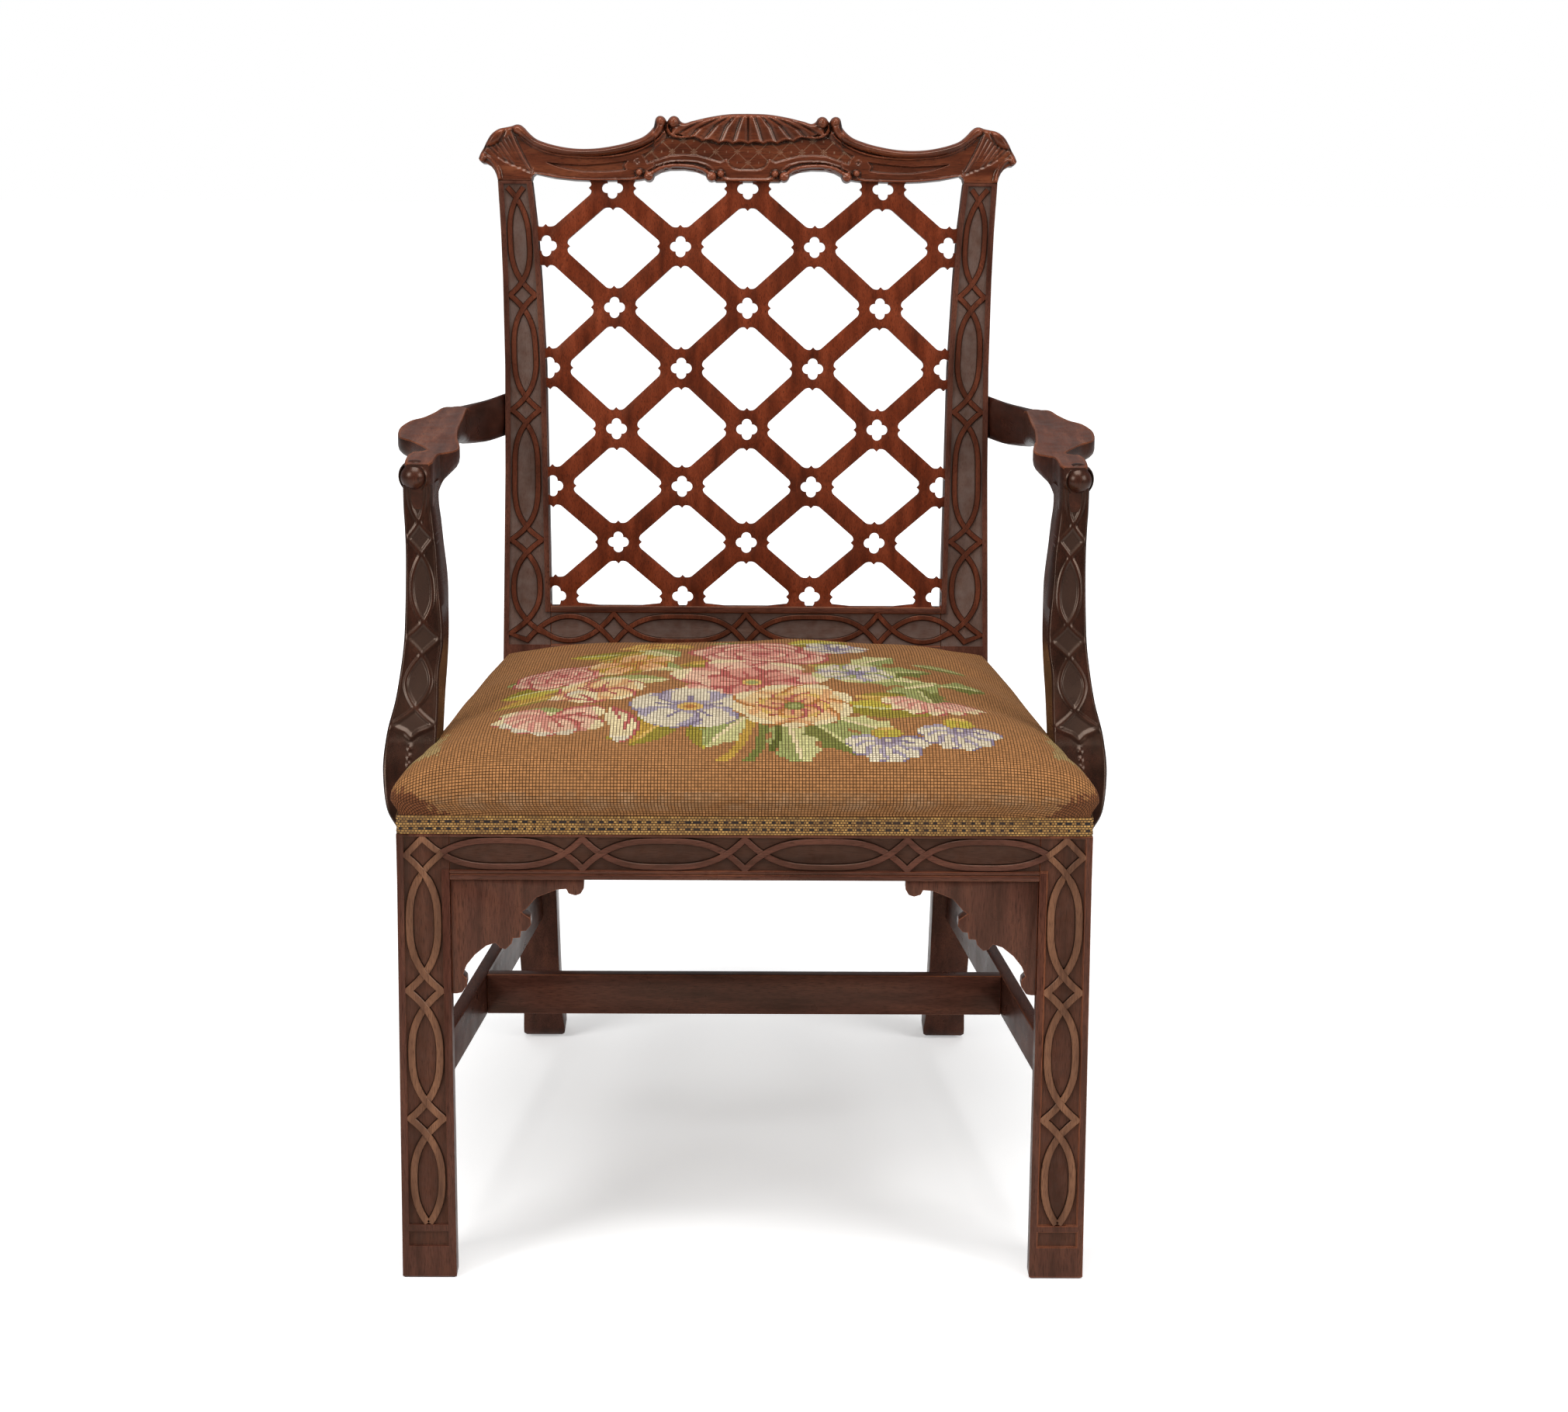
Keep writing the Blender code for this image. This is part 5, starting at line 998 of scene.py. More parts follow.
# %% The curled ends, the rolled top and the scroll over the arch
# Each bead has its places, the points of its curve, its width and the height of its crest
BEADS = (
    (((83.5, 559), (83.5, 555), (81, 550.5), (76.5, 547.6), (70, 546.6), (62, 547.2)), 40, 2.6, 5.2),
    (
        (
            (91, 561), (93.5, 554), (101, 546.5), (110.5, 541.4), (121, 538), (135, 534.4), (150, 531.8),
            (165, 531.0), (183, 531.6), (200, 534.2), (210, 536.9), (220, 540.9), (228, 546.6),
            (234, 551.4), (239, 554.4),
        ),
        90, 9.6, 7.4,
    ),
    (
        (
            (86.5, 552), (94, 543.8), (104, 537.6), (113.5, 533.0), (130, 528.3), (150, 525.8),
            (165, 525.2), (180, 525.8), (200, 528.2), (210, 531.0), (220, 535.2), (230, 541.4),
            (236, 546.6),
        ),
        80, 2.0, 3.6,
    ),
    (
        (
            (34, 510.8), (39.5, 516.4), (50, 520.4), (62, 521.7), (71.5, 521.8), (81, 521), (90, 518.4),
            (99.5, 515), (107, 510.5),
        ),
        40, 1.6, 1.9,
    ),
    (
        (
            (40, 508.5), (44, 512), (52, 515.2), (66, 517.1), (81, 516.8), (91, 514.4), (98.5, 510.2),
            (101.5, 507.5),
        ),
        40, 4.0, 5.2,
    ),
    (((0, 502.7), (14, 502.8), (22, 503.6), (27, 506.4), (28.6, 509)), 40, 2.2, 2.4),
    (
        (
            (222, 507.8), (210, 507.2), (200, 505.4), (180, 503.2), (160, 502.4), (140, 502.6),
            (120, 503.2), (114, 505.2), (112.6, 509),
        ),
        60, 2.2, 2.4,
    ),
    (((22.5, 523.8), (20, 518.3), (16, 514.5), (10, 513), (0, 513)), 40, 1.0, 1.1),
)
# Each ball has its place, its radius and the height of its crest
BALLS = (
    (76.7, 562.8, 6.4, 8.4), (91.0, 563.0, 6.2, 8.4), (37.8, 506.4, 5.0, 6.6), (102.6, 506.2, 5.0, 6.6),
    (28.3, 509.3, 3.5, 5.0), (112.6, 510.2, 3.3, 5.0),
)
# Each curled groove has its places, its width and its depth
CURLS = (
    (((79.6, 566), (81, 562.5), (79.8, 559.4), (76.8, 558.6), (74.6, 560.4), (75, 563)), 1.2, 0.9),
    (((88, 566), (86.8, 562.5), (88.2, 559.4), (91, 558.8), (93, 560.6), (92.4, 563)), 1.2, 0.9),
    (((34.8, 508.8), (37.6, 510), (40.4, 507.6), (39.2, 504.8), (36.8, 505.2)), 1.1, 0.8),
    (((105.6, 508.6), (102.8, 509.8), (100, 507.4), (101.2, 504.6), (103.6, 505.0)), 1.1, 0.8),
)
EYE = (114.5, 521.0)
EYE_RING = 2.8
EYE_PUPIL = 2.0
for places, count, width, level in BEADS:
    face.raise_bead(rounded_line(places, count), width, level)
for x, u, radius, level in BALLS:
    face.raise_ball(x, u, radius, level)
face.cut_groove(((84.2, 567), (84.6, 560), (85.2, 553), (82, 548)), 2.2, 2.2)
for places, width, depth in CURLS:
    face.cut_groove(rounded_line(places), width, depth)
from_eye = np.hypot(across - EYE[0], grid_u - EYE[1])
face.relief += 0.9 * np.clip(1 - np.abs(from_eye - EYE_RING) / 0.8, 0.0, 1.0)
face.relief -= 0.6 * np.clip(1 - from_eye / EYE_PUPIL, 0.0, 1.0)

# %% The reeded ears
EAR_LOBE = (
    (272.6, 536.2), (267, 535.8), (261.5, 537.6), (257.4, 540.6), (254.4, 544.6), (252.2, 549),
    (250.6, 554.5), (250.6, 564), (286, 564), (286, 536.2),
)
EAR_LOBE_EDGE = EAR_LOBE[:7]
EAR_FACE = (
    (243.6, 559), (250.6, 559), (284, 559), (284, 512), (262, 512), (259.6, 501), (224, 501), (223.6, 511),
    (231, 524.5), (238.5, 539), (242, 549),
)
EAR_FOOT = 506.0
EAR_TALL = 40.0
EAR_LEVEL = 0.3
EAR_SWELL = 2.6
LOBE_LEVEL = 2.2
LOBE_SWELL = 4.6
LOBE_SLOPE = 8.0
REED_POINTS = 34
ear_rise = np.clip((grid_u - EAR_FOOT) / EAR_TALL, 0.0, 1.0)
face.set_level(face.area(EAR_FACE, 0.7), EAR_LEVEL + EAR_SWELL * ear_rise)
lobe_away = np.clip(face.distance(EAR_LOBE_EDGE) / LOBE_SLOPE, 0.0, 1.0)
face.set_level(face.area(EAR_LOBE, 0.5), LOBE_LEVEL + LOBE_SWELL * np.sqrt(1 - (1 - lobe_away) ** 2))
REEDS = (
    ((243.6, 552), (239.2, 541), (231.8, 526), (223.9, 511.5)),
    ((247.4, 546.5), (242.6, 537), (234.6, 522.5), (226.0, 510.0)),
    ((251.0, 543.6), (245.6, 534), (237.2, 521), (228.6, 511.0)),
    ((254.8, 540.9), (249.0, 532), (240.4, 520.5), (232.4, 512.6)),
    ((258.8, 538.4), (252.8, 530), (245.0, 520.6), (237.6, 514.6)),
    ((263.2, 536.6), (257.2, 529.4), (250.2, 522.0), (243.6, 517.2)),
    ((267.8, 535.2), (262.4, 529.6), (256.4, 524.6), (250.4, 520.8)),
)
EAR_BEAD = ((277, 525.6), (271.5, 525.6), (266.0, 522.6), (261.8, 517.0), (258.6, 510.5), (257.4, 503.5))
for reed in REEDS:
    face.cut_groove(rounded_line(reed, REED_POINTS), 2.9, 1.7)
face.cut_groove(rounded_line(EAR_LOBE_EDGE, REED_POINTS), 2.2, 1.2)
face.raise_bead(rounded_line(EAR_BEAD), 4.4, 3.6)
face.raise_ball(275.4, 524.9, 5.0, 5.6)
face.set_level(face.area(EAR_FACE, 2.0), blurred(face.relief, 2))

# %% The rounded edges of the crest
top_away = face.distance(top_line)
round_share = np.sqrt(np.clip(1 - (1 - np.clip(top_away / TOP_ROUND, 0.0, 1.0)) ** 2, 0.0, 1.0))
face.relief = -TOP_SET_BACK + (face.relief + TOP_SET_BACK) * round_share
foot_away = np.clip(grid_u - crest_foot_u[:, None], 0.0, 1.0)
face.relief -= FOOT_ROUND * (1 - foot_away) ** 2
face.relief = blurred(face.relief, 1)
face.pale *= np.clip((hem_u - 0.6 - grid_u) / 0.6, 0.0, 1.0) + (across > SHELL_SIDE)
face.pale = np.clip(face.pale, 0.0, 1.0)
cues_grid = face.cues()
print("crest relief from", round(float(face.relief.min()), 1), "to", round(float(face.relief.max()), 1), "mm")

# %% The crest's mesh
PLAIN_CUE = (0.5, 0.0, 0.0, 1.0)
CARVED_ANGLE = math.radians(70)
# Points at the back of a section: how far below the top or above the foot they are at most, the same as a
# share of the height, and how far back they are
BACK_FROM_TOP = (
    (0.4, 0.1, -10.0), (0.8, 0.15, -18.0), (2.5, 0.25, 2.5 - CREST_THICK), (5.0, 0.35, 0.4 - CREST_THICK),
)
BACK_FROM_FOOT = (
    (4.0, 0.30, 0.4 - CREST_THICK), (1.0, 0.15, 1.4 - CREST_THICK), (0.0, 0.0, 3.0 - CREST_THICK),
    (0.0, 0.0, -12.0),
)


def carved_loft(name, rings, front_cues, material):
    """A carved body: the first points of each ring have the carving's cues, the others the plain cue."""
    piece = loft(name, rings, [material])
    cues = []
    for ring, row in zip(rings, front_cues):
        cues += [tuple(cue) for cue in row] + [PLAIN_CUE] * (len(ring) - len(row))
    cues += [PLAIN_CUE] * (len(piece.data.vertices) - len(cues))
    carving = piece.data.attributes.new(name="carving", type="FLOAT_COLOR", domain="POINT")
    carving.data.foreach_set("color", np.array(cues, dtype=np.float32).ravel())
    pick_only(piece)
    bpy.ops.object.shade_smooth_by_angle(angle=CARVED_ANGLE)
    return piece


def carved_wood(name, axis, woods, rub, line_share, roughness, coat):
    """Mahogany with painted shade that darkens its hollows, and whose raised edges are rubbed to a warm
    brown.
    """
    material = mahogany(name, axis, *woods, roughness, coat)
    surface = material.node_tree.nodes["Principled BSDF"]
    cue = add_node(material, "Attribute", attribute_name="carving").outputs["Color"]
    stands, pale, dark = add_node(material, "SeparateColor", {"Color": cue}).outputs
    wood = surface.inputs["Base Color"].links[0].from_socket
    # Painted shade: the further a point lies below its neighbours, the nearer its colour goes to near-black
    wood = mixed(material, spread(material, stands, 0.46, 0.12, 0.0, 0.85), wood, colour("#120704"))
    wood = mixed(material, spread(material, stands, 0.62, 1.0, 0.0, 0.30), wood, colour(rub))
    wood = mixed(material, maths(material, "MULTIPLY", pale, line_share), wood, colour("#806450"))
    wood = mixed(material, dark, wood, colour("#33251f"))
    link(material, wood, surface, "Base Color")
    return material


CREST_WOODS = ("#321409", "#542716", "#703d25")
SUPPORT_WOODS = ("#140805", "#29130c", "#3c1e15")
CRESTING = carved_wood("carved_crest_mahogany", "x", CREST_WOODS, "#98543a", 0.65, 0.24, 0.34)
SUPPORT_WOOD = carved_wood("carved_support_mahogany", "z", SUPPORT_WOODS, "#4a2618", 0.08, 0.27, 0.22)
rings = []
for i in range(CREST_COLUMNS + 1):
    x, top, foot = float(grid_x[i, 0]), float(crest_top_u[i]), float(crest_foot_u[i])
    tall = top - foot
    section = [(float(grid_u[i, k]), float(face.relief[i, k])) for k in range(CREST_ROWS + 1)]
    section += [(top - min(most, tall * share), out) for most, share, out in BACK_FROM_TOP]
    section += [(foot + min(most, tall * share), out) for most, share, out in BACK_FROM_FOOT]
    rings.append([back_point(x * MM, u * MM, out * MM) for u, out in section])
crest = carved_loft("carved_crest_rail", rings, cues_grid, CRESTING)
settle(crest, "mahogany", "crest_rail")
print("crest faces", len(crest.data.polygons))

# %% [markdown]
# ## The arms and their supports
# An arm runs forward from the back post, widens to a pad with a crisp worn rim, pinches to a notch and ends
# in a block with a round boss. It is lofted through measured sections, with a smooth curve between them.

# %% The arm
ARM_JOINT_X = 0.2523
ARM_JOINT_Y = 0.2554
ARM_SPAN = 0.0642
ARM_REACH = 0.4072
ARM_BOTTOM = 0.6840
ARM_HEIGHT = 0.0501
ARM_ROWS = 130
# A section's inner edge and outer edge, each as a share out and a share along, its top and its underside as
# shares of the height, then how full its underside is, how dished its top is, and how oval it is
ARM_STATIONS = (
    (0.000, 0.000, 0.000, -0.071, 0.88, 0.00, 0.10, 0.0, 1.0),
    (0.182, 0.096, 0.330, 0.077, 0.90, 0.04, 0.10, 0.0, 1.0),
    (0.338, 0.176, 0.533, 0.152, 0.93, 0.11, 0.12, 0.1, 0.95),
    (0.424, 0.228, 0.680, 0.198, 0.95, 0.17, 0.18, 0.3, 0.80),
    (0.446, 0.256, 0.765, 0.230, 0.985, 0.22, 0.24, 0.6, 0.20),
    (0.466, 0.300, 0.875, 0.292, 1.00, 0.29, 0.30, 0.9, 0.0),
    (0.461, 0.363, 0.939, 0.349, 1.00, 0.37, 0.40, 1.0, 0.0),
    (0.453, 0.430, 1.061, 0.419, 1.00, 0.45, 0.45, 1.0, 0.0),
    (0.450, 0.489, 1.260, 0.487, 1.00, 0.50, 0.50, 1.0, 0.0),
    (0.453, 0.560, 1.340, 0.569, 0.99, 0.50, 0.52, 1.0, 0.0),
    (0.421, 0.647, 1.320, 0.641, 0.97, 0.50, 0.52, 1.0, 0.0),
    (0.354, 0.725, 1.069, 0.706, 0.94, 0.49, 0.52, 1.0, 0.0),
    (0.320, 0.782, 0.840, 0.774, 0.92, 0.45, 0.55, 0.8, 0.0),
    (0.385, 0.819, 0.800, 0.806, 0.91, 0.40, 0.50, 0.5, 0.0),
    (0.500, 0.856, 0.880, 0.840, 0.93, 0.30, 0.30, 0.3, 0.0),
    (0.580, 0.893, 0.980, 0.872, 0.95, 0.12, 0.12, 0.1, 0.0),
    (0.590, 0.942, 1.010, 0.935, 0.96, 0.06, 0.06, 0.0, 0.0),
    (0.600, 0.985, 1.005, 0.985, 0.95, 0.06, 0.06, 0.0, 0.0),
    (0.650, 0.999, 0.970, 0.999, 0.92, 0.08, 0.10, 0.0, 0.0),
)
ARM_DISH = 0.0020
ARM_RIM = 0.0014
OVAL_POWER = 2.5
OVAL_ANGLES = (140, 124, 107, 90, 73, 56, 40, 27, 12, *[-15 * k for k in range(13)], 168, 153)


def arm_place(across, along, up):
    """A place on the arm, given in shares of its span, its reach and its height."""
    x, y = ARM_JOINT_X + across * ARM_SPAN, ARM_JOINT_Y - along * ARM_REACH
    return Vector((x, y, ARM_BOTTOM + up * ARM_HEIGHT))


def arm_ring(row, side):
    """A section of the arm: oval near the post, then a dished top with crisp rims and a rounded underside."""
    inner_x, inner_y, outer_x, outer_y, top, low, rim, dish, oval = row
    inner, outer = arm_place(inner_x, inner_y, low), arm_place(outer_x, outer_y, low)
    height = (top - low) * ARM_HEIGHT
    edge = ARM_RIM / (outer - inner).length
    points = []
    for u in (-1 + 4 * edge, -0.6, -0.25, 0.0, 0.25, 0.6, 1 - 4 * edge):
        points.append((u, height - dish * ARM_DISH * (1 - u * u) ** 0.7))
    points += [(1 - edge * 0.7, height), (1.0, height - ARM_RIM)]
    points += [(math.cos(t), height * rim * (1 - math.sin(t) ** 0.9)) for t in np.linspace(0.0, math.pi, 13)]
    points += [(-1.0, height - ARM_RIM), (-1 + edge * 0.7, height)]
    ring = []
    for (u, v), angle in zip(points, OVAL_ANGLES):
        c, s = math.cos(math.radians(angle)), math.sin(math.radians(angle))
        oval_u = math.copysign(abs(c) ** (2 / OVAL_POWER), c)
        oval_v = height / 2 * (1 + math.copysign(abs(s) ** (2 / OVAL_POWER), s))
        u, v = u + (oval_u - u) * oval, v + (oval_v - v) * oval
        ring.append(inner.lerp(outer, (u + 1) / 2) + Vector((0.0, 0.0, v)))
    return [Vector((side * p.x, p.y, p.z)) for p in ring]


RIM_FACES = (6, 7, 22, 23)
TOP_FACES = range(6)
for name, side in SIDES:
    rows = smooth_rows(ARM_STATIONS, ARM_ROWS)
    arm_rings = [arm_ring(row, side) for row in rows]
    arm = loft(f"carved_arm_{name}", arm_rings, [DARK_POLISH["y"], RUBBED["y"], SCUFFED])
    for r, row in enumerate(rows[:-1]):
        along, dish, oval = row[1], row[7], row[8]
        worn = [(RIM_FACES, 1)] if oval < 0.3 else []
        worn += [(TOP_FACES, 2)] if dish > 0.5 or along > 0.7 else []
        for places, index in worn:
            for i in places:
                arm.data.polygons[r * len(OVAL_ANGLES) + i].material_index = index
    settle(arm, "mahogany", f"arm_{name}")

# %% The arm's round boss
BOSS_RADIUS = 0.0128
BOSS_CENTRE = Vector((0.3078, -0.1440, 0.7170))
BOSS_LEAN = math.radians(22)
BOSS_POINTS = 44
BOSS_RINGS = 14
BOSS_FORWARD = 0.0005
COLLAR_BACK = 0.0040
COLLAR_PROFILE = (
    (0.0, 0.0156), (0.0040, 0.0160), (0.0068, 0.0155), (0.0084, 0.0142), (0.0080, 0.0134), (0.0050, 0.0130),
)
boss_out = Vector((math.sin(BOSS_LEAN), -math.cos(BOSS_LEAN), 0.0))
boss_aside = Vector((math.cos(BOSS_LEAN), math.sin(BOSS_LEAN), 0.0))
boss_profile = [(d - COLLAR_BACK, r) for d, r in COLLAR_PROFILE]
for t in np.linspace(0.0, math.pi / 2 * 0.97, BOSS_RINGS):
    boss_profile.append((BOSS_FORWARD + BOSS_RADIUS * math.sin(t), BOSS_RADIUS * math.cos(t)))
for name, side in SIDES:
    rings = []
    for forward, radius in boss_profile:
        ring = []
        for k in range(BOSS_POINTS):
            turn = 2 * math.pi * k / BOSS_POINTS
            rise = Vector((0.0, 0.0, radius * math.sin(turn)))
            spot = BOSS_CENTRE + boss_out * forward + boss_aside * radius * math.cos(turn) + rise
            ring.append(Vector((side * spot.x, spot.y, spot.z)))
        rings.append(ring)
    boss = loft(f"arm_boss_{name}", rings, [DARK_POLISH["z"], PAINTED_SHADE_WOOD])
    # The collar's inner slope, in the recess round the ball, takes the painted shade
    for polygon in boss.data.polygons[3 * BOSS_POINTS:5 * BOSS_POINTS]:
        polygon.material_index = 1
    settle(boss, "mahogany")

# %% The arm support
SIDE_SLOPE = 0.1162
SUPPORT_BOTTOM = 0.4025
SUPPORT_TOP = 0.6925
SUPPORT_FRONT_Y = -0.2678
SUPPORT_INNER_X = 0.2735
SUPPORT_SPREAD = 0.0556
SUPPORT_SWEEP = 0.116
SUPPORT_DEPTH = 0.056
SUPPORT_ROWS = 330
# A section's height, its outer edge, the inner edges of its front and its back, how far it has swept back,
# and its depth, all in shares
SUPPORT_STATIONS = (
    (0.000, 0.67, 0.150, 0.180, 0.00, 0.84),
    (0.035, 0.76, 0.150, 0.180, 0.01, 0.86),
    (0.103, 0.94, 0.150, 0.183, 0.05, 0.90),
    (0.215, 1.01, 0.150, 0.183, 0.18, 0.92),
    (0.303, 0.975, 0.140, 0.174, 0.32, 0.90),
    (0.414, 0.842, 0.135, 0.153, 0.49, 0.84),
    (0.483, 0.790, 0.140, 0.130, 0.59, 0.80),
    (0.586, 0.735, 0.083, 0.112, 0.70, 0.77),
    (0.665, 0.724, 0.110, 0.120, 0.77, 0.76),
    (0.748, 0.721, 0.158, 0.138, 0.84, 0.76),
    (0.862, 0.727, 0.200, 0.209, 0.92, 0.74),
    (0.931, 0.745, 0.250, 0.250, 0.965, 0.73),
    (1.000, 0.768, 0.290, 0.290, 1.00, 0.72),
    (1.060, 0.770, 0.290, 0.280, 1.00, 0.72),
)
SUPPORT_CORNER = 0.0042
CORNER_SHARES = [k / 6 for k in range(1, 6)]
FACE_POINTS = 72
SUPPORT_HEIGHT = SUPPORT_TOP - SUPPORT_BOTTOM
SUPPORT_MM = SUPPORT_HEIGHT / MM


def support_section(row):
    """The corners of a section of the support in plan: the front face from outside in, then the back face."""
    up, outer, front_inner, inner, sweep, depth = row
    x_out = SUPPORT_INNER_X + outer * SUPPORT_SPREAD
    x_front = SUPPORT_INNER_X + front_inner * SUPPORT_SPREAD
    x_in = SUPPORT_INNER_X + inner * SUPPORT_SPREAD
    y_front = SUPPORT_FRONT_Y + sweep * SUPPORT_SWEEP
    return x_out, x_front, x_in, y_front, y_front + depth * SUPPORT_DEPTH


# %% The fret on the support's front face, in millimetres from the middle of the face and from its foot
SUPPORT_KINKS = tuple(share * SUPPORT_HEIGHT for share in (0.336, 0.588, 0.894, 1.210))
SUPPORT_TIP = 0.300 * SUPPORT_MM
SUPPORT_CROSSING = 0.050 * SUPPORT_HEIGHT
SUPPORT_BULGE = 0.70
FACE_MARGIN = 0.8
FIELD_MARGIN = 1.6
FIELD_LEVEL = -0.5
OVAL_LEVEL = -1.2
OVAL_DARK = 0.75
FRET_BAND = 4.4
FRET_LEVEL = 0.4
FRET_GROOVE = 7.0
FRET_GROOVE_DEPTH = 0.6
# Each bead under the fret has its height as a share of the support and its radius
DROPS = ((0.274, 2.6), (0.250, 2.3), (0.228, 2.1))
DROP_LEVEL = 1.6
EDGE_REACH = 3.0
EDGE_DROP = 1.4
support_rows = smooth_rows(SUPPORT_STATIONS, SUPPORT_ROWS)
face_u, face_a = np.zeros((SUPPORT_ROWS, FACE_POINTS)), np.zeros((SUPPORT_ROWS, FACE_POINTS))
half_face = np.zeros(SUPPORT_ROWS)
for r, row in enumerate(support_rows):
    x_out, x_front, *_ = support_section(row)
    half_face[r] = (x_out - x_front) / 2 / MM - FACE_MARGIN
    face_u[r] = row[0] * SUPPORT_MM
    face_a[r] = np.linspace(half_face[r], -half_face[r], FACE_POINTS)
support_face = CarvedFace(face_a, face_u)
fret_lines = []
for turn in (1, -1):
    line = [(0.0, SUPPORT_TIP), (turn * 6.0, SUPPORT_TIP + 5.0)]
    for place, offset in band_line(SUPPORT_KINKS, SUPPORT_CROSSING, SUPPORT_BULGE, 1.0):
        half = float(np.interp(place / MM, face_u[:, 0], half_face)) - 1.2
        line.append((-turn * offset * half, place / MM))
    fret_lines.append(line)
inside = half_face[:, None] - np.abs(face_a)
above_tip = np.clip((face_u - SUPPORT_TIP + 4) / 6.0, 0.0, 1.0)
support_face.set_level(np.clip((inside - FIELD_MARGIN) / 0.8, 0.0, 1.0) * above_tip, FIELD_LEVEL)
first_x = read([(u, x) for x, u in fret_lines[0]], face_u)
between = (np.abs(face_a) < np.abs(first_x) - 1.0) & (face_u > SUPPORT_TIP)
support_face.set_level(between * 1.0, OVAL_LEVEL)
support_face.dark = np.maximum(support_face.dark, between * OVAL_DARK)
for line in fret_lines:
    support_face.cut_groove(line, FRET_GROOVE, FRET_GROOVE_DEPTH)
for line in fret_lines:
    support_face.raise_band(line, FRET_BAND, FRET_LEVEL)
for share, radius in DROPS:
    support_face.raise_ball(0.0, share * SUPPORT_MM, radius, DROP_LEVEL)
support_face.relief = blurred(support_face.relief, 3)
support_cues = support_face.cues(14, 0.6)
edge_fall = EDGE_DROP * (1 - np.sqrt(1 - (1 - np.clip(inside / EDGE_REACH, 0.0, 1.0)) ** 2))


def support_ring(r, side):
    """A section of the support: its carved front from outside in, then its inner, back and outer sides."""
    x_out, x_front, x_in, y_front, y_back = support_section(support_rows[r])
    z = SUPPORT_BOTTOM + support_rows[r][0] * SUPPORT_HEIGHT
    middle = (y_front + y_back) / 2
    x_middle = (x_out + x_front) / 2
    outline = []
    for k in range(FACE_POINTS):
        relief = support_face.relief[r, k] - edge_fall[r, k]
        outline.append(Vector((x_middle + face_a[r, k] * MM, y_front - relief * MM)))
    corner = SUPPORT_CORNER
    inner_start = Vector((x_front, y_front + corner * 0.6))
    inner_end = Vector((x_in, y_back - corner * 2))
    back_inner, back_outer = Vector((x_in + corner * 2, y_back)), Vector((x_out - corner * 2.5, y_back))
    outer_start = Vector((x_out - corner * 0.6, y_back - corner * 2))
    outer_end = Vector((x_out, y_front + corner * 0.6))
    outline += [inner_start, inner_start.lerp(inner_end, 0.5), inner_end]
    outline += turn_curve(inner_end, Vector((x_in, y_back)), back_inner, CORNER_SHARES)
    outline += [back_inner, back_outer]
    outline += turn_curve(back_outer, Vector((x_out - corner * 0.6, y_back)), outer_start, CORNER_SHARES)
    outline += [outer_start, outer_start.lerp(outer_end, 0.5), outer_end]
    return [Vector((side * (p.x - SIDE_SLOPE * (p.y - middle)), p.y, z)) for p in outline]


for name, side in SIDES:
    rings = [support_ring(r, side) for r in range(SUPPORT_ROWS)]
    support = carved_loft(f"carved_arm_support_{name}", rings, support_cues, SUPPORT_WOOD)
    settle(support, "mahogany", f"arm_support_{name}")
print("support faces", len(support.data.polygons))

# %% [markdown]
# ## The stuffed seat
# The seat is stuffed over the rails and covered in needlepoint: wool stitches on a canvas. Its mesh has one
# face for each stitch, counted along the surface from the middle and the front, so that a face can hold its
# own colour of wool. The form is the CAD's, worked out finely: a firm roll in front, and a crown that falls
# to the sides.

# %% The form of the seat
STITCH = 0.0030
COVER_HEM = 0.4287
BRAID_HEIGHT = 0.0175
REBATE = 0.0035
LEG_TOP_X = 0.312
SKIN = 0.0012
SEAT_LOW = 0.4575
SEAT_FRONT = FRONT_Y + REBATE - SKIN
SEAT_BACK = BACK_FRONT_Y - 0.0006
SIDE_RISE = 0.0075
FRONT_RISE = 0.0405
BACK_RISE = 0.0150
CROWN = 0.0430
ROLL = 0.010
DRAW = 0.003
BULGE = 0.0116
CORNER_BULGE = 0.0105
CORNER_SHARE = 0.12
SQUARENESS = ((0.0, 8.0), (0.12, 5.0), (0.30, 2.4), (0.60, 2.2), (1.0, 3.4))
TURN_SHARE = 0.25
TURN_POWER = 12.0
SKIRT_ROWS = 22
# The roll, the bulge and the fall at each step down the front
FRONT_FALL = (
    (0.35, 0.0, 0.03), (0.68, 0.02, 0.11), (0.92, 0.18, 0.22), (1.0, 0.45, 0.36), (1.0, 0.72, 0.50),
    (1.0, 0.92, 0.66), (1.0, 1.0, 0.80), (1.0, 0.92, 0.93), (1.0, 0.75, 1.0),
)
BRAID_COVERS = 0.003
TURN_OUT = 0.0004
TURN_DOWN = 0.001
FOOT_RISE = 0.0006
CALM_FRONT = 6
CALM_BACK = 8
FINE = 600


def foot_x(y):
    """The bottom of the rebate in the side rail, where the cover is nailed."""
    return LEG_TOP_X - SIDE_SLOPE * (max(y, LEG_BACK_Y) - LEG_BACK_Y) - REBATE + SKIN


def seat_y(deep):
    return SEAT_FRONT + ROLL + (SEAT_BACK - SEAT_FRONT - ROLL) * deep


def seat_top(across, deep):
    """The height of the seat's top: across from -1 to 1, deep from the front to the back."""
    edge = FRONT_RISE + (BACK_RISE - FRONT_RISE) * deep - SIDE_RISE
    middle = edge + CROWN * (4 * deep * (1 - deep)) ** 0.8
    power = read(SQUARENESS, deep)
    return RAIL_TOP + SIDE_RISE + SKIN + middle * (1 - np.abs(across) ** power) ** 0.5


def seat_edge_x(deep):
    return foot_x(seat_y(deep)) - DRAW + CORNER_BULGE * max(0.0, 1 - deep / CORNER_SHARE)


def evenly(points, count):
    """A run of points read at even steps along its length."""
    points = np.array(points, float)
    lengths = run_lengths(points)
    places = np.linspace(0.0, lengths[-1], count)
    return np.stack([np.interp(places, lengths, column) for column in points.T], axis=1), lengths[-1]


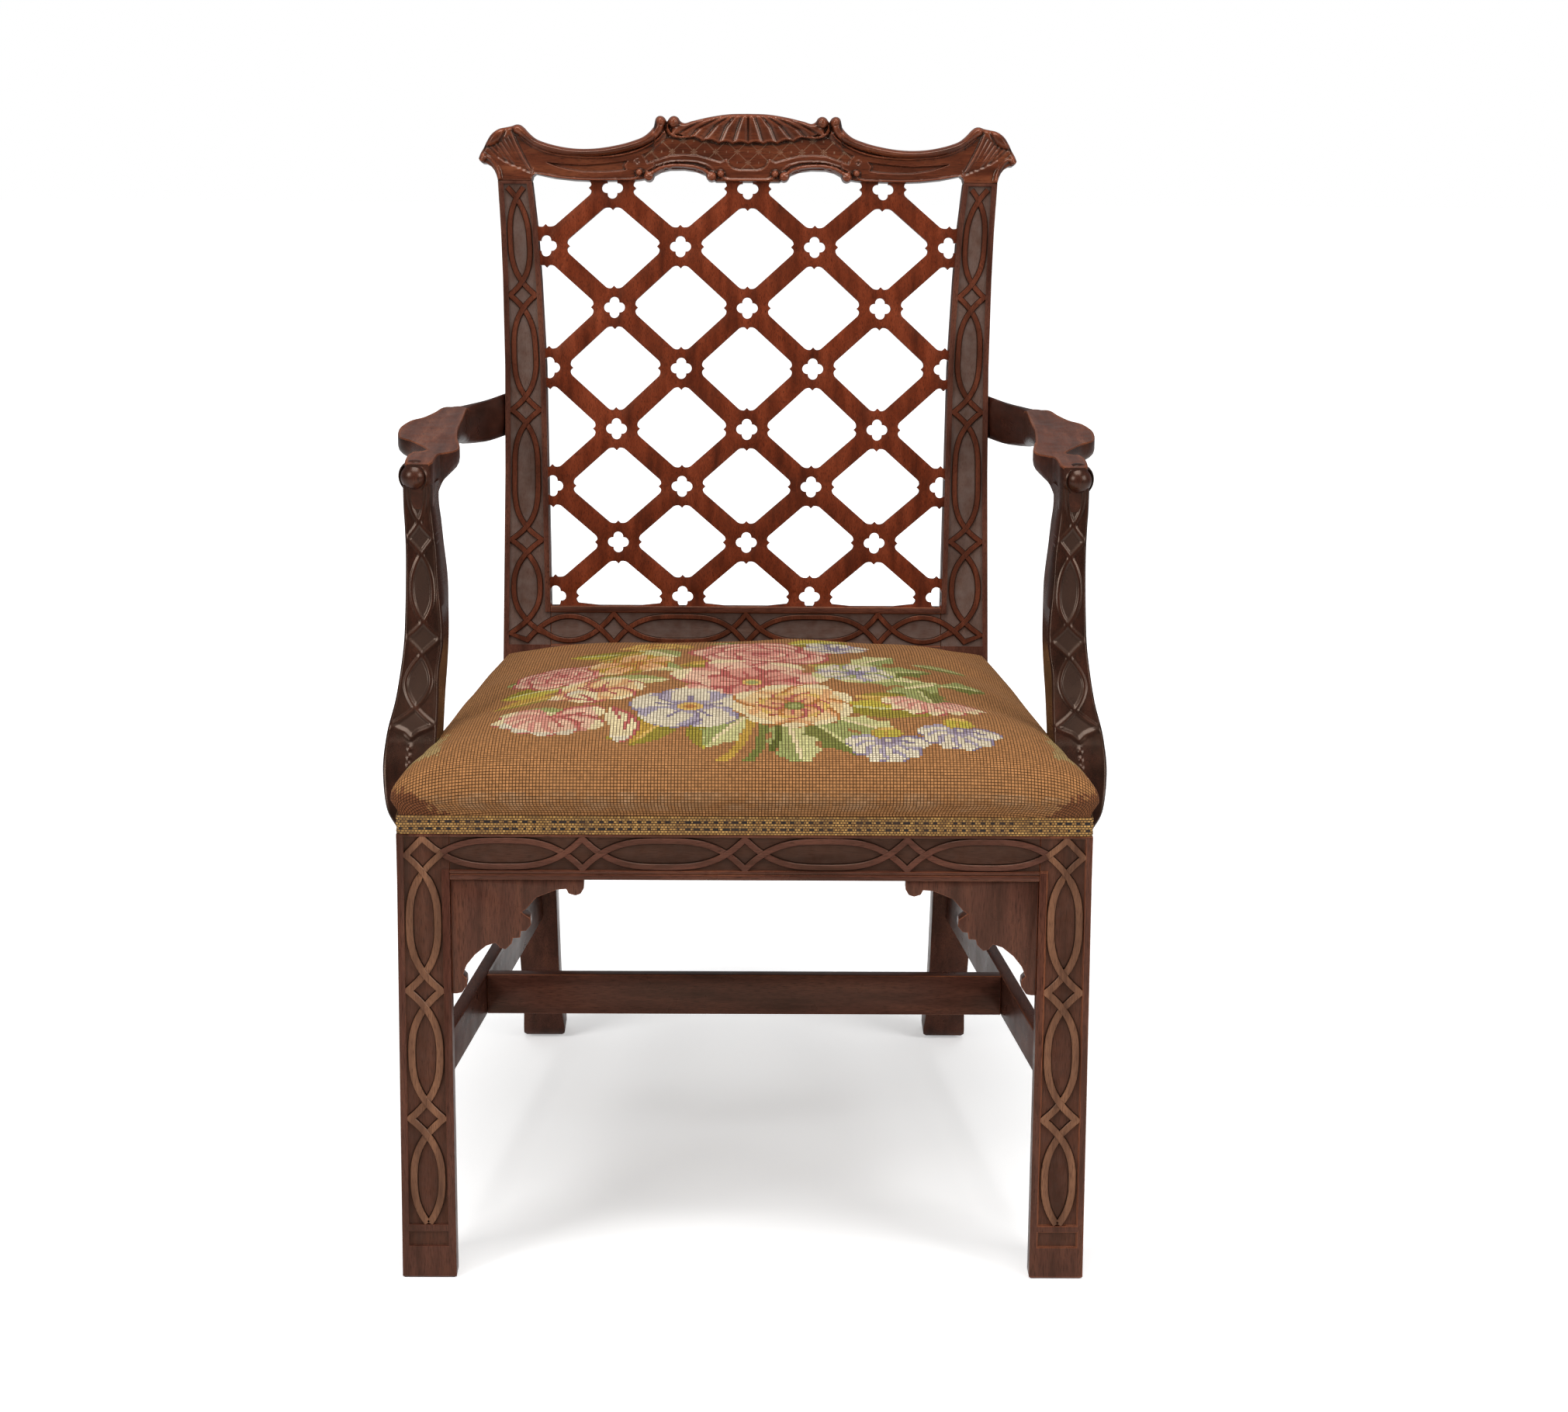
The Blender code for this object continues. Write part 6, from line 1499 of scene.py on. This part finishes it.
def half_section(deep):
    """Points of one half of a section of the top, a stitch apart from the middle, and their lengths."""
    across = np.sin(np.linspace(0.0, math.pi / 2, FINE))
    x, z = across * seat_edge_x(deep), seat_top(across, deep)
    lengths = run_lengths(np.stack([x, z], axis=1))
    places = np.minimum(np.arange(COLUMNS + 1) * STITCH, lengths[-1])
    return np.interp(places, lengths, x), np.interp(places, lengths, z), places


def row_depths():
    """The share of the depth at which each row of stitches lies, a stitch apart along the middle."""
    deep = np.linspace(0.0, 1.0, FINE * 2)
    lengths = run_lengths(np.array([(seat_y(d), seat_top(0.0, d)) for d in deep]))
    count = int(round(lengths[-1] / STITCH))
    return np.interp(np.linspace(0.0, lengths[-1], count + 1), lengths, deep)


COLUMNS = 120
LUMP = 0.0042
LUMP_SCALE = 11.0
LUMP_MEAN = 0.25
LUMP_PLACE = 3.7
depths = row_depths()
ROWS = len(depths) - 1
print("stitches across", COLUMNS * 2, "and deep", ROWS)

# %% The seat's points


def side_skirt(x, y, z):
    """The cover's fall at the side: down over the rail's edge, and down behind the braid."""
    foot = foot_x(y)
    controls = [(x, y, z), (x + TURN_OUT, y, z - TURN_DOWN)]
    controls += [(foot, y, SEAT_LOW + FOOT_RISE), (foot, y, COVER_HEM)]
    return evenly(controls, SKIRT_ROWS + 1)


def front_skirt(x, z, across, foot_side):
    """The cover's fall in front: over the roll, out to the bulge, and in to the braid."""
    turn = TURN_SHARE + (1 - TURN_SHARE) * (1 - abs(across) ** TURN_POWER) ** 0.5
    y = SEAT_FRONT + ROLL
    low = SEAT_LOW + SKIN
    controls = [(x, y, z)]
    for roll, bulge, fall in FRONT_FALL:
        controls.append((x, y - (roll * ROLL + bulge * BULGE) * turn, z + (low - z) * fall))
    controls.append((foot_side, SEAT_FRONT - 0.20 * BULGE * turn, RAIL_TOP - BRAID_COVERS))
    controls.append((foot_side, SEAT_FRONT, COVER_HEM + BRAID_HEIGHT - BRAID_COVERS))
    controls.append((foot_side, SEAT_FRONT, COVER_HEM))
    return evenly(controls, SKIRT_ROWS + 1)


points = {}
stitches = {}
width = COLUMNS + SKIRT_ROWS
front_edge_x = seat_edge_x(0.0)
for row in range(ROWS + 1):
    deep = depths[row]
    x, z, places = half_section(deep)
    y = seat_y(deep)
    calm = min(1.0, CALM_FRONT * deep, CALM_BACK * (1 - deep))
    for column in range(COLUMNS + 1):
        fade = calm * min(1.0, CALM_BACK * (1 - places[column] / places[-1]))
        for side in (-1, 1):
            spot = Vector((side * x[column] * LUMP_SCALE, y * LUMP_SCALE, LUMP_PLACE))
            height = z[column] + LUMP * (noise.noise(spot) - LUMP_MEAN) * fade
            points[row, side * column] = (side * x[column], y, height)
            stitches[row, side * column] = (side * places[column] / STITCH, row)
    skirt, length = side_skirt(x[-1], y, z[-1])
    if row == 0:
        skirt, length = front_skirt(x[-1], z[-1], 1.0, foot_x(y))
    for k in range(1, SKIRT_ROWS + 1):
        for side in (-1, 1):
            points[row, side * (COLUMNS + k)] = (side * skirt[k][0], skirt[k][1], skirt[k][2])
            along = side * (places[-1] + length * k / SKIRT_ROWS)
            stitches[row, side * (COLUMNS + k)] = (along / STITCH, row)
x, z, places = half_section(0.0)
for column in range(-COLUMNS, COLUMNS + 1):
    at_x, at_z = math.copysign(x[abs(column)], column), z[abs(column)]
    across = at_x / front_edge_x
    skirt, length = front_skirt(at_x, at_z, min(abs(across), 1.0), across * foot_x(SEAT_FRONT))
    for k in range(1, SKIRT_ROWS + 1):
        points[-k, column] = tuple(skirt[k])
        along = math.copysign(places[abs(column)], column)
        stitches[-k, column] = (along / STITCH, -length * k / SKIRT_ROWS / STITCH)

# %% The seat's mesh
keys = list(points)
number = {key: i for i, key in enumerate(keys)}
cells = []
for row in range(-SKIRT_ROWS, ROWS):
    reach = COLUMNS if row < 0 else width
    cells += [(row, column) for column in range(-reach, reach)]
faces = []
for row, column in cells:
    around = ((row, column), (row, column + 1), (row + 1, column + 1), (row + 1, column))
    faces.append(tuple(number[key] for key in around))
seat = new_piece("needlepoint_seat", [points[key] for key in keys], faces)
uv = seat.data.uv_layers.new(name="stitches")
loops = np.zeros(len(seat.data.loops), dtype=np.int32)
seat.data.loops.foreach_get("vertex_index", loops)
places = np.array([stitches[key] for key in keys], dtype=np.float32)
uv.data.foreach_set("uv", places[loops].ravel())
print("seat faces", len(faces))

# %% [markdown]
# ## The flowers
# The needlepoint shows a loose bunch of garden flowers on brown wool. The bunch here is a plain one of its
# own: roses, open blossoms, buds and leaves are drawn as simple shapes, and each stitch takes the colour of
# the topmost shape over its middle. That gives the stepped outlines that counted stitches have.

# %% Wool colours
WOOL = {
    "ground": "#a27044", "rose_deep": "#b25c54", "rose": "#d08c7a", "rose_pale": "#dcb094",
    "cream": "#dfcb9e", "rust": "#b4743e", "ochre": "#b8923e", "gold": "#d4ac5c", "peach": "#d8a26e",
    "peach_pale": "#e0bd88", "violet": "#86788c", "lilac": "#a699a4", "white": "#d4c6aa", "stem": "#5c6228",
    "moss": "#76783a", "sage": "#9a9e5e", "pale_leaf": "#c6c084", "olive": "#948430",
    "gold_leaf": "#b8a63e", "worn": "#a9825e", "corner": "#6a3824", "bare_canvas": "#a88f5e",
}
canvas_u, canvas_v = np.meshgrid(np.arange(-COLUMNS, COLUMNS) + 0.5, np.arange(0, ROWS) + 0.5)
canvas = np.zeros((*canvas_u.shape, 3))
canvas[:] = colour(WOOL["ground"])[:3]


def stitch_shape(mask, wool):
    canvas[mask] = colour(WOOL[wool])[:3]


def turned_to(u, v, angle):
    """Canvas places as seen from a point, with the first axis turned to an angle in degrees."""
    du, dv = canvas_u - u, canvas_v - v
    c, s = math.cos(math.radians(angle)), math.sin(math.radians(angle))
    return du * c + dv * s, dv * c - du * s


def leaf(u, v, angle, length, width, wools, teeth=0):
    """A pointed leaf from its stalk end, in a light and a dark half with a pale rib, and toothed if asked."""
    forward, across = turned_to(u, v, angle)
    share = forward / length
    outline = width * np.sin(np.pi * np.clip(share, 0, 1)) ** 0.75
    if teeth:
        outline = outline * (1 - 0.35 * np.abs(np.sin(np.pi * teeth * share)))
    inside = (share > 0) & (share < 1) & (np.abs(across) < outline)
    stitch_shape(inside & (across >= 0), wools[0])
    stitch_shape(inside & (across < 0), wools[1])
    stitch_shape(inside & (np.abs(across) < 0.7) & (share < 0.85), wools[2])


def petal(u, v, angle, length, width, wools):
    """One petal from its foot: a deep edge on one side, a paler middle and a pale tip."""
    forward, across = turned_to(u, v, angle)
    share = forward / length
    tip = np.sqrt(np.clip(1 - np.clip(share, 0, 1) ** 5, 0, 1))
    outline = width * np.clip(share * 2.4, 0, 1) ** 0.8 * tip
    inside = (share > 0.0) & (share < 1) & (np.abs(across) < outline)
    stitch_shape(inside, wools[1])
    stitch_shape(inside & (np.abs(across) < outline * 0.62) & (share > 0.30), wools[2])
    stitch_shape(inside & (share > 0.80), wools[3])
    stitch_shape(inside & (across > outline - 1.3), wools[0])
    stitch_shape(inside & (np.abs(across) < 0.6) & (share < 0.62), wools[0])


def petals(u, v, count, radius, width, wools, start=0.0):
    """An open blossom: every other petal first, so that the rest overlap them."""
    for index in [*range(0, count, 2), *range(1, count, 2)]:
        petal(u, v, start + 360 * index / count, radius * (0.92 + 0.08 * math.sin(7 * index)), width, wools)


def heart(u, v, radius, wools):
    distance = np.hypot(canvas_u - u, canvas_v - v)
    stitch_shape(distance < radius, wools[0])
    stitch_shape(distance < radius * 0.5, wools[1])


FOOT_SHARE = 0.42
ROSE_RINGS = ((0.60, 0.44, 7), (0.36, 0.36, 5), (0.14, 0.27, 3))


def rose(u, v, radius, wools, phase=0.0):
    """A full rose: rings of round petals from outside in, each pale at its rim and deep at its foot."""
    for ring, (reach, size, count) in enumerate(ROSE_RINGS):
        for index in range(count):
            angle = phase + 0.6 * ring + 2 * math.pi * index / count
            way_u, way_v = math.cos(angle), math.sin(angle)
            du, dv = canvas_u - u - radius * reach * way_u, canvas_v - v - radius * reach * way_v * 0.9
            away = np.hypot(du, dv) / (radius * size)
            back = FOOT_SHARE * radius * size
            foot = np.hypot(du + back * way_u, dv + back * way_v) / (radius * size)
            stitch_shape(away < 1.0, wools[0])
            stitch_shape(away < 0.84, wools[2])
            stitch_shape((away < 0.84) & (foot < 0.95), wools[1])
            stitch_shape((away < 0.84) & (foot < 0.42), wools[0])


def stem(places, width, wool):
    """A stem through a few places, drawn as a run of round dots."""
    run, length = evenly(smooth_rows(places, 40), 160)
    for u, v in run:
        stitch_shape(np.hypot(canvas_u - u, canvas_v - v) < width, wool)


# %% The bunch
LEAVES = (
    ("sage", "moss", "pale_leaf"), ("olive", "ochre", "gold"), ("pale_leaf", "sage", "cream"),
    ("gold_leaf", "olive", "pale_leaf"),
)
# Each leaf has its stalk's place, its angle, its length and half width, its kind and its teeth
SPRAY = (
    (-14, 32, 216, 34, 8.5, 3, 2), (-20, 30, 236, 26, 6.5, 1, 0), (-10, 26, 262, 20, 6.5, 3, 0),
    (0, 28, 240, 24, 7.5, 2, 3), (12, 28, 280, 32, 9.5, 2, 4), (18, 28, 304, 30, 8.5, 0, 3),
    (26, 30, 326, 25, 7.5, 2, 3), (28, 40, 344, 34, 7.0, 3, 0), (34, 46, 2, 30, 5.5, 1, 0),
    (44, 52, 30, 20, 7.0, 0, 3), (50, 60, 46, 17, 6.5, 2, 2), (28, 64, 14, 30, 9.0, 2, 4),
    (38, 76, 26, 24, 8.0, 0, 3), (34, 84, 54, 24, 7, 2, 3), (24, 110, 62, 16, 6, 3, 0),
    (14, 120, 40, 26, 7, 3, 0), (-6, 120, 96, 20, 7, 0, 2), (-18, 112, 128, 26, 7, 1, 0),
    (-28, 100, 152, 34, 6, 3, 0), (-22, 92, 120, 24, 6.5, 2, 0), (-20, 72, 136, 34, 6.5, 2, 0),
    (-24, 62, 172, 34, 6.0, 2, 0), (-30, 74, 166, 24, 5, 1, 0), (-56, 64, 178, 22, 5.5, 3, 0),
    (-58, 56, 190, 22, 5, 1, 0), (-60, 72, 150, 20, 4.5, 0, 0), (-52, 30, 160, 26, 5, 2, 0),
    (54, 96, 20, 20, 5, 0, 0), (-48, 98, 30, 18, 5, 1, 0), (8, 84, 190, 30, 6, 1, 0),
    (20, 84, 350, 22, 5, 1, 0), (62, 70, 20, 16, 6, 0, 2),
)
for u, v, angle, length, size, kind, teeth in SPRAY:
    leaf(u, v, angle, length, size, LEAVES[kind], teeth)
stem(((2, 26), (0, 15), (-4, 4), (-9, -1)), 1.4, "ochre")
stem(((6, 26), (5, 15), (4, 6), (0, -1)), 1.4, "moss")
stem(((10, 26), (10, 14), (8, 6)), 1.2, "stem")
rose(5, 101, 23, ("rose_deep", "rose", "rose_pale"), 0.4)
PINK = ("rose_deep", "rose", "rose_pale", "cream")
PEACH = ("rust", "peach", "peach_pale", "cream")
LILAC = ("violet", "lilac", "white", "white")
petals(2, 62, 7, 27, 9.0, PINK, 10)
petals(3, 62, 5, 18, 7.5, ("rose_deep", "rose_deep", "rose", "rose_pale"), 40)
heart(2, 61, 3.4, ("gold", "sage"))
rose(-59, 80, 16, ("rose_deep", "rose", "rose_pale"), 1.7)
petals(-36, 86, 5, 15, 7.0, ("rust", "ochre", "peach", "peach_pale"), 20)
heart(-36, 86, 3, ("rust", "ochre"))
petals(-46, 54, 6, 16, 7.0, ("rose_deep", "peach", "peach_pale", "cream"), 14)
heart(-46, 54, 3, ("rose_deep", "rust"))
petals(-17, 36, 5, 19, 10.5, LILAC, 18)
heart(-17, 36, 4.2, ("gold", "rust"))
petals(15, 38, 9, 21, 8.0, PEACH, 30)
petals(15, 38, 7, 12, 5.0, ("rose_deep", "rust", "peach", "gold"), 8)
heart(15, 38, 3.2, ("moss", "sage"))
petals(35, 74, 6, 15, 6.5, ("sage", "lilac", "white", "pale_leaf"), 22)
heart(35, 74, 3, ("violet", "lilac"))
for angle in (196, 222, 248, 274, 300, 326, 350):
    petal(58, 46, angle, 17, 4.6, PINK)
leaf(58, 42, 100, 22, 9, LEAVES[0], 3)
for angle in (146, 176, 20, 340):
    petal(-60, 28, angle, 18, 6.0, PINK)
for angle in (206, 236, 266, 296):
    petal(-60, 30, angle, 16, 6.0, ("rose_deep", "rose", "rose_pale", "white"))
for u, v, angle in ((-41, 36, 286), (-35, 30, 262), (-46, 40, 118)):
    petal(u, v, angle, 20, 4.6, ("rose_deep", "cream", "cream", "white"))
for u, v in ((43, 12), (65, 19)):
    for angle in (186, 216, 250, 284, 316, 350):
        petal(u, v, angle, 13, 4.4, LILAC)
    petal(u, v, 96, 9, 5.0, ("ochre", "gold_leaf", "gold_leaf", "gold"))
    heart(u, v, 2.4, ("violet", "white"))
petals(-30, 122, 6, 12, 5.0, ("rust", "ochre", "gold", "gold"), 4)
petals(30, 118, 6, 12, 5.0, LILAC, 22)
print("bunch drawn on", canvas_u.shape)

# %% The stitches take their wool
tint = seat.data.attributes.new(name="wool", type="FLOAT_COLOR", domain="CORNER")
face_colours = np.zeros((len(faces), 4), dtype=np.float32)
face_colours[:] = colour(WOOL["ground"])
SEED = 7
dye = np.random.default_rng(SEED)
DYE_RANGE = (0.90, 1.08)
CORNER_REACH = 0.040
PATCH_Y = (-0.300, -0.218)
PATCH_REACH = 0.022
PATCH_FRAY = 0.02
WEAR_ROWS = (-16, -9)
FRAY_SCALES = (60.0, 190.0)
for index, (row, column) in enumerate(cells):
    if row >= 0 and -COLUMNS <= column < COLUMNS:
        face_colours[index, :3] = canvas[row, column + COLUMNS]
    x, y, z = points[row, column]
    fray = sum(noise.noise(Vector((x, y, z)) * scale) * 0.5 for scale in FRAY_SCALES)
    corner = math.dist((abs(x), y, z), (foot_x(y), SEAT_FRONT, COVER_HEM)) / CORNER_REACH
    inward = (seat_edge_x(0.2) - abs(x)) / PATCH_REACH
    on_patch = PATCH_Y[0] < y + PATCH_FRAY * fray < PATCH_Y[1] and abs(column + 0.5) < COLUMNS + 3
    tone, share = None, 0.0
    if corner < 1.0 + 0.5 * fray:
        tone, share = "corner", 0.75
    elif row > 0 and on_patch and inward < 1.0 + 0.8 * fray:
        tone, share = "bare_canvas", 0.9
    elif WEAR_ROWS[0] < row < WEAR_ROWS[1]:
        tone, share = "worn", max(0.0, 0.25 + fray)
    if tone:
        worn = np.array(colour(WOOL[tone])[:3])
        face_colours[index, :3] = face_colours[index, :3] * (1 - share) + worn * share
face_colours[:, :3] *= dye.uniform(*DYE_RANGE, size=(len(faces), 1))
tint.data.foreach_set("color", np.repeat(face_colours, 4, axis=0).ravel())

# %% Close the seat
STITCHED_ANGLE = math.radians(60)
STITCH_DEPTH = 0.0009
pick_only(seat)
bpy.ops.object.mode_set(mode="EDIT")
bm = bmesh.from_edit_mesh(seat.data)
bmesh.ops.remove_doubles(bm, verts=bm.verts, dist=MERGE)
bmesh.ops.dissolve_degenerate(bm, edges=bm.edges, dist=MERGE)
stitched_faces = list(bm.faces)
hem = [e for e in bm.edges if e.is_boundary]
print("hem edges", len(hem))
middle_y = (FRONT_Y + BACK_FRONT_Y) / 2
for height in (None, SEAT_LOW):
    made = bmesh.ops.extrude_edge_only(bm, edges=hem)["geom"]
    hem = [g for g in made if isinstance(g, bmesh.types.BMEdge) and g.is_boundary]
    for vert in {v for e in hem for v in e.verts}:
        if height is None:
            vert.co -= Vector((vert.co.x, vert.co.y - middle_y, 0.0)).normalized() * SKIN
        else:
            vert.co.z = height
bmesh.ops.contextual_create(bm, geom=hem)
bmesh.ops.recalc_face_normals(bm, faces=bm.faces)
# The hem's faces are made in another order in each run, so they are put in the order of their corners
bm.verts.index_update()
stitched = set(stitched_faces)
hem_faces = sorted((f for f in bm.faces if f not in stitched), key=lambda f: sorted(v.index for v in f.verts))
rank = {face: k for k, face in enumerate([*stitched_faces, *hem_faces])}
bm.faces.sort(key=lambda face: rank[face])
bmesh.update_edit_mesh(seat.data)
bpy.ops.object.mode_set(mode="OBJECT")
bpy.ops.object.shade_smooth_by_angle(angle=STITCHED_ANGLE)

# %% The needlepoint material
needlepoint, surface = new_material("wool_needlepoint", {"Roughness": 0.95, "Specular IOR Level": 0.15})
stitch_uv = add_node(needlepoint, "UVMap", uv_map="stitches").outputs["UV"]
# The near-black gap colour is painted shade between the stitches
WOOL_LIGHT, WOOL_SHADE, STITCH_GAP_SHADE = (1.0, 1.0, 1.0, 1.0), (0.78, 0.78, 0.78, 1.0), (0.05, 0.04, 0.03, 1.0)
stitch_cells = bricks(needlepoint, stitch_uv, (WOOL_LIGHT, WOOL_SHADE, STITCH_GAP_SHADE), 0.16, 0.8, 1.0, 1.0,
                      offset=0.0, squash=1.0)
wool = add_node(needlepoint, "Attribute", attribute_name="wool").outputs["Color"]
wool = mixed(needlepoint, 0.9, wool, stitch_cells["Color"], blend_type="MULTIPLY")
fade = cloud(needlepoint, object_places(needlepoint), 14.0, 6.0, 0.65)
faded = mixed(needlepoint, spread(needlepoint, fade, 0.45, 0.8, 0.0, 0.25), wool, colour("#8a6644"))
link(needlepoint, faded, surface, "Base Color")
stitch_height = maths(needlepoint, "SUBTRACT", 1.0, stitch_cells["Fac"])
add_bump(needlepoint, surface, stitch_height, 0.9, STITCH_DEPTH)
seat.data.materials.append(needlepoint)
settle(seat, "needlepoint_wool", "needlepoint_cover", "seat_stuffing")

# %% [markdown]
# ## The braid, the webbing and the base cloth
# A woven gilt braid hides the nails along the foot of the cover. Under the seat, jute webbing and a hessian
# base cloth carry the stuffing.

# %% The braid
BRAID_OFF = 0.0022
BRAID_PROFILE = (
    (0.0, 0.0), (0.0010, 0.0006), (0.0016, 0.0022), (0.0013, 0.0046), (0.0007, 0.0056), (0.0013, 0.0066),
    (0.0019, 0.0088), (0.0013, 0.0112), (0.0007, 0.0122), (0.0013, 0.0132), (0.0016, 0.0154),
    (0.0010, 0.0170), (0.0, 0.0175),
)
BRAID_STEP = 0.002
BRAID_GROOVE = 0.0033
BRAID_DASH = 0.0085
BRAID_DASH_HALF = 0.0009
BRAID_DEPTH = 0.0006
BRAID_MIDDLE_Y = -0.05
BRAID_LAP = 0.002
BRAID_GAP = 0.0003
braid_front = FRONT_Y + REBATE - BRAID_OFF
braid_break = SUPPORT_FRONT_Y + SUPPORT_DEPTH / 2


def braid_band(name, path, material):
    """A band with a ridged face that follows a path round the frame."""
    run, length = evenly(path, max(2, int(sum(math.dist(a, b) for a, b in zip(path, path[1:])) / BRAID_STEP)))
    rings = []
    for i, (x, y) in enumerate(run):
        before, after = run[max(i - 1, 0)], run[min(i + 1, len(run) - 1)]
        way = Vector((after[0] - before[0], after[1] - before[1])).normalized()
        out = Vector((way.y, -way.x))
        if out.dot(Vector((x, y - BRAID_MIDDLE_Y))) < 0:
            out = -out
        rings.append([Vector((x + out.x * d, y + out.y * d, COVER_HEM + up)) for d, up in BRAID_PROFILE])
    band = loft(name, rings, [material])
    layer = band.data.uv_layers.new(name="braid")
    size = len(BRAID_PROFILE)
    for loop in band.data.loops:
        ring, place = divmod(loop.vertex_index, size)
        layer.data[loop.index].uv = (ring * BRAID_STEP, BRAID_PROFILE[place][1] if ring < len(rings) else 0.0)
    return band


braid, surface = new_material("woven_gilt_braid", {"Roughness": 0.85})
braid_uv = add_node(braid, "UVMap", uv_map="braid").outputs["UV"]
# The third colour, dark between the gilt threads, is painted shade
GILT = (colour("#c0924c"), colour("#8a6028"), colour("#2c1a0a"))
threads = bricks(braid, braid_uv, GILT, 0.0004, 0.3, 0.0030, 0.0022)
parts = add_node(braid, "SeparateXYZ", {"Vector": braid_uv}).outputs
both_sides = maths(braid, "ABSOLUTE", maths(braid, "SUBTRACT", parts["Y"], BRAID_HEIGHT / 2))
# Painted shade: dark dashes along the braid's two grooves
near_groove = maths(braid, "COMPARE", both_sides, BRAID_GROOVE, BRAID_DASH_HALF)
wave = maths(braid, "SINE", maths(braid, "MULTIPLY", parts["X"], 2 * math.pi / BRAID_DASH))
uneven = spread(braid, cloud(braid, braid_uv, 55.0, 2.0), 0.35, 0.65, -0.9, 0.98)
painted_groove_shade = maths(braid, "MULTIPLY", near_groove, maths(braid, "GREATER_THAN", wave, uneven))
groove_shaded = mixed(braid, painted_groove_shade, threads["Color"], colour("#1c120b"))
soil = spread(braid, cloud(braid, object_places(braid), 60.0, 5.0, 0.7), 0.45, 0.75, 0.0, 0.8)
link(braid, mixed(braid, soil, groove_shaded, colour("#4c331c")), surface, "Base Color")
add_bump(braid, surface, threads["Fac"], 0.6, BRAID_DEPTH, invert=True)


def braid_x(y):
    return foot_x(y) - SKIN + BRAID_OFF


half = [(braid_x(y), y) for y in (braid_break, LEG_BACK_Y, braid_front + BRAID_LAP)]
half.append((braid_x(LEG_BACK_Y) - BRAID_LAP, braid_front))
front_band = braid_band("braid_front", [(-x, y) for x, y in half] + half[::-1], braid)
settle(front_band, "gold_braid", "gimp_front")
for name, side in SIDES:
    ends = [(side * braid_x(y), y) for y in (braid_break, BACK_FRONT_Y - BRAID_GAP)]
    settle(braid_band(f"braid_side_{name}", ends, braid), "gold_braid", f"gimp_side_{name}")

# %% The webbing and the base cloth


def woven(name, light, dark, thread):
    """A plain weave of two thread colours, with its thread spacing in metres."""
    material, surface = new_material(name, {"Roughness": 0.9})
    # The third colour, dark in the gaps between threads, is painted shade
    colours = (colour(light), colour(dark), colour("#3a2a18"))
    cells = bricks(material, object_places(material), colours, thread * 0.12, 0.1, thread * 2, thread)
    link(material, cells["Color"], surface, "Base Color")
    add_bump(material, surface, cells["Fac"], 0.5, WEAVE_DEPTH, invert=True)
    return material


def flat_size(node):
    low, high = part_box(node)
    return high.x - low.x, high.y - low.y


WEAVE_DEPTH = 0.0004
STRAP_EDGE = 0.0004
CLOTH_EDGE = 0.0003
JUTE = woven("jute_webbing", "#a88a5c", "#8c7048", 0.0022)
HESSIAN = woven("hessian_cloth", "#a08458", "#86693f", 0.0014)
for node in [n for n in nodes if n.startswith("webbing")]:
    strap = eased(cleaned_copy(node, f"woven_{node}"), JUTE, JUTE, STRAP_EDGE)
    settle(strap, "jute_webbing", node)
cloth = eased(cleaned_copy("base_cloth", "hessian_base_cloth"), HESSIAN, HESSIAN, CLOTH_EDGE)
settle(cloth, "hessian", "base_cloth")
wide, deep = flat_size("base_cloth")

# %% The small metal parts
steel, surface = new_material("worn_steel", {"Metallic": 1.0})
scratches = cloud(steel, object_places(steel), 900.0, 3.0)
link(steel, ramp(steel, scratches, ((0.3, "#5a5550"), (0.7, "#8a857c"))), surface, "Base Color")
link(steel, spread(steel, scratches, 0.0, 1.0, 0.30, 0.55), surface, "Roughness")
for node in [n for n in nodes if "screw" in n or n.startswith("rear_glide")]:
    nodes[node].data.materials.clear()
    nodes[node].data.materials.append(steel)

# %% [markdown]
# ## The room
# A pale floor and large soft lamps, as in a photo studio. The floor keeps the chair's shadow.

# %% Floor, lamps and world
WHITE = (1.0, 1.0, 1.0, 1.0)
FLOOR_SIZE = 14.0
FLOOR_PLACE = (0.0, 2.0, 0.0)
bpy.ops.mesh.primitive_plane_add(size=FLOOR_SIZE, location=FLOOR_PLACE)
floor = bpy.context.object
bpy.ops.object.transform_apply(location=True, rotation=True, scale=True)
floor.name = "studio_floor"
paint = {"Base Color": colour("#f4f4f4"), "Roughness": 0.9, "Emission Color": WHITE}
floor_paint, surface = new_material("pale_floor", paint)
seen = add_node(floor_paint, "LightPath").outputs["Is Camera Ray"]
away = add_node(floor_paint, "VectorMath", {0: object_places(floor_paint)}, operation="LENGTH")
glow = spread(floor_paint, away.outputs["Value"], 0.45, 2.2, 0.38, 1.0)
link(floor_paint, maths(floor_paint, "MULTIPLY", seen, glow), surface, "Emission Strength")
floor.data.materials.append(floor_paint)

world = bpy.data.worlds.new("studio")
bpy.context.scene.world = world
world.use_nodes = True
sky = world.node_tree.nodes["Background"]
sky.inputs["Color"].default_value = WHITE
in_camera = add_node(world, "LightPath").outputs["Is Camera Ray"]
link(world, spread(world, in_camera, 0.0, 1.0, 0.20, 1.0), sky, "Strength")


def soft_lamp(name, place, aim, size, power):
    """A square lamp that looks at a point."""
    turn = (Vector(aim) - Vector(place)).to_track_quat("-Z", "Y").to_euler()
    bpy.ops.object.light_add(type="AREA", location=place, rotation=turn)
    lamp = bpy.context.object
    lamp.name = name
    lamp.data.size = size
    lamp.data.energy = power


LAMP_AIM = (0.0, 0.0, 0.5)
soft_lamp("lamp_left", (-2.4, -2.2, 2.2), LAMP_AIM, 1.4, 66.0)
soft_lamp("lamp_right", (2.4, -1.8, 2.0), LAMP_AIM, 1.4, 50.0)
soft_lamp("lamp_above", (0.0, -0.6, 3.2), LAMP_AIM, 1.8, 78.0)
bpy.context.scene.view_settings.view_transform = "Standard"
